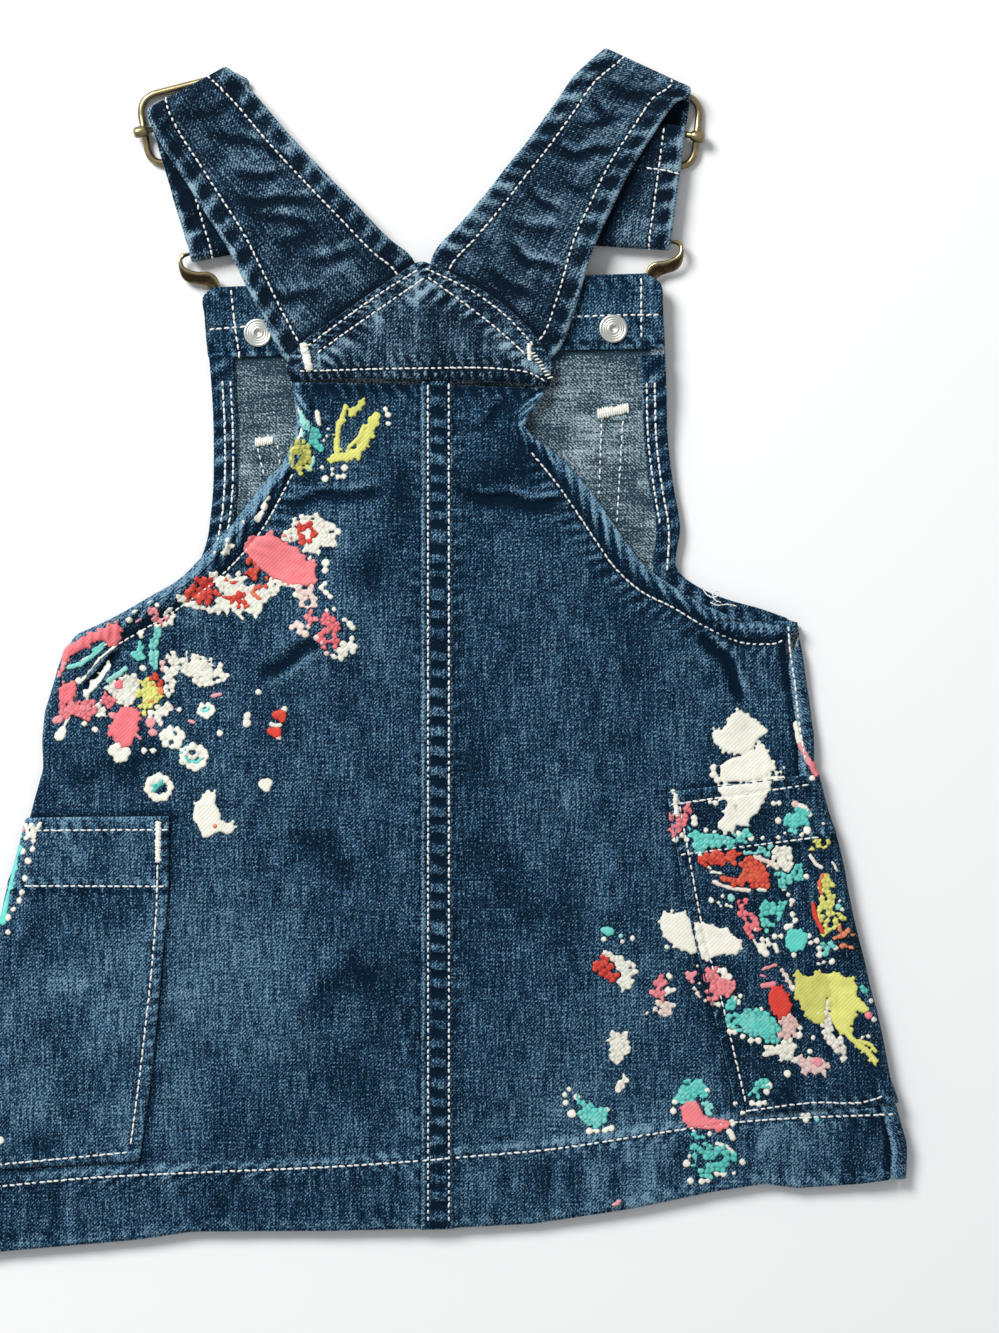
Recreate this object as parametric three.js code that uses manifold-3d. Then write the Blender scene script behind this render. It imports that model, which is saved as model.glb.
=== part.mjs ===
// A toddler's denim dungaree dress, laid flat on its front, its back uppermost.
// Millimetres. +X to the right, +Y towards the shoulders, +Z up off the surface it lies on.
import * as THREE from 'three';
import Module from 'manifold-3d';
import { mergeVertices } from 'three/addons/utils/BufferGeometryUtils.js';

const wasm = await Module();
wasm.setup();

// ---------------------------------------------------------------- driving dimensions
const CLOTH = 1.0; // one thickness of denim
const GAP = 0.35; // between pieces that touch
const SEAM_GAP = 0.7; // between edges that meet at a side seam
const HEM_EXTRA = 0.9; // what a turned-up hem adds to the wall
const HEM_DEPTH = 23; // height of the skirt hem
const LAYERS = 3.2; // front, air and back where the skirt lies flattest
const SIDE_PUFF = 0.9; // how much higher the fold at the side stands
const FOLD_WIDTH = 6.2; // how far the side fold rolls round before it meets the seam
const POCKET_RISE = 1.45; // lift of the front panel where a patch pocket lies under it
const BUTTON_RISE = 3.4; // further lift of the bib over the buttons and hooks
const SEAM_LEFT = 2.3; // the centre back seam, left and right edges
const SEAM_RIGHT = 13.8;
const POCKET_WRAP = 52; // how far a pocket reaches round to the front
const POCKET_MOUTH = -41; // the higher pocket's top edge at the side
const ARMPIT = 7.6; // where the right side fold ends at the armhole

const BUTTON = { head: 8.2, neck: 1.5, disc: 5, top: 8.2 };
const BUTTON_LEFT = [-54.6, 112.7];
const BUTTON_RIGHT = [69.7, 114.1];

// ---------------------------------------------------------------- outlines, top to bottom
const LEFT_SIDE = [
  [-118, 7], [-122.9, 2], [-126, -8.5], [-129.5, -20], [-131.5, -40], [-136.5, -58], [-145, -91],
  [-155, -132], [-165, -172], [-172.4, -206], [-172.9, -212.5],
];
const RIGHT_SIDE = [
  [134, 11], [135.5, 8.5], [136.5, -2], [139.7, -25], [142.2, -43], [150.5, -73], [155.8, -99.5],
  [162.4, -125], [167, -148], [172, -163], [172.9, -170], [172.4, -184],
];
const HEM_LINE = [
  [-172.9, -212.5], [-145, -208.6], [-96.6, -204.4], [-78, -201.6], [-27, -201.3], [16, -200.2],
  [42, -198.8], [76, -193.6], [105, -187.6], [123, -184.8], [134, -186.4], [157, -184.8], [172.4, -183],
];
const FRONT_LEFT = [
  [-69, 128.4], [-72.6, 126.4], [-72.6, 118], [-70.8, 96], [-70, 76], [-71, 50], [-73, 38], [-78, 28],
  [-88, 20], [-100, 12.5], [-112, 6], [-117, 3.4],
];
const FRONT_RIGHT = [
  [80.5, 133.4], [85.4, 130.6], [86.6, 122], [88, 96], [88.7, 75], [90.7, 59], [93, 45], [92.2, 29.5],
  [100, 23.4], [110, 19.2], [120.8, 16.2], [130.5, 12.8],
];
const ARMHOLE_LEFT = [
  [-42.6, 95], [-40.8, 80], [-46.2, 66], [-52.5, 59.5], [-62.7, 46], [-73.2, 34.7], [-81.2, 26.6],
  [-93.5, 19.3], [-105.7, 12.6], [-118.3, 7],
];
const ARMHOLE_RIGHT = [
  [46.6, 93], [38.8, 80.5], [50, 70], [60, 59.5], [72.8, 41.5], [80.5, 31.4], [90, 24.4], [103.6, 16.6],
  [114, 12.6], [129.2, 12],
];
// Long soft folds on the back: two ends, height, half width.
const FOLDS = [
  { from: [16, 63], to: [48, 66], high: 1.6, wide: 9 },
  { from: [92, 12], to: [112, -22], high: 1.5, wide: 9 },
  { from: [-66, -22], to: [-28, 14], high: 1.6, wide: 11 },
  { from: [-62, -48], to: [-8, -92], high: 1.4, wide: 13 },
  { from: [-52, -136], to: [-12, -104], high: 1.3, wide: 12 },
  { from: [30, -150], to: [66, -92], high: 1.2, wide: 14 },
];

// ---------------------------------------------------------------- small helpers
const V = (x, y, z) => new THREE.Vector3(x, y, z);
const lerp = (a, b, t) => a + (b - a) * t;

function smooth(low, high, value) {
  const t = Math.min(1, Math.max(0, (value - low) / (high - low)));
  return t * t * (3 - 2 * t);
}

// Where a listed outline stands at `value` of coordinate `by` (0 is x, 1 is y).
function along(outline, value, by) {
  const of = 1 - by;
  const sign = outline[0][by] < outline[outline.length - 1][by] ? 1 : -1;
  if ((value - outline[0][by]) * sign <= 0) return outline[0][of];
  for (let i = 1; i < outline.length; i++) {
    const [a, b] = [outline[i - 1], outline[i]];
    if ((value - b[by]) * sign <= 0) return lerp(a[of], b[of], (value - a[by]) / (b[by] - a[by]));
  }
  return outline[outline.length - 1][of];
}

const hemY = (x) => along(HEM_LINE, x, 0);

// A closed body between two grids of points, `lower` and `upper`, each [row][column].
function wall(lower, upper) {
  const rows = lower.length;
  const columns = lower[0].length;
  const points = [];
  for (const grid of [lower, upper]) for (const row of grid) for (const p of row) points.push(p.x, p.y, p.z);
  const at = (side, r, c) => side * rows * columns + r * columns + c;
  const index = [];
  const quad = (a, b, c, d) => index.push(a, b, c, a, c, d);
  for (let r = 0; r < rows - 1; r++) {
    for (let c = 0; c < columns - 1; c++) {
      quad(at(1, r, c), at(1, r, c + 1), at(1, r + 1, c + 1), at(1, r + 1, c));
      quad(at(0, r, c), at(0, r + 1, c), at(0, r + 1, c + 1), at(0, r, c + 1));
    }
  }
  const rim = [];
  for (let c = 0; c < columns; c++) rim.push([0, c]);
  for (let r = 1; r < rows; r++) rim.push([r, columns - 1]);
  for (let c = columns - 2; c >= 0; c--) rim.push([rows - 1, c]);
  for (let r = rows - 2; r > 0; r--) rim.push([r, 0]);
  rim.forEach(([r, c], i) => {
    const [s, d] = rim[(i + 1) % rim.length];
    quad(at(0, r, c), at(0, s, d), at(1, s, d), at(1, r, c));
  });
  return facingOut(points, index);
}

// A body swept through rings of points, joined end to start when `closed`.
function loft(rings, closed = false) {
  const n = rings[0].length;
  const points = rings.flat().flatMap((p) => [p.x, p.y, p.z]);
  const index = [];
  const last = closed ? rings.length : rings.length - 1;
  for (let i = 0; i < last; i++) {
    const j = (i + 1) % rings.length;
    for (let k = 0; k < n; k++) {
      const m = (k + 1) % n;
      index.push(i * n + k, i * n + m, j * n + m, i * n + k, j * n + m, j * n + k);
    }
  }
  if (!closed) {
    const end = (rings.length - 1) * n;
    for (let k = 1; k < n - 1; k++) index.push(0, k + 1, k, end, end + k, end + k + 1);
  }
  return facingOut(points, index);
}

function facingOut(points, index) {
  let volume = 0;
  const at = (i) => V(points[3 * i], points[3 * i + 1], points[3 * i + 2]);
  for (let i = 0; i < index.length; i += 3) {
    volume += at(index[i]).dot(at(index[i + 1]).cross(at(index[i + 2])));
  }
  if (volume < 0) index.reverse();
  const geometry = new THREE.BufferGeometry();
  geometry.setAttribute('position', new THREE.Float32BufferAttribute(points, 3));
  geometry.setIndex(index);
  return geometry;
}

function solid(geometry) {
  const bare = geometry.clone();
  bare.deleteAttribute('normal');
  bare.deleteAttribute('uv');
  const merged = mergeVertices(bare, 1e-3);
  return new wasm.Manifold(new wasm.Mesh({
    numProp: 3,
    vertProperties: new Float32Array(merged.attributes.position.array),
    triVerts: new Uint32Array(merged.index.array),
  }));
}

function fromSolid(manifold) {
  const mesh = manifold.getMesh();
  const geometry = new THREE.BufferGeometry();
  geometry.setAttribute('position', new THREE.BufferAttribute(new Float32Array(mesh.vertProperties), 3));
  geometry.setIndex(Array.from(mesh.triVerts));
  return geometry;
}

// Round holes for the buttons' shanks, through every layer they fasten.
function withButtonHoles(geometry) {
  let body = solid(geometry);
  for (const [x, y] of [BUTTON_LEFT, BUTTON_RIGHT]) {
    const drill = new THREE.CylinderGeometry(BUTTON.neck + 0.4, BUTTON.neck + 0.4, 20, 12);
    drill.rotateX(Math.PI / 2);
    drill.translate(x, y, 6);
    body = body.subtract(solid(drill));
  }
  return fromSolid(body);
}

// ---------------------------------------------------------------- how the cloth lies
const LEFT_EDGE = [...ARMHOLE_LEFT, ...LEFT_SIDE.slice(1)];
const RIGHT_EDGE = [...ARMHOLE_RIGHT, ...RIGHT_SIDE.slice(1)];
const sideGap = (x, y) => Math.min(x - along(LEFT_EDGE, y, 1), along(RIGHT_EDGE, y, 1) - x);
const hemFactor = (x, y) => 1 - smooth(HEM_DEPTH - 1, HEM_DEPTH + 5, y - hemY(x));

// Height of the front panel's underside: flat on the surface, lifted by what lies beneath it.
function underside(x, y) {
  const pocket = (1 - smooth(60, 96, sideGap(x, y))) * (1 - smooth(-44, -8, y)) * smooth(1, 20, y - hemY(x));
  return POCKET_RISE * pocket + POCKET_RISE * smooth(-22, 14, y) + BUTTON_RISE * smooth(60, 106, y);
}

function foldHeight(x, y) {
  let height = 0;
  for (const { from, to, high, wide } of FOLDS) {
    const [dx, dy] = [to[0] - from[0], to[1] - from[1]];
    const length = Math.hypot(dx, dy);
    const t = ((x - from[0]) * dx + (y - from[1]) * dy) / length;
    const off = ((x - from[0]) * dy - (y - from[1]) * dx) / length;
    const past = Math.max(0, -t, t - length);
    height += high * Math.exp(-(off * off + past * past) / (wide * wide));
  }
  return height;
}

// Height of the back's upper face above the front's underside.
function stack(x, y) {
  const side = 1 - smooth(4, 34, sideGap(x, y));
  const calm = smooth(8, 30, sideGap(x, y)) * smooth(24, 50, y - hemY(x));
  return LAYERS + SIDE_PUFF * side + 1.3 * (1 - smooth(20, 44, y - hemY(x))) + calm * foldHeight(x, y);
}

const backTop = (x, y) => underside(x, y) + stack(x, y);
const hemWall = (x, y) => CLOTH + HEM_EXTRA * hemFactor(x, y) * smooth(7, 20, sideGap(x, y));

// The cloth that rolls round a side: points from the flat to the seam, as [x, z] of the middle of
// the wall and the way out of it. `way` is +1 at the right side; `up` is +1 when it rolls upwards.
function sideRoll(edge, low, high, way, up, offset = 0) {
  const radius = (high - low) / 2;
  const middle = (high + low) / 2;
  const points = [];
  for (const angle of [-90, -50, -15, 15, 50, 90]) {
    const a = THREE.MathUtils.degToRad(angle);
    const out = [Math.cos(a) * way, Math.sin(a) * up];
    const r = radius - CLOTH / 2 + offset;
    points.push({ x: edge - way * radius + out[0] * r, z: middle + out[1] * r, out });
  }
  return points;
}

// ---------------------------------------------------------------- the front
const FRONT_COLUMNS = 20;
const HEM_ROWS = [0, 11, 22, 27.5, 38, 52]; // how far above the hem its rows of points lie

// Rows of points across the skirt, from the hem up to the armpits.
function skirtRows() {
  const rows = [];
  for (const d of HEM_ROWS) rows.push({ y: (x) => hemY(x) + d, side: true });
  for (const t of [0.17, 0.34, 0.51, 0.68, 0.84]) {
    rows.push({ y: (x) => lerp(hemY(x) + HEM_ROWS.at(-1), POCKET_MOUTH, t), side: true });
  }
  for (const y of [POCKET_MOUTH, POCKET_MOUTH + 14, -8]) rows.push({ y: () => y, side: true });
  rows.push({ y: (x) => lerp(1.2, ARMPIT, (x + 120) / 256), side: true });
  return rows;
}

function frontRows() {
  const rows = skirtRows();
  for (let i = FRONT_LEFT.length - 1; i >= 0; i--) {
    const [left, right] = [FRONT_LEFT[i], FRONT_RIGHT[i]];
    rows.push({ left, right, y: (x) => lerp(left[1], right[1], (x - left[0]) / (right[0] - left[0])) });
  }
  return rows;
}

function frontPanel() {
  const lower = [];
  const upper = [];
  for (const row of frontRows()) {
    const low = [];
    const high = [];
    const put = (x, z, out, y) => {
      low.push(V(x - (out[0] * CLOTH) / 2, y, z - (out[1] * CLOTH) / 2));
      high.push(V(x + (out[0] * CLOTH) / 2, y, z + (out[1] * CLOTH) / 2));
    };
    const leftX = row.side ? sideAt(LEFT_SIDE, row, -1) + FOLD_WIDTH + SEAM_GAP : row.left[0];
    const rightX = row.side ? sideAt(RIGHT_SIDE, row, 1) : row.right[0];
    const flatRight = row.side ? rightX - 3.2 : rightX - 5;
    for (let c = 0; c <= FRONT_COLUMNS; c++) {
      const x = lerp(leftX, flatRight, c / FRONT_COLUMNS);
      const y = row.y(x);
      const z = underside(x, y);
      low.push(V(x, y, z));
      high.push(V(x, y, z + hemWall(x, y)));
    }
    if (row.side) {
      const y = row.y(rightX);
      const base = underside(rightX - 3, y);
      const tall = stack(rightX - FOLD_WIDTH, y);
      const roll = sideRoll(rightX, base, base + tall, 1, 1).slice(1);
      roll.push({ x: rightX - FOLD_WIDTH + SEAM_GAP, z: base + tall - CLOTH / 2, out: [0, 1] });
      for (const p of roll) put(p.x, p.z, [-p.out[0], -p.out[1]], y);
    } else {
      for (let k = 1; k <= 6; k++) {
        const x = flatRight + (5 * k) / 6;
        const y = row.y(x);
        low.push(V(x, y, underside(x, y)));
        high.push(V(x, y, underside(x, y) + CLOTH));
      }
    }
    lower.push(low);
    upper.push(high);
  }
  return withButtonHoles(wall(lower, upper));
}

// The side outline where a row meets it; the patch pockets lie outside the cloth there.
function sideAt(outline, row, way) {
  const guess = outline[4][0];
  let x = along(outline, row.y(guess), 1);
  x = along(outline, row.y(x), 1);
  return x - way * pocketCover(row.y(x), x);
}

function pocketCover(y, x) {
  const belowMouth = 1 - smooth(POCKET_MOUTH, POCKET_MOUTH + 14, y);
  return (CLOTH + GAP) * belowMouth * smooth(8, 20, y - hemY(x));
}

// ---------------------------------------------------------------- the back halves
const BACK_COLUMNS = 10;

function backRows(armhole, middle) {
  const rows = skirtRows();
  for (let i = armhole.length - 1; i >= 0; i--) {
    const end = armhole[i];
    const inner = lerp(end[1], middle[i], 0.9);
    rows.push({ end, y: (x) => lerp(inner, end[1], (x - 8) / (end[0] - 8)) });
  }
  return rows;
}

function backPanel(way, outline, armhole, inner, middle) {
  const lower = [];
  const upper = [];
  for (const row of backRows(armhole, middle)) {
    const low = [];
    const high = [];
    const rolls = way < 0;
    const edge = row.side ? sideAt(outline, row, way) : row.end[0];
    const flatEnd = row.side ? edge - way * (rolls ? 3.2 : FOLD_WIDTH) : row.end[0] - way * (rolls ? 5 : 0);
    for (let c = 0; c <= BACK_COLUMNS; c++) {
      const x = lerp(inner, flatEnd, c / BACK_COLUMNS);
      const y = row.y(x);
      const top = backTop(x, y);
      low.push(V(x, y, top - (row.side ? hemWall(x, y) : CLOTH)));
      high.push(V(x, y, top));
    }
    if (rolls && row.side) {
      const y = row.y(edge);
      const base = underside(edge + 3, y);
      const tall = stack(edge + FOLD_WIDTH, y);
      const roll = sideRoll(edge, base, base + tall, -1, -1).slice(1);
      roll.push({ x: edge + FOLD_WIDTH, z: base + CLOTH / 2, out: [0, -1] });
      for (const p of roll) {
        low.push(V(p.x - (p.out[0] * CLOTH) / 2, y, p.z - (p.out[1] * CLOTH) / 2));
        high.push(V(p.x + (p.out[0] * CLOTH) / 2, y, p.z + (p.out[1] * CLOTH) / 2));
      }
    } else if (rolls) {
      for (let k = 1; k <= 6; k++) {
        const x = flatEnd + (way * 5 * k) / 6;
        const y = row.y(x);
        low.push(V(x, y, backTop(x, y) - CLOTH));
        high.push(V(x, y, backTop(x, y)));
      }
    }
    lower.push(low);
    upper.push(high);
  }
  return wall(lower, upper);
}

// The felled seam down the middle of the back: a thicker band between the two halves.
function backSeam() {
  const rise = 0.8;
  const lower = [];
  const upper = [];
  const stations = HEM_ROWS.map((d) => (x) => hemY(x) + d);
  for (let t = 1; t <= 19; t++) stations.push((x) => lerp(hemY(x) + HEM_ROWS.at(-1), 94.6, t / 19));
  for (const y of stations) {
    const xs = [SEAM_LEFT, SEAM_LEFT + 1.2, SEAM_RIGHT - 1.2, SEAM_RIGHT];
    const lift = [0.2, rise, rise, 0.2];
    lower.push(xs.map((x) => V(x, y(x), backTop(x, y(x)) - hemWall(x, y(x)))));
    upper.push(xs.map((x, i) => V(x, y(x), backTop(x, y(x)) + lift[i])));
  }
  return wall(lower, upper);
}

// ---------------------------------------------------------------- the back yoke
const YOKE_LEFT = [[-42.6, 96], [-43, 101], [-36, 107.2], [-24, 116.4], [-12, 125.6], [1, 134.4]];
const YOKE_RIGHT = [[46.6, 94.2], [47.4, 98.4], [41.6, 108.4], [32, 117.4], [19, 126.6], [5, 134.6]];

const yokeTop = (x, y) => lerp(8.6, 9.9, smooth(93, 101, y));

function backYoke() {
  const lower = [];
  const upper = [];
  YOKE_LEFT.forEach((left, i) => {
    const right = YOKE_RIGHT[i];
    const low = [];
    const high = [];
    for (let c = 0; c <= 12; c++) {
      const t = c / 12;
      const x = lerp(left[0], right[0], t);
      const y = lerp(left[1], right[1], t) + (i === 0 ? 6 * t * (1 - t) : 0);
      low.push(V(x, y, yokeTop(x, y) - CLOTH));
      high.push(V(x, y, yokeTop(x, y)));
    }
    lower.push(low);
    upper.push(high);
  });
  return wall(lower, upper);
}

// ---------------------------------------------------------------- what lies on the bib
const bibTop = (x, y) => underside(x, y) + CLOTH;

function strip(left, right, floor, thick, columns) {
  const lower = [];
  const upper = [];
  left.forEach((a, i) => {
    const b = right[i];
    const low = [];
    const high = [];
    for (let c = 0; c <= columns; c++) {
      const x = lerp(a[0], b[0], c / columns);
      const y = lerp(a[1], b[1], c / columns);
      low.push(V(x, y, floor(x, y)));
      high.push(V(x, y, floor(x, y) + thick));
    }
    lower.push(low);
    upper.push(high);
  });
  return wall(lower, upper);
}

function bibFacing() {
  const left = [[-71.8, 104.4], [-72.4, 110], [-73, 118], [-73.2, 126], [-69.6, 128.2]];
  const right = [[87.2, 107.6], [87, 113], [86.8, 122], [85.8, 130.2], [81, 133]];
  return withButtonHoles(strip(left, right, (x, y) => bibTop(x, y) + GAP, CLOTH, 14));
}

// The narrow hem of the bib and armhole, turned over onto the wrong side.
function edgeHem(outline, way, width) {
  const first = outline.findIndex(([, y]) => y < 100);
  const edge = [[along(outline, 103, 1), 103], ...outline.slice(first, -1)];
  const inside = edge.map(([x, y], i) => {
    const a = edge[Math.max(0, i - 1)];
    const b = edge[Math.min(edge.length - 1, i + 1)];
    const length = Math.hypot(b[0] - a[0], b[1] - a[1]);
    return [x - (way * width * (a[1] - b[1])) / length, y - (width * way * (b[0] - a[0])) / length];
  });
  return strip(edge, inside, (x, y) => bibTop(x, y) + GAP, CLOTH, 2);
}

function bibPocket() {
  const left = [[-50, 18], [-53, 38], [-55, 58], [-56, 77]];
  const right = [[69, 26], [71, 46], [73, 66], [74.5, 87]];
  return strip(left, right, (x, y) => Math.max(0, underside(x, y) - GAP - CLOTH), CLOTH, 10);
}

// ---------------------------------------------------------------- patch pockets round the sides
function sidePocket(way, outline, rows) {
  const lower = [];
  const upper = [];
  for (const { inner, outer } of rows) {
    const low = [];
    const high = [];
    const edge = along(outline, outer, 1) - way * (CLOTH + GAP);
    const yAt = (x) => lerp(outer, inner[1], (x - edge) / (inner[0] - edge));
    for (let c = 0; c <= 6; c++) {
      const x = lerp(inner[0], edge - way * FOLD_WIDTH, c / 6);
      const z = backTop(x, yAt(x)) + GAP;
      low.push(V(x, yAt(x), z));
      high.push(V(x, yAt(x), z + CLOTH));
    }
    const base = underside(edge - way * 3, outer);
    const roll = sideRoll(edge, base, base + stack(edge - way * FOLD_WIDTH, outer), way, -1, CLOTH + GAP);
    for (const p of roll) {
      low.push(V(p.x - (p.out[0] * CLOTH) / 2, outer, p.z - (p.out[1] * CLOTH) / 2));
      high.push(V(p.x + (p.out[0] * CLOTH) / 2, outer, p.z + (p.out[1] * CLOTH) / 2));
    }
    for (let c = 1; c <= 5; c++) {
      const x = edge - way * lerp(FOLD_WIDTH - 1, POCKET_WRAP, c / 5);
      const z = underside(x, outer) - GAP;
      low.push(V(x, outer, z));
      high.push(V(x, outer, z - CLOTH));
    }
    lower.push(low);
    upper.push(high);
  }
  return wall(lower, upper);
}

const POCKET_LEFT_ROWS = [
  { inner: [-86.1, -56.7], outer: -57.2 }, { inner: [-86.3, -70], outer: -71 },
  { inner: [-86.5, -84], outer: -86 }, { inner: [-88.6, -108], outer: -111 },
  { inner: [-91.4, -138], outer: -142 }, { inner: [-94, -160], outer: -164 },
  { inner: [-96.3, -176.8], outer: -180.6 },
];
const POCKET_RIGHT_ROWS = [
  { inner: [88.9, -48.3], outer: -41.8 }, { inner: [92.4, -68], outer: -60 },
  { inner: [94.4, -80], outer: -74 }, { inner: [98.4, -99.5], outer: -94 },
  { inner: [104.3, -121.5], outer: -116 }, { inner: [109, -141], outer: -136 },
  { inner: [113.6, -161], outer: -156.6 },
];

// ---------------------------------------------------------------- buttons
function button([x, y]) {
  const { head, neck, disc, top } = BUTTON;
  const profile = [
    [0, 0], [head * 0.55, 0], [head * 0.86, 0.6], [head, 1.5], [head, 2.2], [head - 0.8, 2.7], [neck, 2.7],
    [neck, top - 0.9], [disc - 0.3, top - 0.9], [disc, top - 0.6], [disc, top - 0.2], [disc - 0.4, top],
    [disc - 1, top], [disc - 1.4, top - 0.3], [0, top - 0.3],
  ];
  const geometry = new THREE.LatheGeometry(profile.map(([r, z]) => new THREE.Vector2(r, z)), 16);
  geometry.rotateX(Math.PI / 2);
  geometry.translate(x, y, 0);
  return geometry;
}

// ---------------------------------------------------------------- straps, slides and hooks
// `up` runs from the button along the hook; `back` lists the left and right edge of the strap from
// the yoke to the shoulder; `fold` is the shoulder fold; `slide` the slide's middle and its heading.
const SIDES = {
  left: {
    button: BUTTON_LEFT,
    up: [-0.186, 0.983],
    back: [
      [[-38, 99.6], [1.4, 129.6]], [[-43.6, 102.6], [0.2, 136.6]], [[-50.1, 112.7], [-9, 145.4]],
      [[-58, 128.5], [-20, 156.8]], [[-65.8, 143.9], [-30, 167.1]], [[-73.5, 156], [-38.5, 176]],
      [[-81.5, 168.6], [-48, 186.6]], [[-89, 180.5], [-56, 196]],
    ],
    fold: [[-93.4, 190.6], [-63, 205.4]],
    slide: { middle: [-74.1, 190.4], heading: [0.315, -0.949] },
  },
  right: {
    button: BUTTON_RIGHT,
    up: [0.06, 0.998],
    back: [
      [[4.6, 129.8], [41.4, 99.8]], [[6.8, 139.4], [49.8, 106]], [[15.5, 149.6], [55.7, 120.1]],
      [[25.6, 161.4], [63, 143.5]], [[33, 171], [68.5, 155.5]], [[40.6, 180.3], [75, 169]],
      [[49, 192], [83, 181.5]], [[57.4, 203.6], [91, 193]],
    ],
    fold: [[66.4, 212.2], [97, 198]],
    slide: { middle: [76.8, 185.9], heading: [-0.169, -0.986] },
  },
};
const STRAP_WIDTH = 36;
const STRAP_HEIGHTS = [8.05, 8.1, 9.1, 8.8, 8.2, 7.75, 7.55, 7.5]; // of its middle, yoke to shoulder
const SHOULDER = { radius: 1.9, middle: 5.6 }; // the half turn over the shoulder fold
const HOOK_BAR = 31.6; // from the button to the hook's bar
const WIRE = 1.3; // radius of the slide's frame
const BAR_RISE = 3.75; // height of the slide's cross bar
// The cross bar from end to end, each [across, radius]: a knob outside the frame at either end.
const BAR_STATIONS = [
  [-24, 0.9], [-23.4, 1.9], [-21.6, 1.9], [-21, 1.1], [21, 1.1], [21.6, 1.9], [23.4, 1.9], [24, 0.9],
];

// A ribbon through sections: two edge points and the direction of its thickness.
function ribbon(sections, thick) {
  const rings = sections.map(({ a, b, out }) => {
    const half = out.clone().multiplyScalar(thick / 2);
    const mid = (t) => a.clone().lerp(b, t);
    const face = [0, 0.34, 0.66, 1];
    const over = face.map((t) => mid(t).add(half));
    const under = face.map((t) => mid(t).sub(half)).reverse();
    return [...over, ...under];
  });
  return loft(rings);
}

function strap({ back, fold, slide, button: [bx, by], up }) {
  const sections = [];
  back.forEach(([a, b], i) => {
    const z = STRAP_HEIGHTS[i];
    sections.push({ a: V(a[0], a[1], z), b: V(b[0], b[1], z), out: V(0, 0, 1) });
  });
  // The shoulder fold, a half turn about the fold line.
  const [f0, f1] = fold.map(([x, y]) => V(x, y, 0));
  const out = V(f0.y - f1.y, f1.x - f0.x, 0).normalize();
  for (const angle of [70, 35, 0, -35, -70]) {
    const a = THREE.MathUtils.degToRad(angle);
    const move = out.clone().multiplyScalar(SHOULDER.radius * (Math.cos(a) - 1));
    move.z = SHOULDER.middle + SHOULDER.radius * Math.sin(a);
    const normal = out.clone().multiplyScalar(Math.cos(a)).add(V(0, 0, Math.sin(a)));
    sections.push({ a: f0.clone().add(move), b: f1.clone().add(move), out: normal });
  }
  // Down the front: over the slide's frame, under its cross bar, to the hook's bar.
  const hookBar = V(bx + up[0] * HOOK_BAR, by + up[1] * HOOK_BAR, 0);
  const middle = V(slide.middle[0], slide.middle[1], 0);
  const run = middle.distanceTo(hookBar);
  const across = V(up[1], -up[0], 0);
  const slideAcross = V(-slide.heading[1], slide.heading[0], 0);
  const place = (s, z, turn) => {
    const t = Math.max(0, Math.min(1, s / run));
    const centre = middle.clone().lerp(hookBar, t);
    if (s < 0) centre.addScaledVector(V(...slide.heading, 0), s);
    if (s > run) centre.addScaledVector(V(up[0], up[1], 0), run - s);
    const side = slideAcross.clone().lerp(across, t).normalize();
    const heading = V(side.y, -side.x, 0);
    const a = THREE.MathUtils.degToRad(turn);
    const normal = heading.multiplyScalar(Math.sin(a)).add(V(0, 0, -Math.cos(a)));
    const half = side.multiplyScalar(STRAP_WIDTH / 2);
    centre.z = z;
    sections.push({ a: centre.clone().sub(half), b: centre.clone().add(half), out: normal });
  };
  place(-6.5, 2.7, 0);
  place(-3, 1.5, 0);
  place(2.5, 1.5, 0);
  place(6.5, 2.4, 0);
  place(11, 3.7, 0);
  place(17, 3.7, 0);
  place(22, 2.4, 0);
  place(run - 6, 1.6, 0);
  place(run, 1.6, 0);
  for (const turn of [35, 90, 145]) {
    const a = THREE.MathUtils.degToRad(turn);
    place(run + 2.1 * Math.sin(a), 3.7 - 2.1 * Math.cos(a), turn);
  }
  place(run, 5.8, 180);
  place(run - 8, 5.6, 180);
  place(16, 5.3, 180);
  place(2.5, 5.75, 180);
  place(0, 5.85, 180);
  place(-1.7, 5.1, 230);
  return ribbon(sections, CLOTH);
}

// A round wire swept along a closed or open run of points.
function wire(points, radius, closed) {
  const rings = points.map((p, i) => {
    const n = points.length;
    const before = closed ? points[(i + n - 1) % n] : points[Math.max(0, i - 1)];
    const after = closed ? points[(i + 1) % n] : points[Math.min(n - 1, i + 1)];
    const way = after.clone().sub(before).normalize();
    const side = V(way.y, -way.x, 0).normalize();
    const ring = [];
    for (let k = 0; k < 8; k++) {
      const a = ((k + 0.5) * Math.PI) / 4;
      ring.push(p.clone().addScaledVector(side, radius * Math.cos(a)).add(V(0, 0, radius * Math.sin(a))));
    }
    return ring;
  });
  return loft(rings, closed);
}

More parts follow.
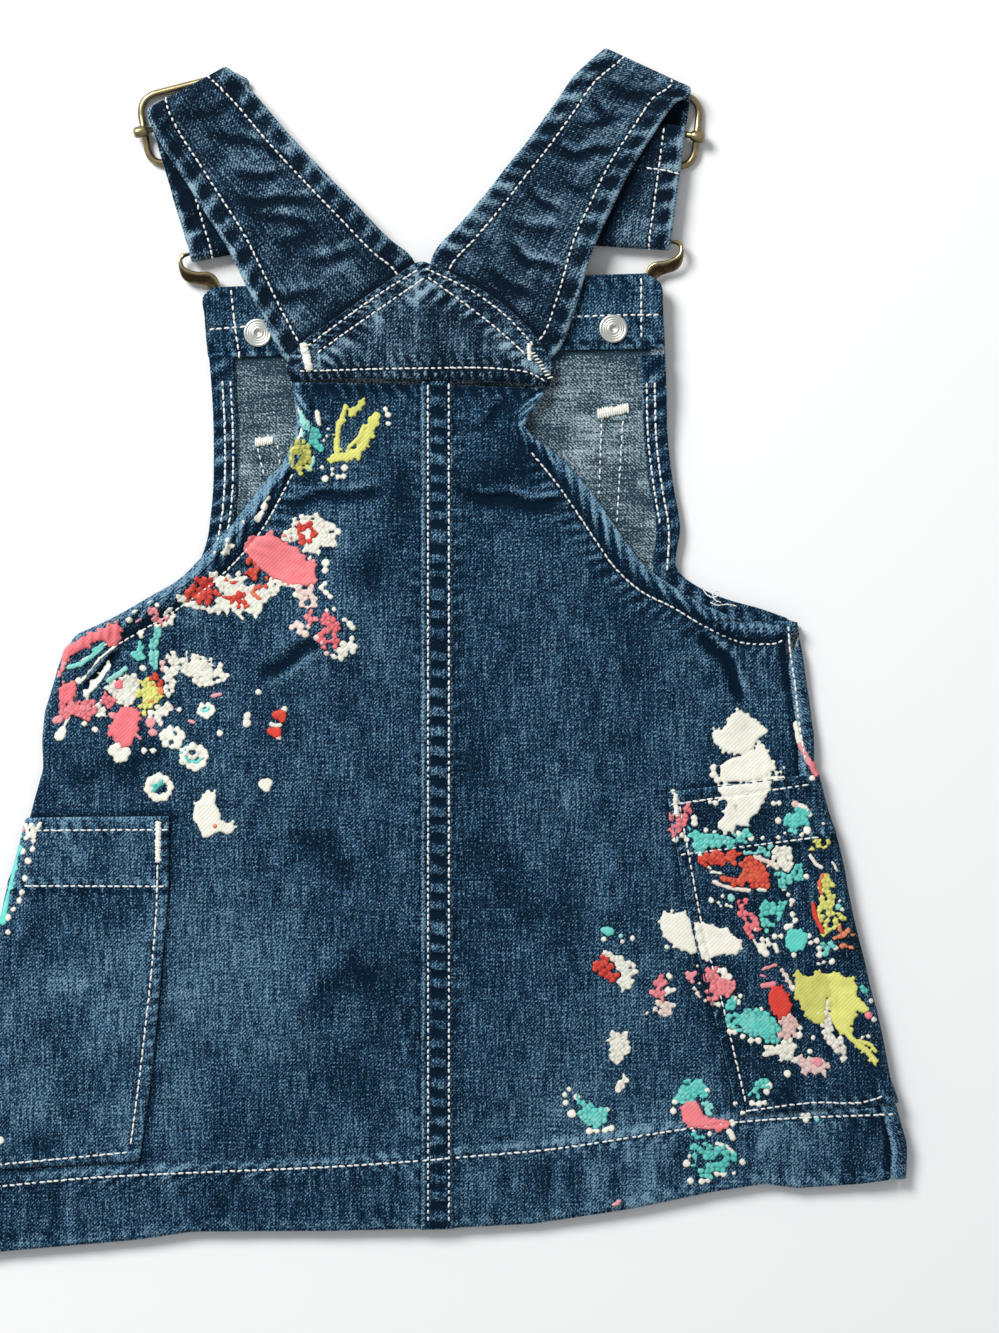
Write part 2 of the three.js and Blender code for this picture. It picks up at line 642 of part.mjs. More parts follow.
function slideFrame({ slide: { middle, heading } }) {
  const halfWide = 20.3;
  const halfLong = 12.6;
  const corner = 5;
  const [hx, hy] = heading;
  const at = (u, v, z) => V(middle[0] - hy * u + hx * v, middle[1] + hx * u + hy * v, z);
  const points = [];
  for (const [su, sv, start] of [[1, 1, 0], [-1, 1, 90], [-1, -1, 180], [1, -1, 270]]) {
    // Each side first rises to meet the cross bar, then turns the corner.
    for (let k = 0; k <= 4; k++) {
      const a = THREE.MathUtils.degToRad(start + k * 22.5);
      const u = su * (halfWide - corner) + corner * Math.cos(a);
      const v = sv * (halfLong - corner) + corner * Math.sin(a);
      points.push(at(u, v, WIRE));
    }
    if (start === 90) points.push(at(-halfWide, 4, WIRE + 0.9), at(-halfWide, -4, WIRE + 0.9));
    if (start === 270) points.push(at(halfWide, -4, WIRE + 0.9), at(halfWide, 4, WIRE + 0.9));
  }
  const frame = solid(wire(points, WIRE, true));
  const bar = BAR_STATIONS.map(([u, r]) => {
    const ring = [];
    for (let k = 0; k < 10; k++) {
      const a = (k * Math.PI) / 5;
      ring.push(at(u, r * Math.cos(a), BAR_RISE + r * Math.sin(a)));
    }
    return ring;
  });
  return fromSolid(frame.add(solid(loft(bar))));
}

// The hook's strip by stations on its left half: the rim and the foot, each [across, up, height].
const HOOK_STATIONS = [
  { rim: [0, 0.8, 3.7], foot: [0, -0.8, 3.7] },
  { rim: [-16.5, 0.8, 3.7], foot: [-16.5, -0.8, 3.7] },
  { rim: [-19.2, 0.8, 3.9], foot: [-19.4, -0.9, 3.4] },
  { rim: [-20.9, 0.6, 4.3], foot: [-21.2, -1.4, 2.8] },
  { rim: [-21.9, -0.4, 4.6], foot: [-22.7, -3.2, 2.0] },
  { rim: [-22, -2.2, 4.8], foot: [-23.2, -6.4, 1.5] },
  { rim: [-21.2, -4.2, 4.8], foot: [-22.8, -9.4, 1.4] },
  { rim: [-19.2, -5.8, 4.8], foot: [-20.8, -11.4, 1.4] },
  { rim: [-16.6, -6.8, 4.7], foot: [-18.2, -12.4, 1.5] },
  { rim: [-13.4, -7.4, 4.5], foot: [-16.4, -13.6, 1.7] },
  { rim: [-11.4, -8.8, 4.2], foot: [-15.2, -15.2, 1.9] },
  { rim: [-10.4, -11, 4.0], foot: [-14.2, -17.4, 2.3] },
  { rim: [-10.1, -15.4, 3.8], foot: [-13.6, -20, 2.9] },
  { rim: [-9.8, -21, 3.7], foot: [-13, -24, 3.5] },
  { rim: [-8.6, -27, 3.6], foot: [-11.6, -29, 3.6] },
  { rim: [-6, -31.8, 3.6], foot: [-8.8, -34, 3.6] },
  { rim: [-3.2, -35.2, 3.6], foot: [-4.6, -38, 3.6] },
  { rim: [0, -36.2, 3.6], foot: [0, -39.2, 3.6] },
];

function hook({ button: [bx, by], up }) {
  const mirror = ({ rim, foot }) => ({ rim: [-rim[0], rim[1], rim[2]], foot: [-foot[0], foot[1], foot[2]] });
  const round = [...HOOK_STATIONS, ...HOOK_STATIONS.slice(1, -1).reverse().map(mirror)];
  const at = ([u, v, z]) => V(
    bx + up[1] * u + up[0] * (v + HOOK_BAR),
    by - up[0] * u + up[1] * (v + HOOK_BAR),
    z,
  );
  const rims = round.map((s) => at(s.rim));
  const feet = round.map((s) => at(s.foot));
  const rings = rims.map((rim, i) => {
    const n = rims.length;
    const foot = feet[i];
    const along3 = rims[(i + 1) % n].clone().sub(rims[(i + n - 1) % n]).normalize();
    const face = rim.clone().sub(foot).normalize();
    const out = along3.cross(face).normalize().multiplyScalar(0.55);
    return [rim.clone().add(out), foot.clone().add(out), foot.clone().sub(out), rim.clone().sub(out)];
  });
  return loft(rings, true);
}

// ---------------------------------------------------------------- materials and the scene graph
const DENIM = new THREE.MeshStandardMaterial({ color: 0x2c4562, roughness: 0.9, metalness: 0 });
const DENIM_INSIDE = new THREE.MeshStandardMaterial({ color: 0x6d7c8e, roughness: 0.92, metalness: 0 });
const BRASS = new THREE.MeshStandardMaterial({ color: 0x6b5836, roughness: 0.42, metalness: 1 });
const SILVER = new THREE.MeshStandardMaterial({ color: 0xd6d2c8, roughness: 0.35, metalness: 1 });

const dress = new THREE.Group();

function piece(name, geometry, material) {
  const mesh = new THREE.Mesh(geometry, material.clone());
  mesh.name = name;
  dress.add(mesh);
}

const middleLeft = [94.4, 80, 67, 58, 48, 38, 28, 18, 8, 0];
const middleRight = [94, 80.5, 69, 59, 46, 35, 25, 15, 6, 0];

piece('front_panel', frontPanel(), DENIM_INSIDE);
piece('bib_facing', bibFacing(), DENIM);
piece('edge_hem_left', edgeHem(FRONT_LEFT, -1, 8), DENIM);
piece('edge_hem_right', edgeHem(FRONT_RIGHT, 1, 8), DENIM);
piece('bib_pocket', bibPocket(), DENIM);
piece('back_panel_left', backPanel(-1, LEFT_SIDE, ARMHOLE_LEFT, SEAM_LEFT - GAP, middleLeft), DENIM);
piece('back_panel_right', backPanel(1, RIGHT_SIDE, ARMHOLE_RIGHT, SEAM_RIGHT + GAP, middleRight), DENIM);
piece('back_seam', backSeam(), DENIM);
piece('back_yoke', backYoke(), DENIM);
piece('pocket_left', sidePocket(-1, LEFT_SIDE, POCKET_LEFT_ROWS), DENIM);
piece('pocket_right', sidePocket(1, RIGHT_SIDE, POCKET_RIGHT_ROWS), DENIM);
for (const [name, side] of Object.entries(SIDES)) {
  piece(`strap_${name}`, strap(side), DENIM);
  piece(`slide_${name}`, slideFrame(side), BRASS);
  piece(`hook_${name}`, hook(side), BRASS);
  piece(`button_${name}`, button(side.button), SILVER);
}

export default dress;
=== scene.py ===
# %% [markdown]
# # A child's denim dungaree dress, spattered with paint
# The dress lies flat on its front, so what shows is its back: a flared skirt of two halves felled
# together down the middle, a small five-sided yoke, two straps that fold over at the shoulders into
# their slides and hooks, and between the armholes the wrong side of the bib in front.
# The imported solids are the frame. Cloth, thread, paint and metal are built here around them, in the
# same places, so nothing is fitted afterwards. Points are listed in millimetres, because that is
# how a pattern cutter would write them, and become metres only when a mesh is made.

# %% Load the frame
import math
import bpy
import numpy as np
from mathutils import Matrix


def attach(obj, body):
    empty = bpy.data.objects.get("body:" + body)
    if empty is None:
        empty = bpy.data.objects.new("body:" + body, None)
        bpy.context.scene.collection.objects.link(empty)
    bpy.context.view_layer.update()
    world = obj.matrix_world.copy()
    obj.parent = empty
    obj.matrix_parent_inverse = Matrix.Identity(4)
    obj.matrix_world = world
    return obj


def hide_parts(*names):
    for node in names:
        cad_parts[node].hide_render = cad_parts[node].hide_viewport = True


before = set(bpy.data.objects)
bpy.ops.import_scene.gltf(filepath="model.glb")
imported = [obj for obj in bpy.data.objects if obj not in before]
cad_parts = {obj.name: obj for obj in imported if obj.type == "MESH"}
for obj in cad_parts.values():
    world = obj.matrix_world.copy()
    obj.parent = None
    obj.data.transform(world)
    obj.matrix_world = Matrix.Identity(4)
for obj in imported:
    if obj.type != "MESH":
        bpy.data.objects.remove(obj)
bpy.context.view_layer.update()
MM = 0.001

# %% [markdown]
# ## How the cloth lies
# The same outlines and heights as the solids have. Each height is a plain function of a place on
# the garment, so every layer, stitch and drop of paint can ask how high the cloth is where it lies.

# %% Small helpers for shaping
def smooth(low, high, value):
    """Soft step from 0 at `low` to 1 at `high`."""
    t = np.clip((value - low) / (high - low), 0, 1)
    return t * t * (3 - 2 * t)


def lerp(a, b, t):
    return a + (b - a) * t


def bump(value, wide):
    """A soft bump, 1 at 0, that has died away by about twice `wide`."""
    return np.exp(-((value / wide) ** 2))


def soft_noise(x, y, size, seed):
    """Smooth seeded values from -1 to 1 that change over about `size`."""
    table = np.random.default_rng(seed).uniform(-1, 1, (128, 128))
    u, v = np.broadcast_arrays(np.asarray(x, float) / size, np.asarray(y, float) / size)
    i, j = np.floor(u).astype(int), np.floor(v).astype(int)
    s, t = u - i, v - j
    s, t = s * s * (3 - 2 * s), t * t * (3 - 2 * t)
    near = lerp(table[i % 128, j % 128], table[(i + 1) % 128, j % 128], s)
    far = lerp(table[i % 128, (j + 1) % 128], table[(i + 1) % 128, (j + 1) % 128], s)
    return lerp(near, far, t)


def beside(line, x, y):
    """How far along a listed line each place is, and how far to its left."""
    nearest = np.full(np.shape(x), 1e9)
    run, off, start = np.zeros_like(nearest), np.zeros_like(nearest), 0.0
    for (ax, ay), (bx, by) in zip(line, line[1:]):
        dx, dy = bx - ax, by - ay
        long = math.hypot(dx, dy)
        t = np.clip(((x - ax) * dx + (y - ay) * dy) / long**2, 0, 1)
        ox, oy = x - ax - t * dx, y - ay - t * dy
        away = np.hypot(ox, oy)
        closer = away < nearest
        nearest = np.where(closer, away, nearest)
        run = np.where(closer, start + t * long, run)
        off = np.where(closer, np.copysign(away, dx * oy - dy * ox), off)
        start += long
    return run, off


def lengths(points):
    """How far along a listed line each of its points is."""
    steps = np.linalg.norm(np.diff(points, axis=0), axis=1)
    return np.concatenate([[0], np.cumsum(steps)])


def through(rows, steps, s):
    """Listed rows of numbers that stand at `steps`, drawn smoothly through and read at `s`."""
    slopes = np.gradient(rows, steps, axis=0)
    k = np.clip(np.searchsorted(steps, s, side="right") - 1, 0, len(steps) - 2)
    h = (steps[k + 1] - steps[k])[:, None]
    u = ((s - steps[k]) / h[:, 0])[:, None]
    return ((1 + 2 * u) * (1 - u) ** 2 * rows[k] + u * (1 - u) ** 2 * h * slopes[k]
            + u**2 * (3 - 2 * u) * rows[k + 1] + u**2 * (u - 1) * h * slopes[k + 1])


def along_line(line, share):
    """Points at shares from 0 to 1 of a listed line's length, rounded at its corners."""
    line = np.array(line, float)
    steps = lengths(line)
    return through(line, steps, np.asarray(share) * steps[-1])


# %% Outlines of the dress, from the shoulders down
LEFT_SIDE = [
    (-118, 7), (-122.9, 2), (-126, -8.5), (-129.5, -20), (-131.5, -40), (-136.5, -58), (-145, -91),
    (-155, -132), (-165, -172), (-172.4, -206), (-172.9, -212.5),
]
RIGHT_SIDE = [
    (134, 11), (135.5, 8.5), (136.5, -2), (139.7, -25), (142.2, -43), (150.5, -73), (155.8, -99.5),
    (162.4, -125), (167, -148), (172, -163), (172.9, -170), (172.4, -184),
]
HEM = [
    (-172.9, -212.5), (-145, -208.6), (-96.6, -204.4), (-78, -201.6), (-27, -201.3), (16, -200.2),
    (42, -198.8), (76, -193.6), (105, -187.6), (123, -184.8), (134, -186.4), (157, -184.8), (172.4, -183),
]
FRONT_LEFT = [
    (-69, 128.4), (-72.6, 126.4), (-72.6, 118), (-70.8, 96), (-70, 76), (-71, 50), (-73, 38), (-78, 28),
    (-88, 20), (-100, 12.5), (-112, 6), (-117, 3.4),
]
FRONT_RIGHT = [
    (80.5, 133.4), (85.4, 130.6), (86.6, 122), (88, 96), (88.7, 75), (90.7, 59), (93, 45), (92.2, 29.5),
    (100, 23.4), (110, 19.2), (120.8, 16.2), (130.5, 12.8),
]
ARMHOLE_LEFT = [
    (-42.6, 95), (-40.8, 80), (-46.2, 66), (-52.5, 59.5), (-62.7, 46), (-73.2, 34.7), (-81.2, 26.6),
    (-93.5, 19.3), (-105.7, 12.6), (-118.3, 7),
]
ARMHOLE_RIGHT = [
    (46.6, 93), (38.8, 80.5), (50, 70), (60, 59.5), (72.8, 41.5), (80.5, 31.4), (90, 24.4), (103.6, 16.6),
    (114, 12.6), (129.2, 12),
]
LEFT_EDGE = ARMHOLE_LEFT + LEFT_SIDE[1:]
RIGHT_EDGE = ARMHOLE_RIGHT + RIGHT_SIDE[1:]
BUTTONS = {"left": (-54.6, 112.7), "right": (69.7, 114.1)}


def edge_x(outline, y):
    """Where an outline that runs down the dress stands at height y."""
    points = np.array(outline)[::-1]
    return np.interp(y, points[:, 1], points[:, 0])


def hem_y(x):
    return np.interp(x, *np.array(HEM).T)


def side_gap(x, y):
    """How far inside the back's own edges a place is."""
    return np.minimum(x - edge_x(LEFT_EDGE, y), edge_x(RIGHT_EDGE, y) - x)


# %% Heights of the layers
CLOTH, GAP = 1.0, 0.35
SEAM_LEFT, SEAM_RIGHT = 2.3, 13.8
POCKET_MOUTH = -41
POCKET_WRAP = 52  # how far a patch pocket goes on under its side
FOLD_WIDTH = 6.2
POCKET_RISE, BUTTON_RISE = 1.45, 3.4  # how far the front is lifted by what lies under it
LAYERS, SIDE_PUFF, HEM_PUFF = 3.2, 0.9, 1.3  # the two layers with their air, and how much more at the edges
FOLDS = [  # two ends, height and half width of the long soft folds on the back
    ((16, 63), (48, 66), 1.6, 9), ((92, 12), (112, -22), 1.5, 9), ((-66, -22), (-28, 14), 1.6, 11),
    ((-62, -48), (-8, -92), 1.4, 13), ((-52, -136), (-12, -104), 1.3, 12), ((30, -150), (66, -92), 1.2, 14),
]


def underside(x, y):
    """The front's underside: flat on the floor, lifted by what lies beneath it."""
    pocket = (1 - smooth(60, 96, side_gap(x, y))) * (1 - smooth(-44, -8, y)) * smooth(1, 20, y - hem_y(x))
    return POCKET_RISE * pocket + POCKET_RISE * smooth(-22, 14, y) + BUTTON_RISE * smooth(60, 106, y)


def folds(x, y):
    height = np.zeros(np.shape(x))
    for start, end, high, wide in FOLDS:
        _, off = beside([start, end], x, y)
        height += high * bump(off, wide)
    return height


def stack(x, y):
    """The back's upper face above the front's underside."""
    gap, over_hem = side_gap(x, y), y - hem_y(x)
    side = 1 - smooth(4, 34, gap)
    calm = smooth(8, 30, gap) * smooth(24, 50, over_hem)
    return LAYERS + SIDE_PUFF * side + HEM_PUFF * (1 - smooth(20, 44, over_hem)) + calm * folds(x, y)


def back_top(x, y):
    return underside(x, y) + stack(x, y)


def hem_wall(x, y):
    """Thickness of the skirt's wall: more where the hem is turned up."""
    turned = 1 - smooth(21.5, 24.5, y - hem_y(x))
    return CLOTH + 0.9 * turned * smooth(7, 20, side_gap(x, y))


def bib_top(x, y):
    return underside(x, y) + CLOTH


print("back stands", round(float(back_top(0.0, -80.0)), 2), "mm up at its middle")

# %% [markdown]
# ## Meshes of cloth
# Cloth could be a plane with a solidify modifier, but the modifier leaves a square-cut rim and can't
# carry the wear that a maker sees along folded edges. So each piece is written straight as a closed
# wall: a grid of points for its right side, one for its wrong side, and a rounded rim between them.
# Every point also keeps two notes for the materials: `wear`, how rubbed the cloth is there and how much shade is
# painted into it, and
# `place`, where it lies in the cut cloth, so that the weave runs true along straps and round folds.

# %% A closed wall of cloth
def make_mesh(name, points, faces, notes):
    """A mesh in metres from points in millimetres, facing out, with per-point notes."""
    mesh = bpy.data.meshes.new(name)
    mesh.from_pydata((np.asarray(points) * MM).tolist(), [], [list(f) for f in faces])
    mesh.update()
    for note, values in notes.items():
        kind = "FLOAT" if np.ndim(values) == 1 else "FLOAT_VECTOR"
        layer = mesh.attributes.new(note, kind, "POINT")
        layer.data.foreach_set("value" if kind == "FLOAT" else "vector", np.ravel(values).astype(np.float32))
    mesh.polygons.foreach_set("use_smooth", np.ones(len(mesh.polygons), bool))
    piece = bpy.data.objects.new(name, mesh)
    bpy.context.scene.collection.objects.link(piece)
    return piece


def signed_volume(points, quads):
    a, b, c, d = (points[quads[:, k]] for k in range(4))
    return np.sum(a * np.cross(b, c)) + np.sum(a * np.cross(c, d))


def cloth_wall(name, outer, inner, wear, place, rim_wear=0.6, materials=()):
    """Closed cloth between two grids [row, column] of points, right side `outer`."""
    rows, cols, _ = outer.shape
    index = np.arange(rows * cols).reshape(rows, cols)
    ring = np.concatenate([index[0], index[1:, -1], index[-1, -2::-1], index[-2:0:-1, 0]])
    r, c = np.divmod(ring, cols)
    next_in = index[np.clip(r, 1, rows - 2), np.clip(c, 1, cols - 2)]
    top, low = outer.reshape(-1, 3).copy(), inner.reshape(-1, 3).copy()
    middle = (top + low) / 2
    away = middle[ring] - middle[next_in]
    away /= np.linalg.norm(away, axis=1, keepdims=True) + 1e-9
    half = np.linalg.norm(top[ring] - low[ring], axis=1, keepdims=True) / 2
    rim = middle[ring] + away * half * 0.55
    top[ring] = lerp(top[ring], middle[ring], 0.22)
    low[ring] = lerp(low[ring], middle[ring], 0.22)
    count = rows * cols
    sheet = np.stack([index[:-1, :-1], index[:-1, 1:], index[1:, 1:], index[1:, :-1]], -1).reshape(-1, 4)
    edge = np.arange(len(ring)) + 2 * count
    after, ring_after = np.roll(edge, -1), np.roll(ring, -1)
    faces = np.concatenate([
        sheet,
        sheet[:, ::-1] + count,
        np.stack([ring, edge, after, ring_after], -1),
        np.stack([edge, ring + count, ring_after + count, after], -1),
    ])
    points = np.concatenate([top, low, rim])
    if signed_volume(points, faces) < 0:
        faces = faces[:, ::-1]
    wear, place = wear.reshape(-1), place.reshape(-1, 2)
    place = np.concatenate([place, place, place[ring]])
    notes = {
        "wear": np.concatenate([wear, wear, np.maximum(wear[ring], rim_wear)]),
        "place": np.column_stack([place, np.zeros(len(place))]),
    }
    piece = make_mesh(name, points, faces, notes)
    for material in materials:
        piece.data.materials.append(material)
    if len(materials) > 1:
        which = np.zeros(len(faces), np.int32)
        which[len(sheet):2 * len(sheet)] = 1
        piece.data.polygons.foreach_set("material_index", which)
    return piece


def wear_it(piece, *nodes, slot):
    """Put a finished piece on the dress: it rides on the one body and stands for its solids."""
    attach(piece, "root")
    if nodes:
        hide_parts(*nodes)
    print(piece.name, "has", len(piece.data.polygons), "faces")
    return piece


def packed(count, ends=2.5):
    """Numbers from 0 to 1 that crowd towards both ends."""
    t = np.linspace(-1, 1, count)
    return 0.5 + 0.5 * np.tanh(ends * t) / math.tanh(ends)


# %% [markdown]
# ## The weave
# Denim is a twill: dark warp over pale weft, so the dye shows as a deep blue broken by pale specks,
# with slubby streaks along the warp. Where the cloth is rubbed the specks join up and it goes pale.
# One node group makes that from the `place` and `wear` notes, and darkens it where that
# note holds painted shade. The right side, the wrong side and the doubled straps all use it with
# colours of their own. An image would tile; this never repeats.

# %% Node helpers
def add(tree, kind, settings=None, **inputs):
    """Add a shader node, set its inputs by name or iN number, and link sockets given to it."""
    made = tree.nodes.new(kind)
    for key, value in (settings or {}).items():
        setattr(made, key, value)
    for key, value in inputs.items():
        socket = made.inputs[int(key[1:]) if key[0] == "i" and key[1:].isdigit() else key.replace("_", " ")]
        if isinstance(value, bpy.types.NodeSocket):
            tree.links.new(value, socket)
        else:
            socket.default_value = value
    return made


def sums(tree, operation, a, b, c=0.0, clamp=False):
    settings = {"operation": operation, "use_clamp": clamp}
    return add(tree, "ShaderNodeMath", settings, i0=a, i1=b, i2=c).outputs[0]


def stretched_noise(tree, place, scale, detail=2.0, roughness=0.5):
    """Noise over `place`, stretched by a scale for each way of the cloth."""
    spread = add(tree, "ShaderNodeMapping", None, Vector=place, Scale=scale)
    made = add(tree, "ShaderNodeTexNoise", None, Vector=spread.outputs[0], Scale=1.0, Detail=detail,
               Roughness=roughness)
    return made.outputs["Fac"]


def mixed(tree, share, a, b):
    """A colour between two, by a share from 0 to 1."""
    made = add(tree, "ShaderNodeMix", {"data_type": "RGBA"}, i0=share, i6=a, i7=b)
    return made.outputs[2]


def new_group(name, sockets_in, sockets_out):
    group = bpy.data.node_groups.new(name, "ShaderNodeTree")
    for label, kind, start in sockets_in:
        socket = group.interface.new_socket(label, in_out="INPUT", socket_type=kind)
        if start is not None:
            socket.default_value = start
    for label, kind in sockets_out:
        group.interface.new_socket(label, in_out="OUTPUT", socket_type=kind)
    return group, group.nodes.new("NodeGroupInput").outputs, group.nodes.new("NodeGroupOutput").inputs


def use_group(tree, group, **inputs):
    return add(tree, "ShaderNodeGroup", {"node_tree": group}, **inputs).outputs


def note(tree, name, output="Fac"):
    """A note that was kept on the points of a mesh."""
    return add(tree, "ShaderNodeAttribute", {"attribute_name": name}).outputs[output]


def new_material(name, **constants):
    """A material, its nodes and the inputs of its shader, with constants set on them by name."""
    material = bpy.data.materials.new(name)
    material.use_nodes = True
    inputs = material.node_tree.nodes["Principled BSDF"].inputs
    for key, value in constants.items():
        inputs[key.replace("_", " ")].default_value = value
    return material, material.node_tree, inputs


def link_looks(tree, inputs, looks, strength, distance):
    """Link a colour, a relief and, where it is there, a roughness to a shader's inputs."""
    relief = add(tree, "ShaderNodeBump", None, Strength=strength, Distance=distance, Height=looks["Height"])
    tree.links.new(relief.outputs[0], inputs["Normal"])
    tree.links.new(looks["Colour"], inputs["Base Color"])
    if "Roughness" in looks:
        tree.links.new(looks["Roughness"], inputs["Roughness"])


# %% The denim weave, as a node group
FLOAT, COLOUR, VECTOR = "NodeSocketFloat", "NodeSocketColor", "NodeSocketVector"


def build_weave():
    group, given, result = new_group(
        "Denim weave",
        [("Place", VECTOR, None), ("Wear", FLOAT, 0.0), ("Speck", FLOAT, 1.0), ("Dark", COLOUR, (0, 0, 0, 1)),
         ("Middle", COLOUR, (0, 0, 0, 1)), ("Pale", COLOUR, (1, 1, 1, 1))],
        [("Colour", COLOUR), ("Height", FLOAT)],
    )
    place = given["Place"]
    warp = stretched_noise(group, place, (1.25, 0.09, 1.0))
    weft = stretched_noise(group, place, (0.11, 1.5, 1.0))
    speck = stretched_noise(group, place, (1.7, 1.25, 1.0), 1.0, 0.7)
    cloud = stretched_noise(group, place, (0.03, 0.02, 1.0), 3.0)
    turned = add(group, "ShaderNodeMapping", None, Vector=place, Scale=(-1.0, 1.0, 1.0)).outputs[0]
    rib = add(group, "ShaderNodeTexWave", {"bands_direction": "DIAGONAL"}, Vector=turned, Scale=0.5,
              Distortion=1.2, Detail=1.0, Detail_Scale=3.0).outputs["Fac"]
    tone = sums(group, "MULTIPLY_ADD", warp, 1.5, -0.75)
    tone = sums(group, "MULTIPLY_ADD", weft, 0.9, sums(group, "ADD", tone, -0.45))
    grain = sums(group, "MULTIPLY_ADD", speck, 2.6, -1.3)
    tone = sums(group, "MULTIPLY_ADD", grain, given["Speck"], tone)
    tone = sums(group, "MULTIPLY_ADD", rib, 0.4, tone)
    crisp = sums(group, "MULTIPLY_ADD", speck, 6.0, -3.7, clamp=True)
    tone = sums(group, "MULTIPLY_ADD", crisp, 0.4, tone)
    tone = sums(group, "MULTIPLY_ADD", cloud, 0.6, sums(group, "ADD", tone, -0.3))
    # the note makes rubbed cloth paler and carries painted shade that makes it darker
    tone = sums(group, "MULTIPLY_ADD", given["Wear"], 0.95, sums(group, "ADD", tone, -0.06))
    lower = sums(group, "MULTIPLY", tone, 2.2, clamp=True)
    upper = sums(group, "MULTIPLY_ADD", tone, 1.5, -0.68, clamp=True)
    colour = mixed(group, lower, given["Dark"], given["Middle"])
    group.links.new(mixed(group, upper, colour, given["Pale"]), result["Colour"])
    group.links.new(sums(group, "MULTIPLY_ADD", rib, 0.4, speck), result["Height"])
    return group


WEAVE = build_weave()
print("weave group has", len(WEAVE.nodes), "nodes")


# %% Denim, right side and wrong side
def cloth_material(name, dark, middle, pale, speck=1.0, turn=0.0):
    material, tree, inputs = new_material(
        name, Roughness=0.88, Specular_IOR_Level=0.08, Sheen_Weight=0.015, Sheen_Roughness=0.5)
    place = note(tree, "place", "Vector")
    if turn:
        place = add(tree, "ShaderNodeMapping", None, Vector=place, Rotation=(0.0, 0.0, turn)).outputs[0]
    weave = use_group(
        tree, WEAVE, Place=place, Wear=note(tree, "wear"), Speck=speck, Dark=dark, Middle=middle, Pale=pale)
    link_looks(tree, inputs, weave, 0.55, 0.00035)
    return material


DENIM = cloth_material("denim", (0.0008, 0.009, 0.022, 1), (0.0185, 0.064, 0.124, 1), (0.2, 0.35, 0.46, 1))
STRAP_DENIM = cloth_material(
    "strap_denim", (0.0015, 0.007, 0.016, 1), (0.019, 0.054, 0.1, 1), (0.25, 0.38, 0.46, 1), 0.9)
WRONG_SIDE = cloth_material(
    "denim_wrong_side", (0.02, 0.045, 0.065, 1), (0.2, 0.28, 0.32, 1), (0.5, 0.6, 0.65, 1), 1.1,
    turn=1.5708)
print("cloth materials:", DENIM.name, STRAP_DENIM.name, WRONG_SIDE.name)

# %% [markdown]
# ## Relief on the back
# What makes washed denim look sewn is its relief: thread shrinks more than cloth, so every seam
# pulls up in short slanting puckers, and washing rubs their tops pale. The relief is a sum of plain
# functions of the place: puckers along each seam, the soft folds of the way it was laid down, and
# slow waves. The same sum gives the height for the mesh, and for the dye both the wear and painted
# shade in the hollows, creases and gaps.

# %% Seams and their puckers
def puckers(x, y, line, pitch, high, reach, slant=0.35, seed=1, shift=0.0):
    """Height of the puckers beside a seam, and how rubbed (above 0) or dark (below) they are; the dark hollows are
    partly unfaded dye and partly painted shade.
    """
    run, off = beside(line, x, y)
    uneven = run + 0.22 * pitch * soft_noise(run, off * 0.15, 1.8 * pitch, seed) + slant * off
    wave = (0.5 + 0.5 * np.cos(2 * np.pi * uneven / pitch)) ** 1.3
    strong = (0.7 + 0.35 * soft_noise(run, 0.0, 16, seed + 9)) * bump(off - shift, reach)
    return high * strong * wave, strong * (2.1 * wave - 0.92)


def shifted(line, width):
    """A listed line moved by `width` to its left."""
    line = np.array(line, float)
    way = np.gradient(line, axis=0)
    way /= np.linalg.norm(way, axis=1, keepdims=True)
    return (line + width * np.column_stack([-way[:, 1], way[:, 0]])).tolist()


def groove(x, y, line, deep=0.28, wide=0.55):
    """The cut of a row of stitches into the cloth. Added to the wear note, it darkens the cut as painted shade."""
    _, off = beside(line, x, y)
    return -deep * bump(off, wide)


def pressed(x, y, creases):
    """Creases with one steep side: height, and colour that rubs the lip paler and darkens the valley as painted shade.
    Each is a line, its depth and its half width.
    """
    height, rub = np.zeros(np.shape(x)), np.zeros(np.shape(x))
    for line, deep, wide in creases:
        run, off = beside(line, x, y)
        off = off + 0.5 * wide * soft_noise(run, 0.0, 9, 8)
        past = smooth(0, 9, run) * smooth(0, 9, sum(map(math.dist, line, line[1:])) - run)
        sharp = 1 - smooth(3.5, 5.5, wide)
        valley = bump(off, np.where(off > 0, 1 - 0.5 * sharp, 1.0) * wide)
        lip = bump(off - wide, 0.55 * wide) * sharp
        height += deep * past * (0.35 * lip - valley + 0.25 * bump(off + 2 * wide, wide))
        # the valley is darkened as painted shade, the lip rubbed paler
        rub += deep * past * (0.18 * lip - (0.4 + 0.2 * sharp) * valley)
    return height, rub


def rubbed_and_shaded(height, wear, gain=0.55):
    """Wear with the tops rubbed paler and the hollows darker, as unfaded dye and as painted shade, by how far each
    stands out.
    """
    level = height
    for _ in range(10):
        wide = np.pad(level, 1, mode="edge")
        level = (wide[:-2, 1:-1] + wide[2:, 1:-1] + wide[1:-1, :-2] + wide[1:-1, 2:]) / 4
    return wear + gain * np.clip(height - level, -0.8, 0.8)


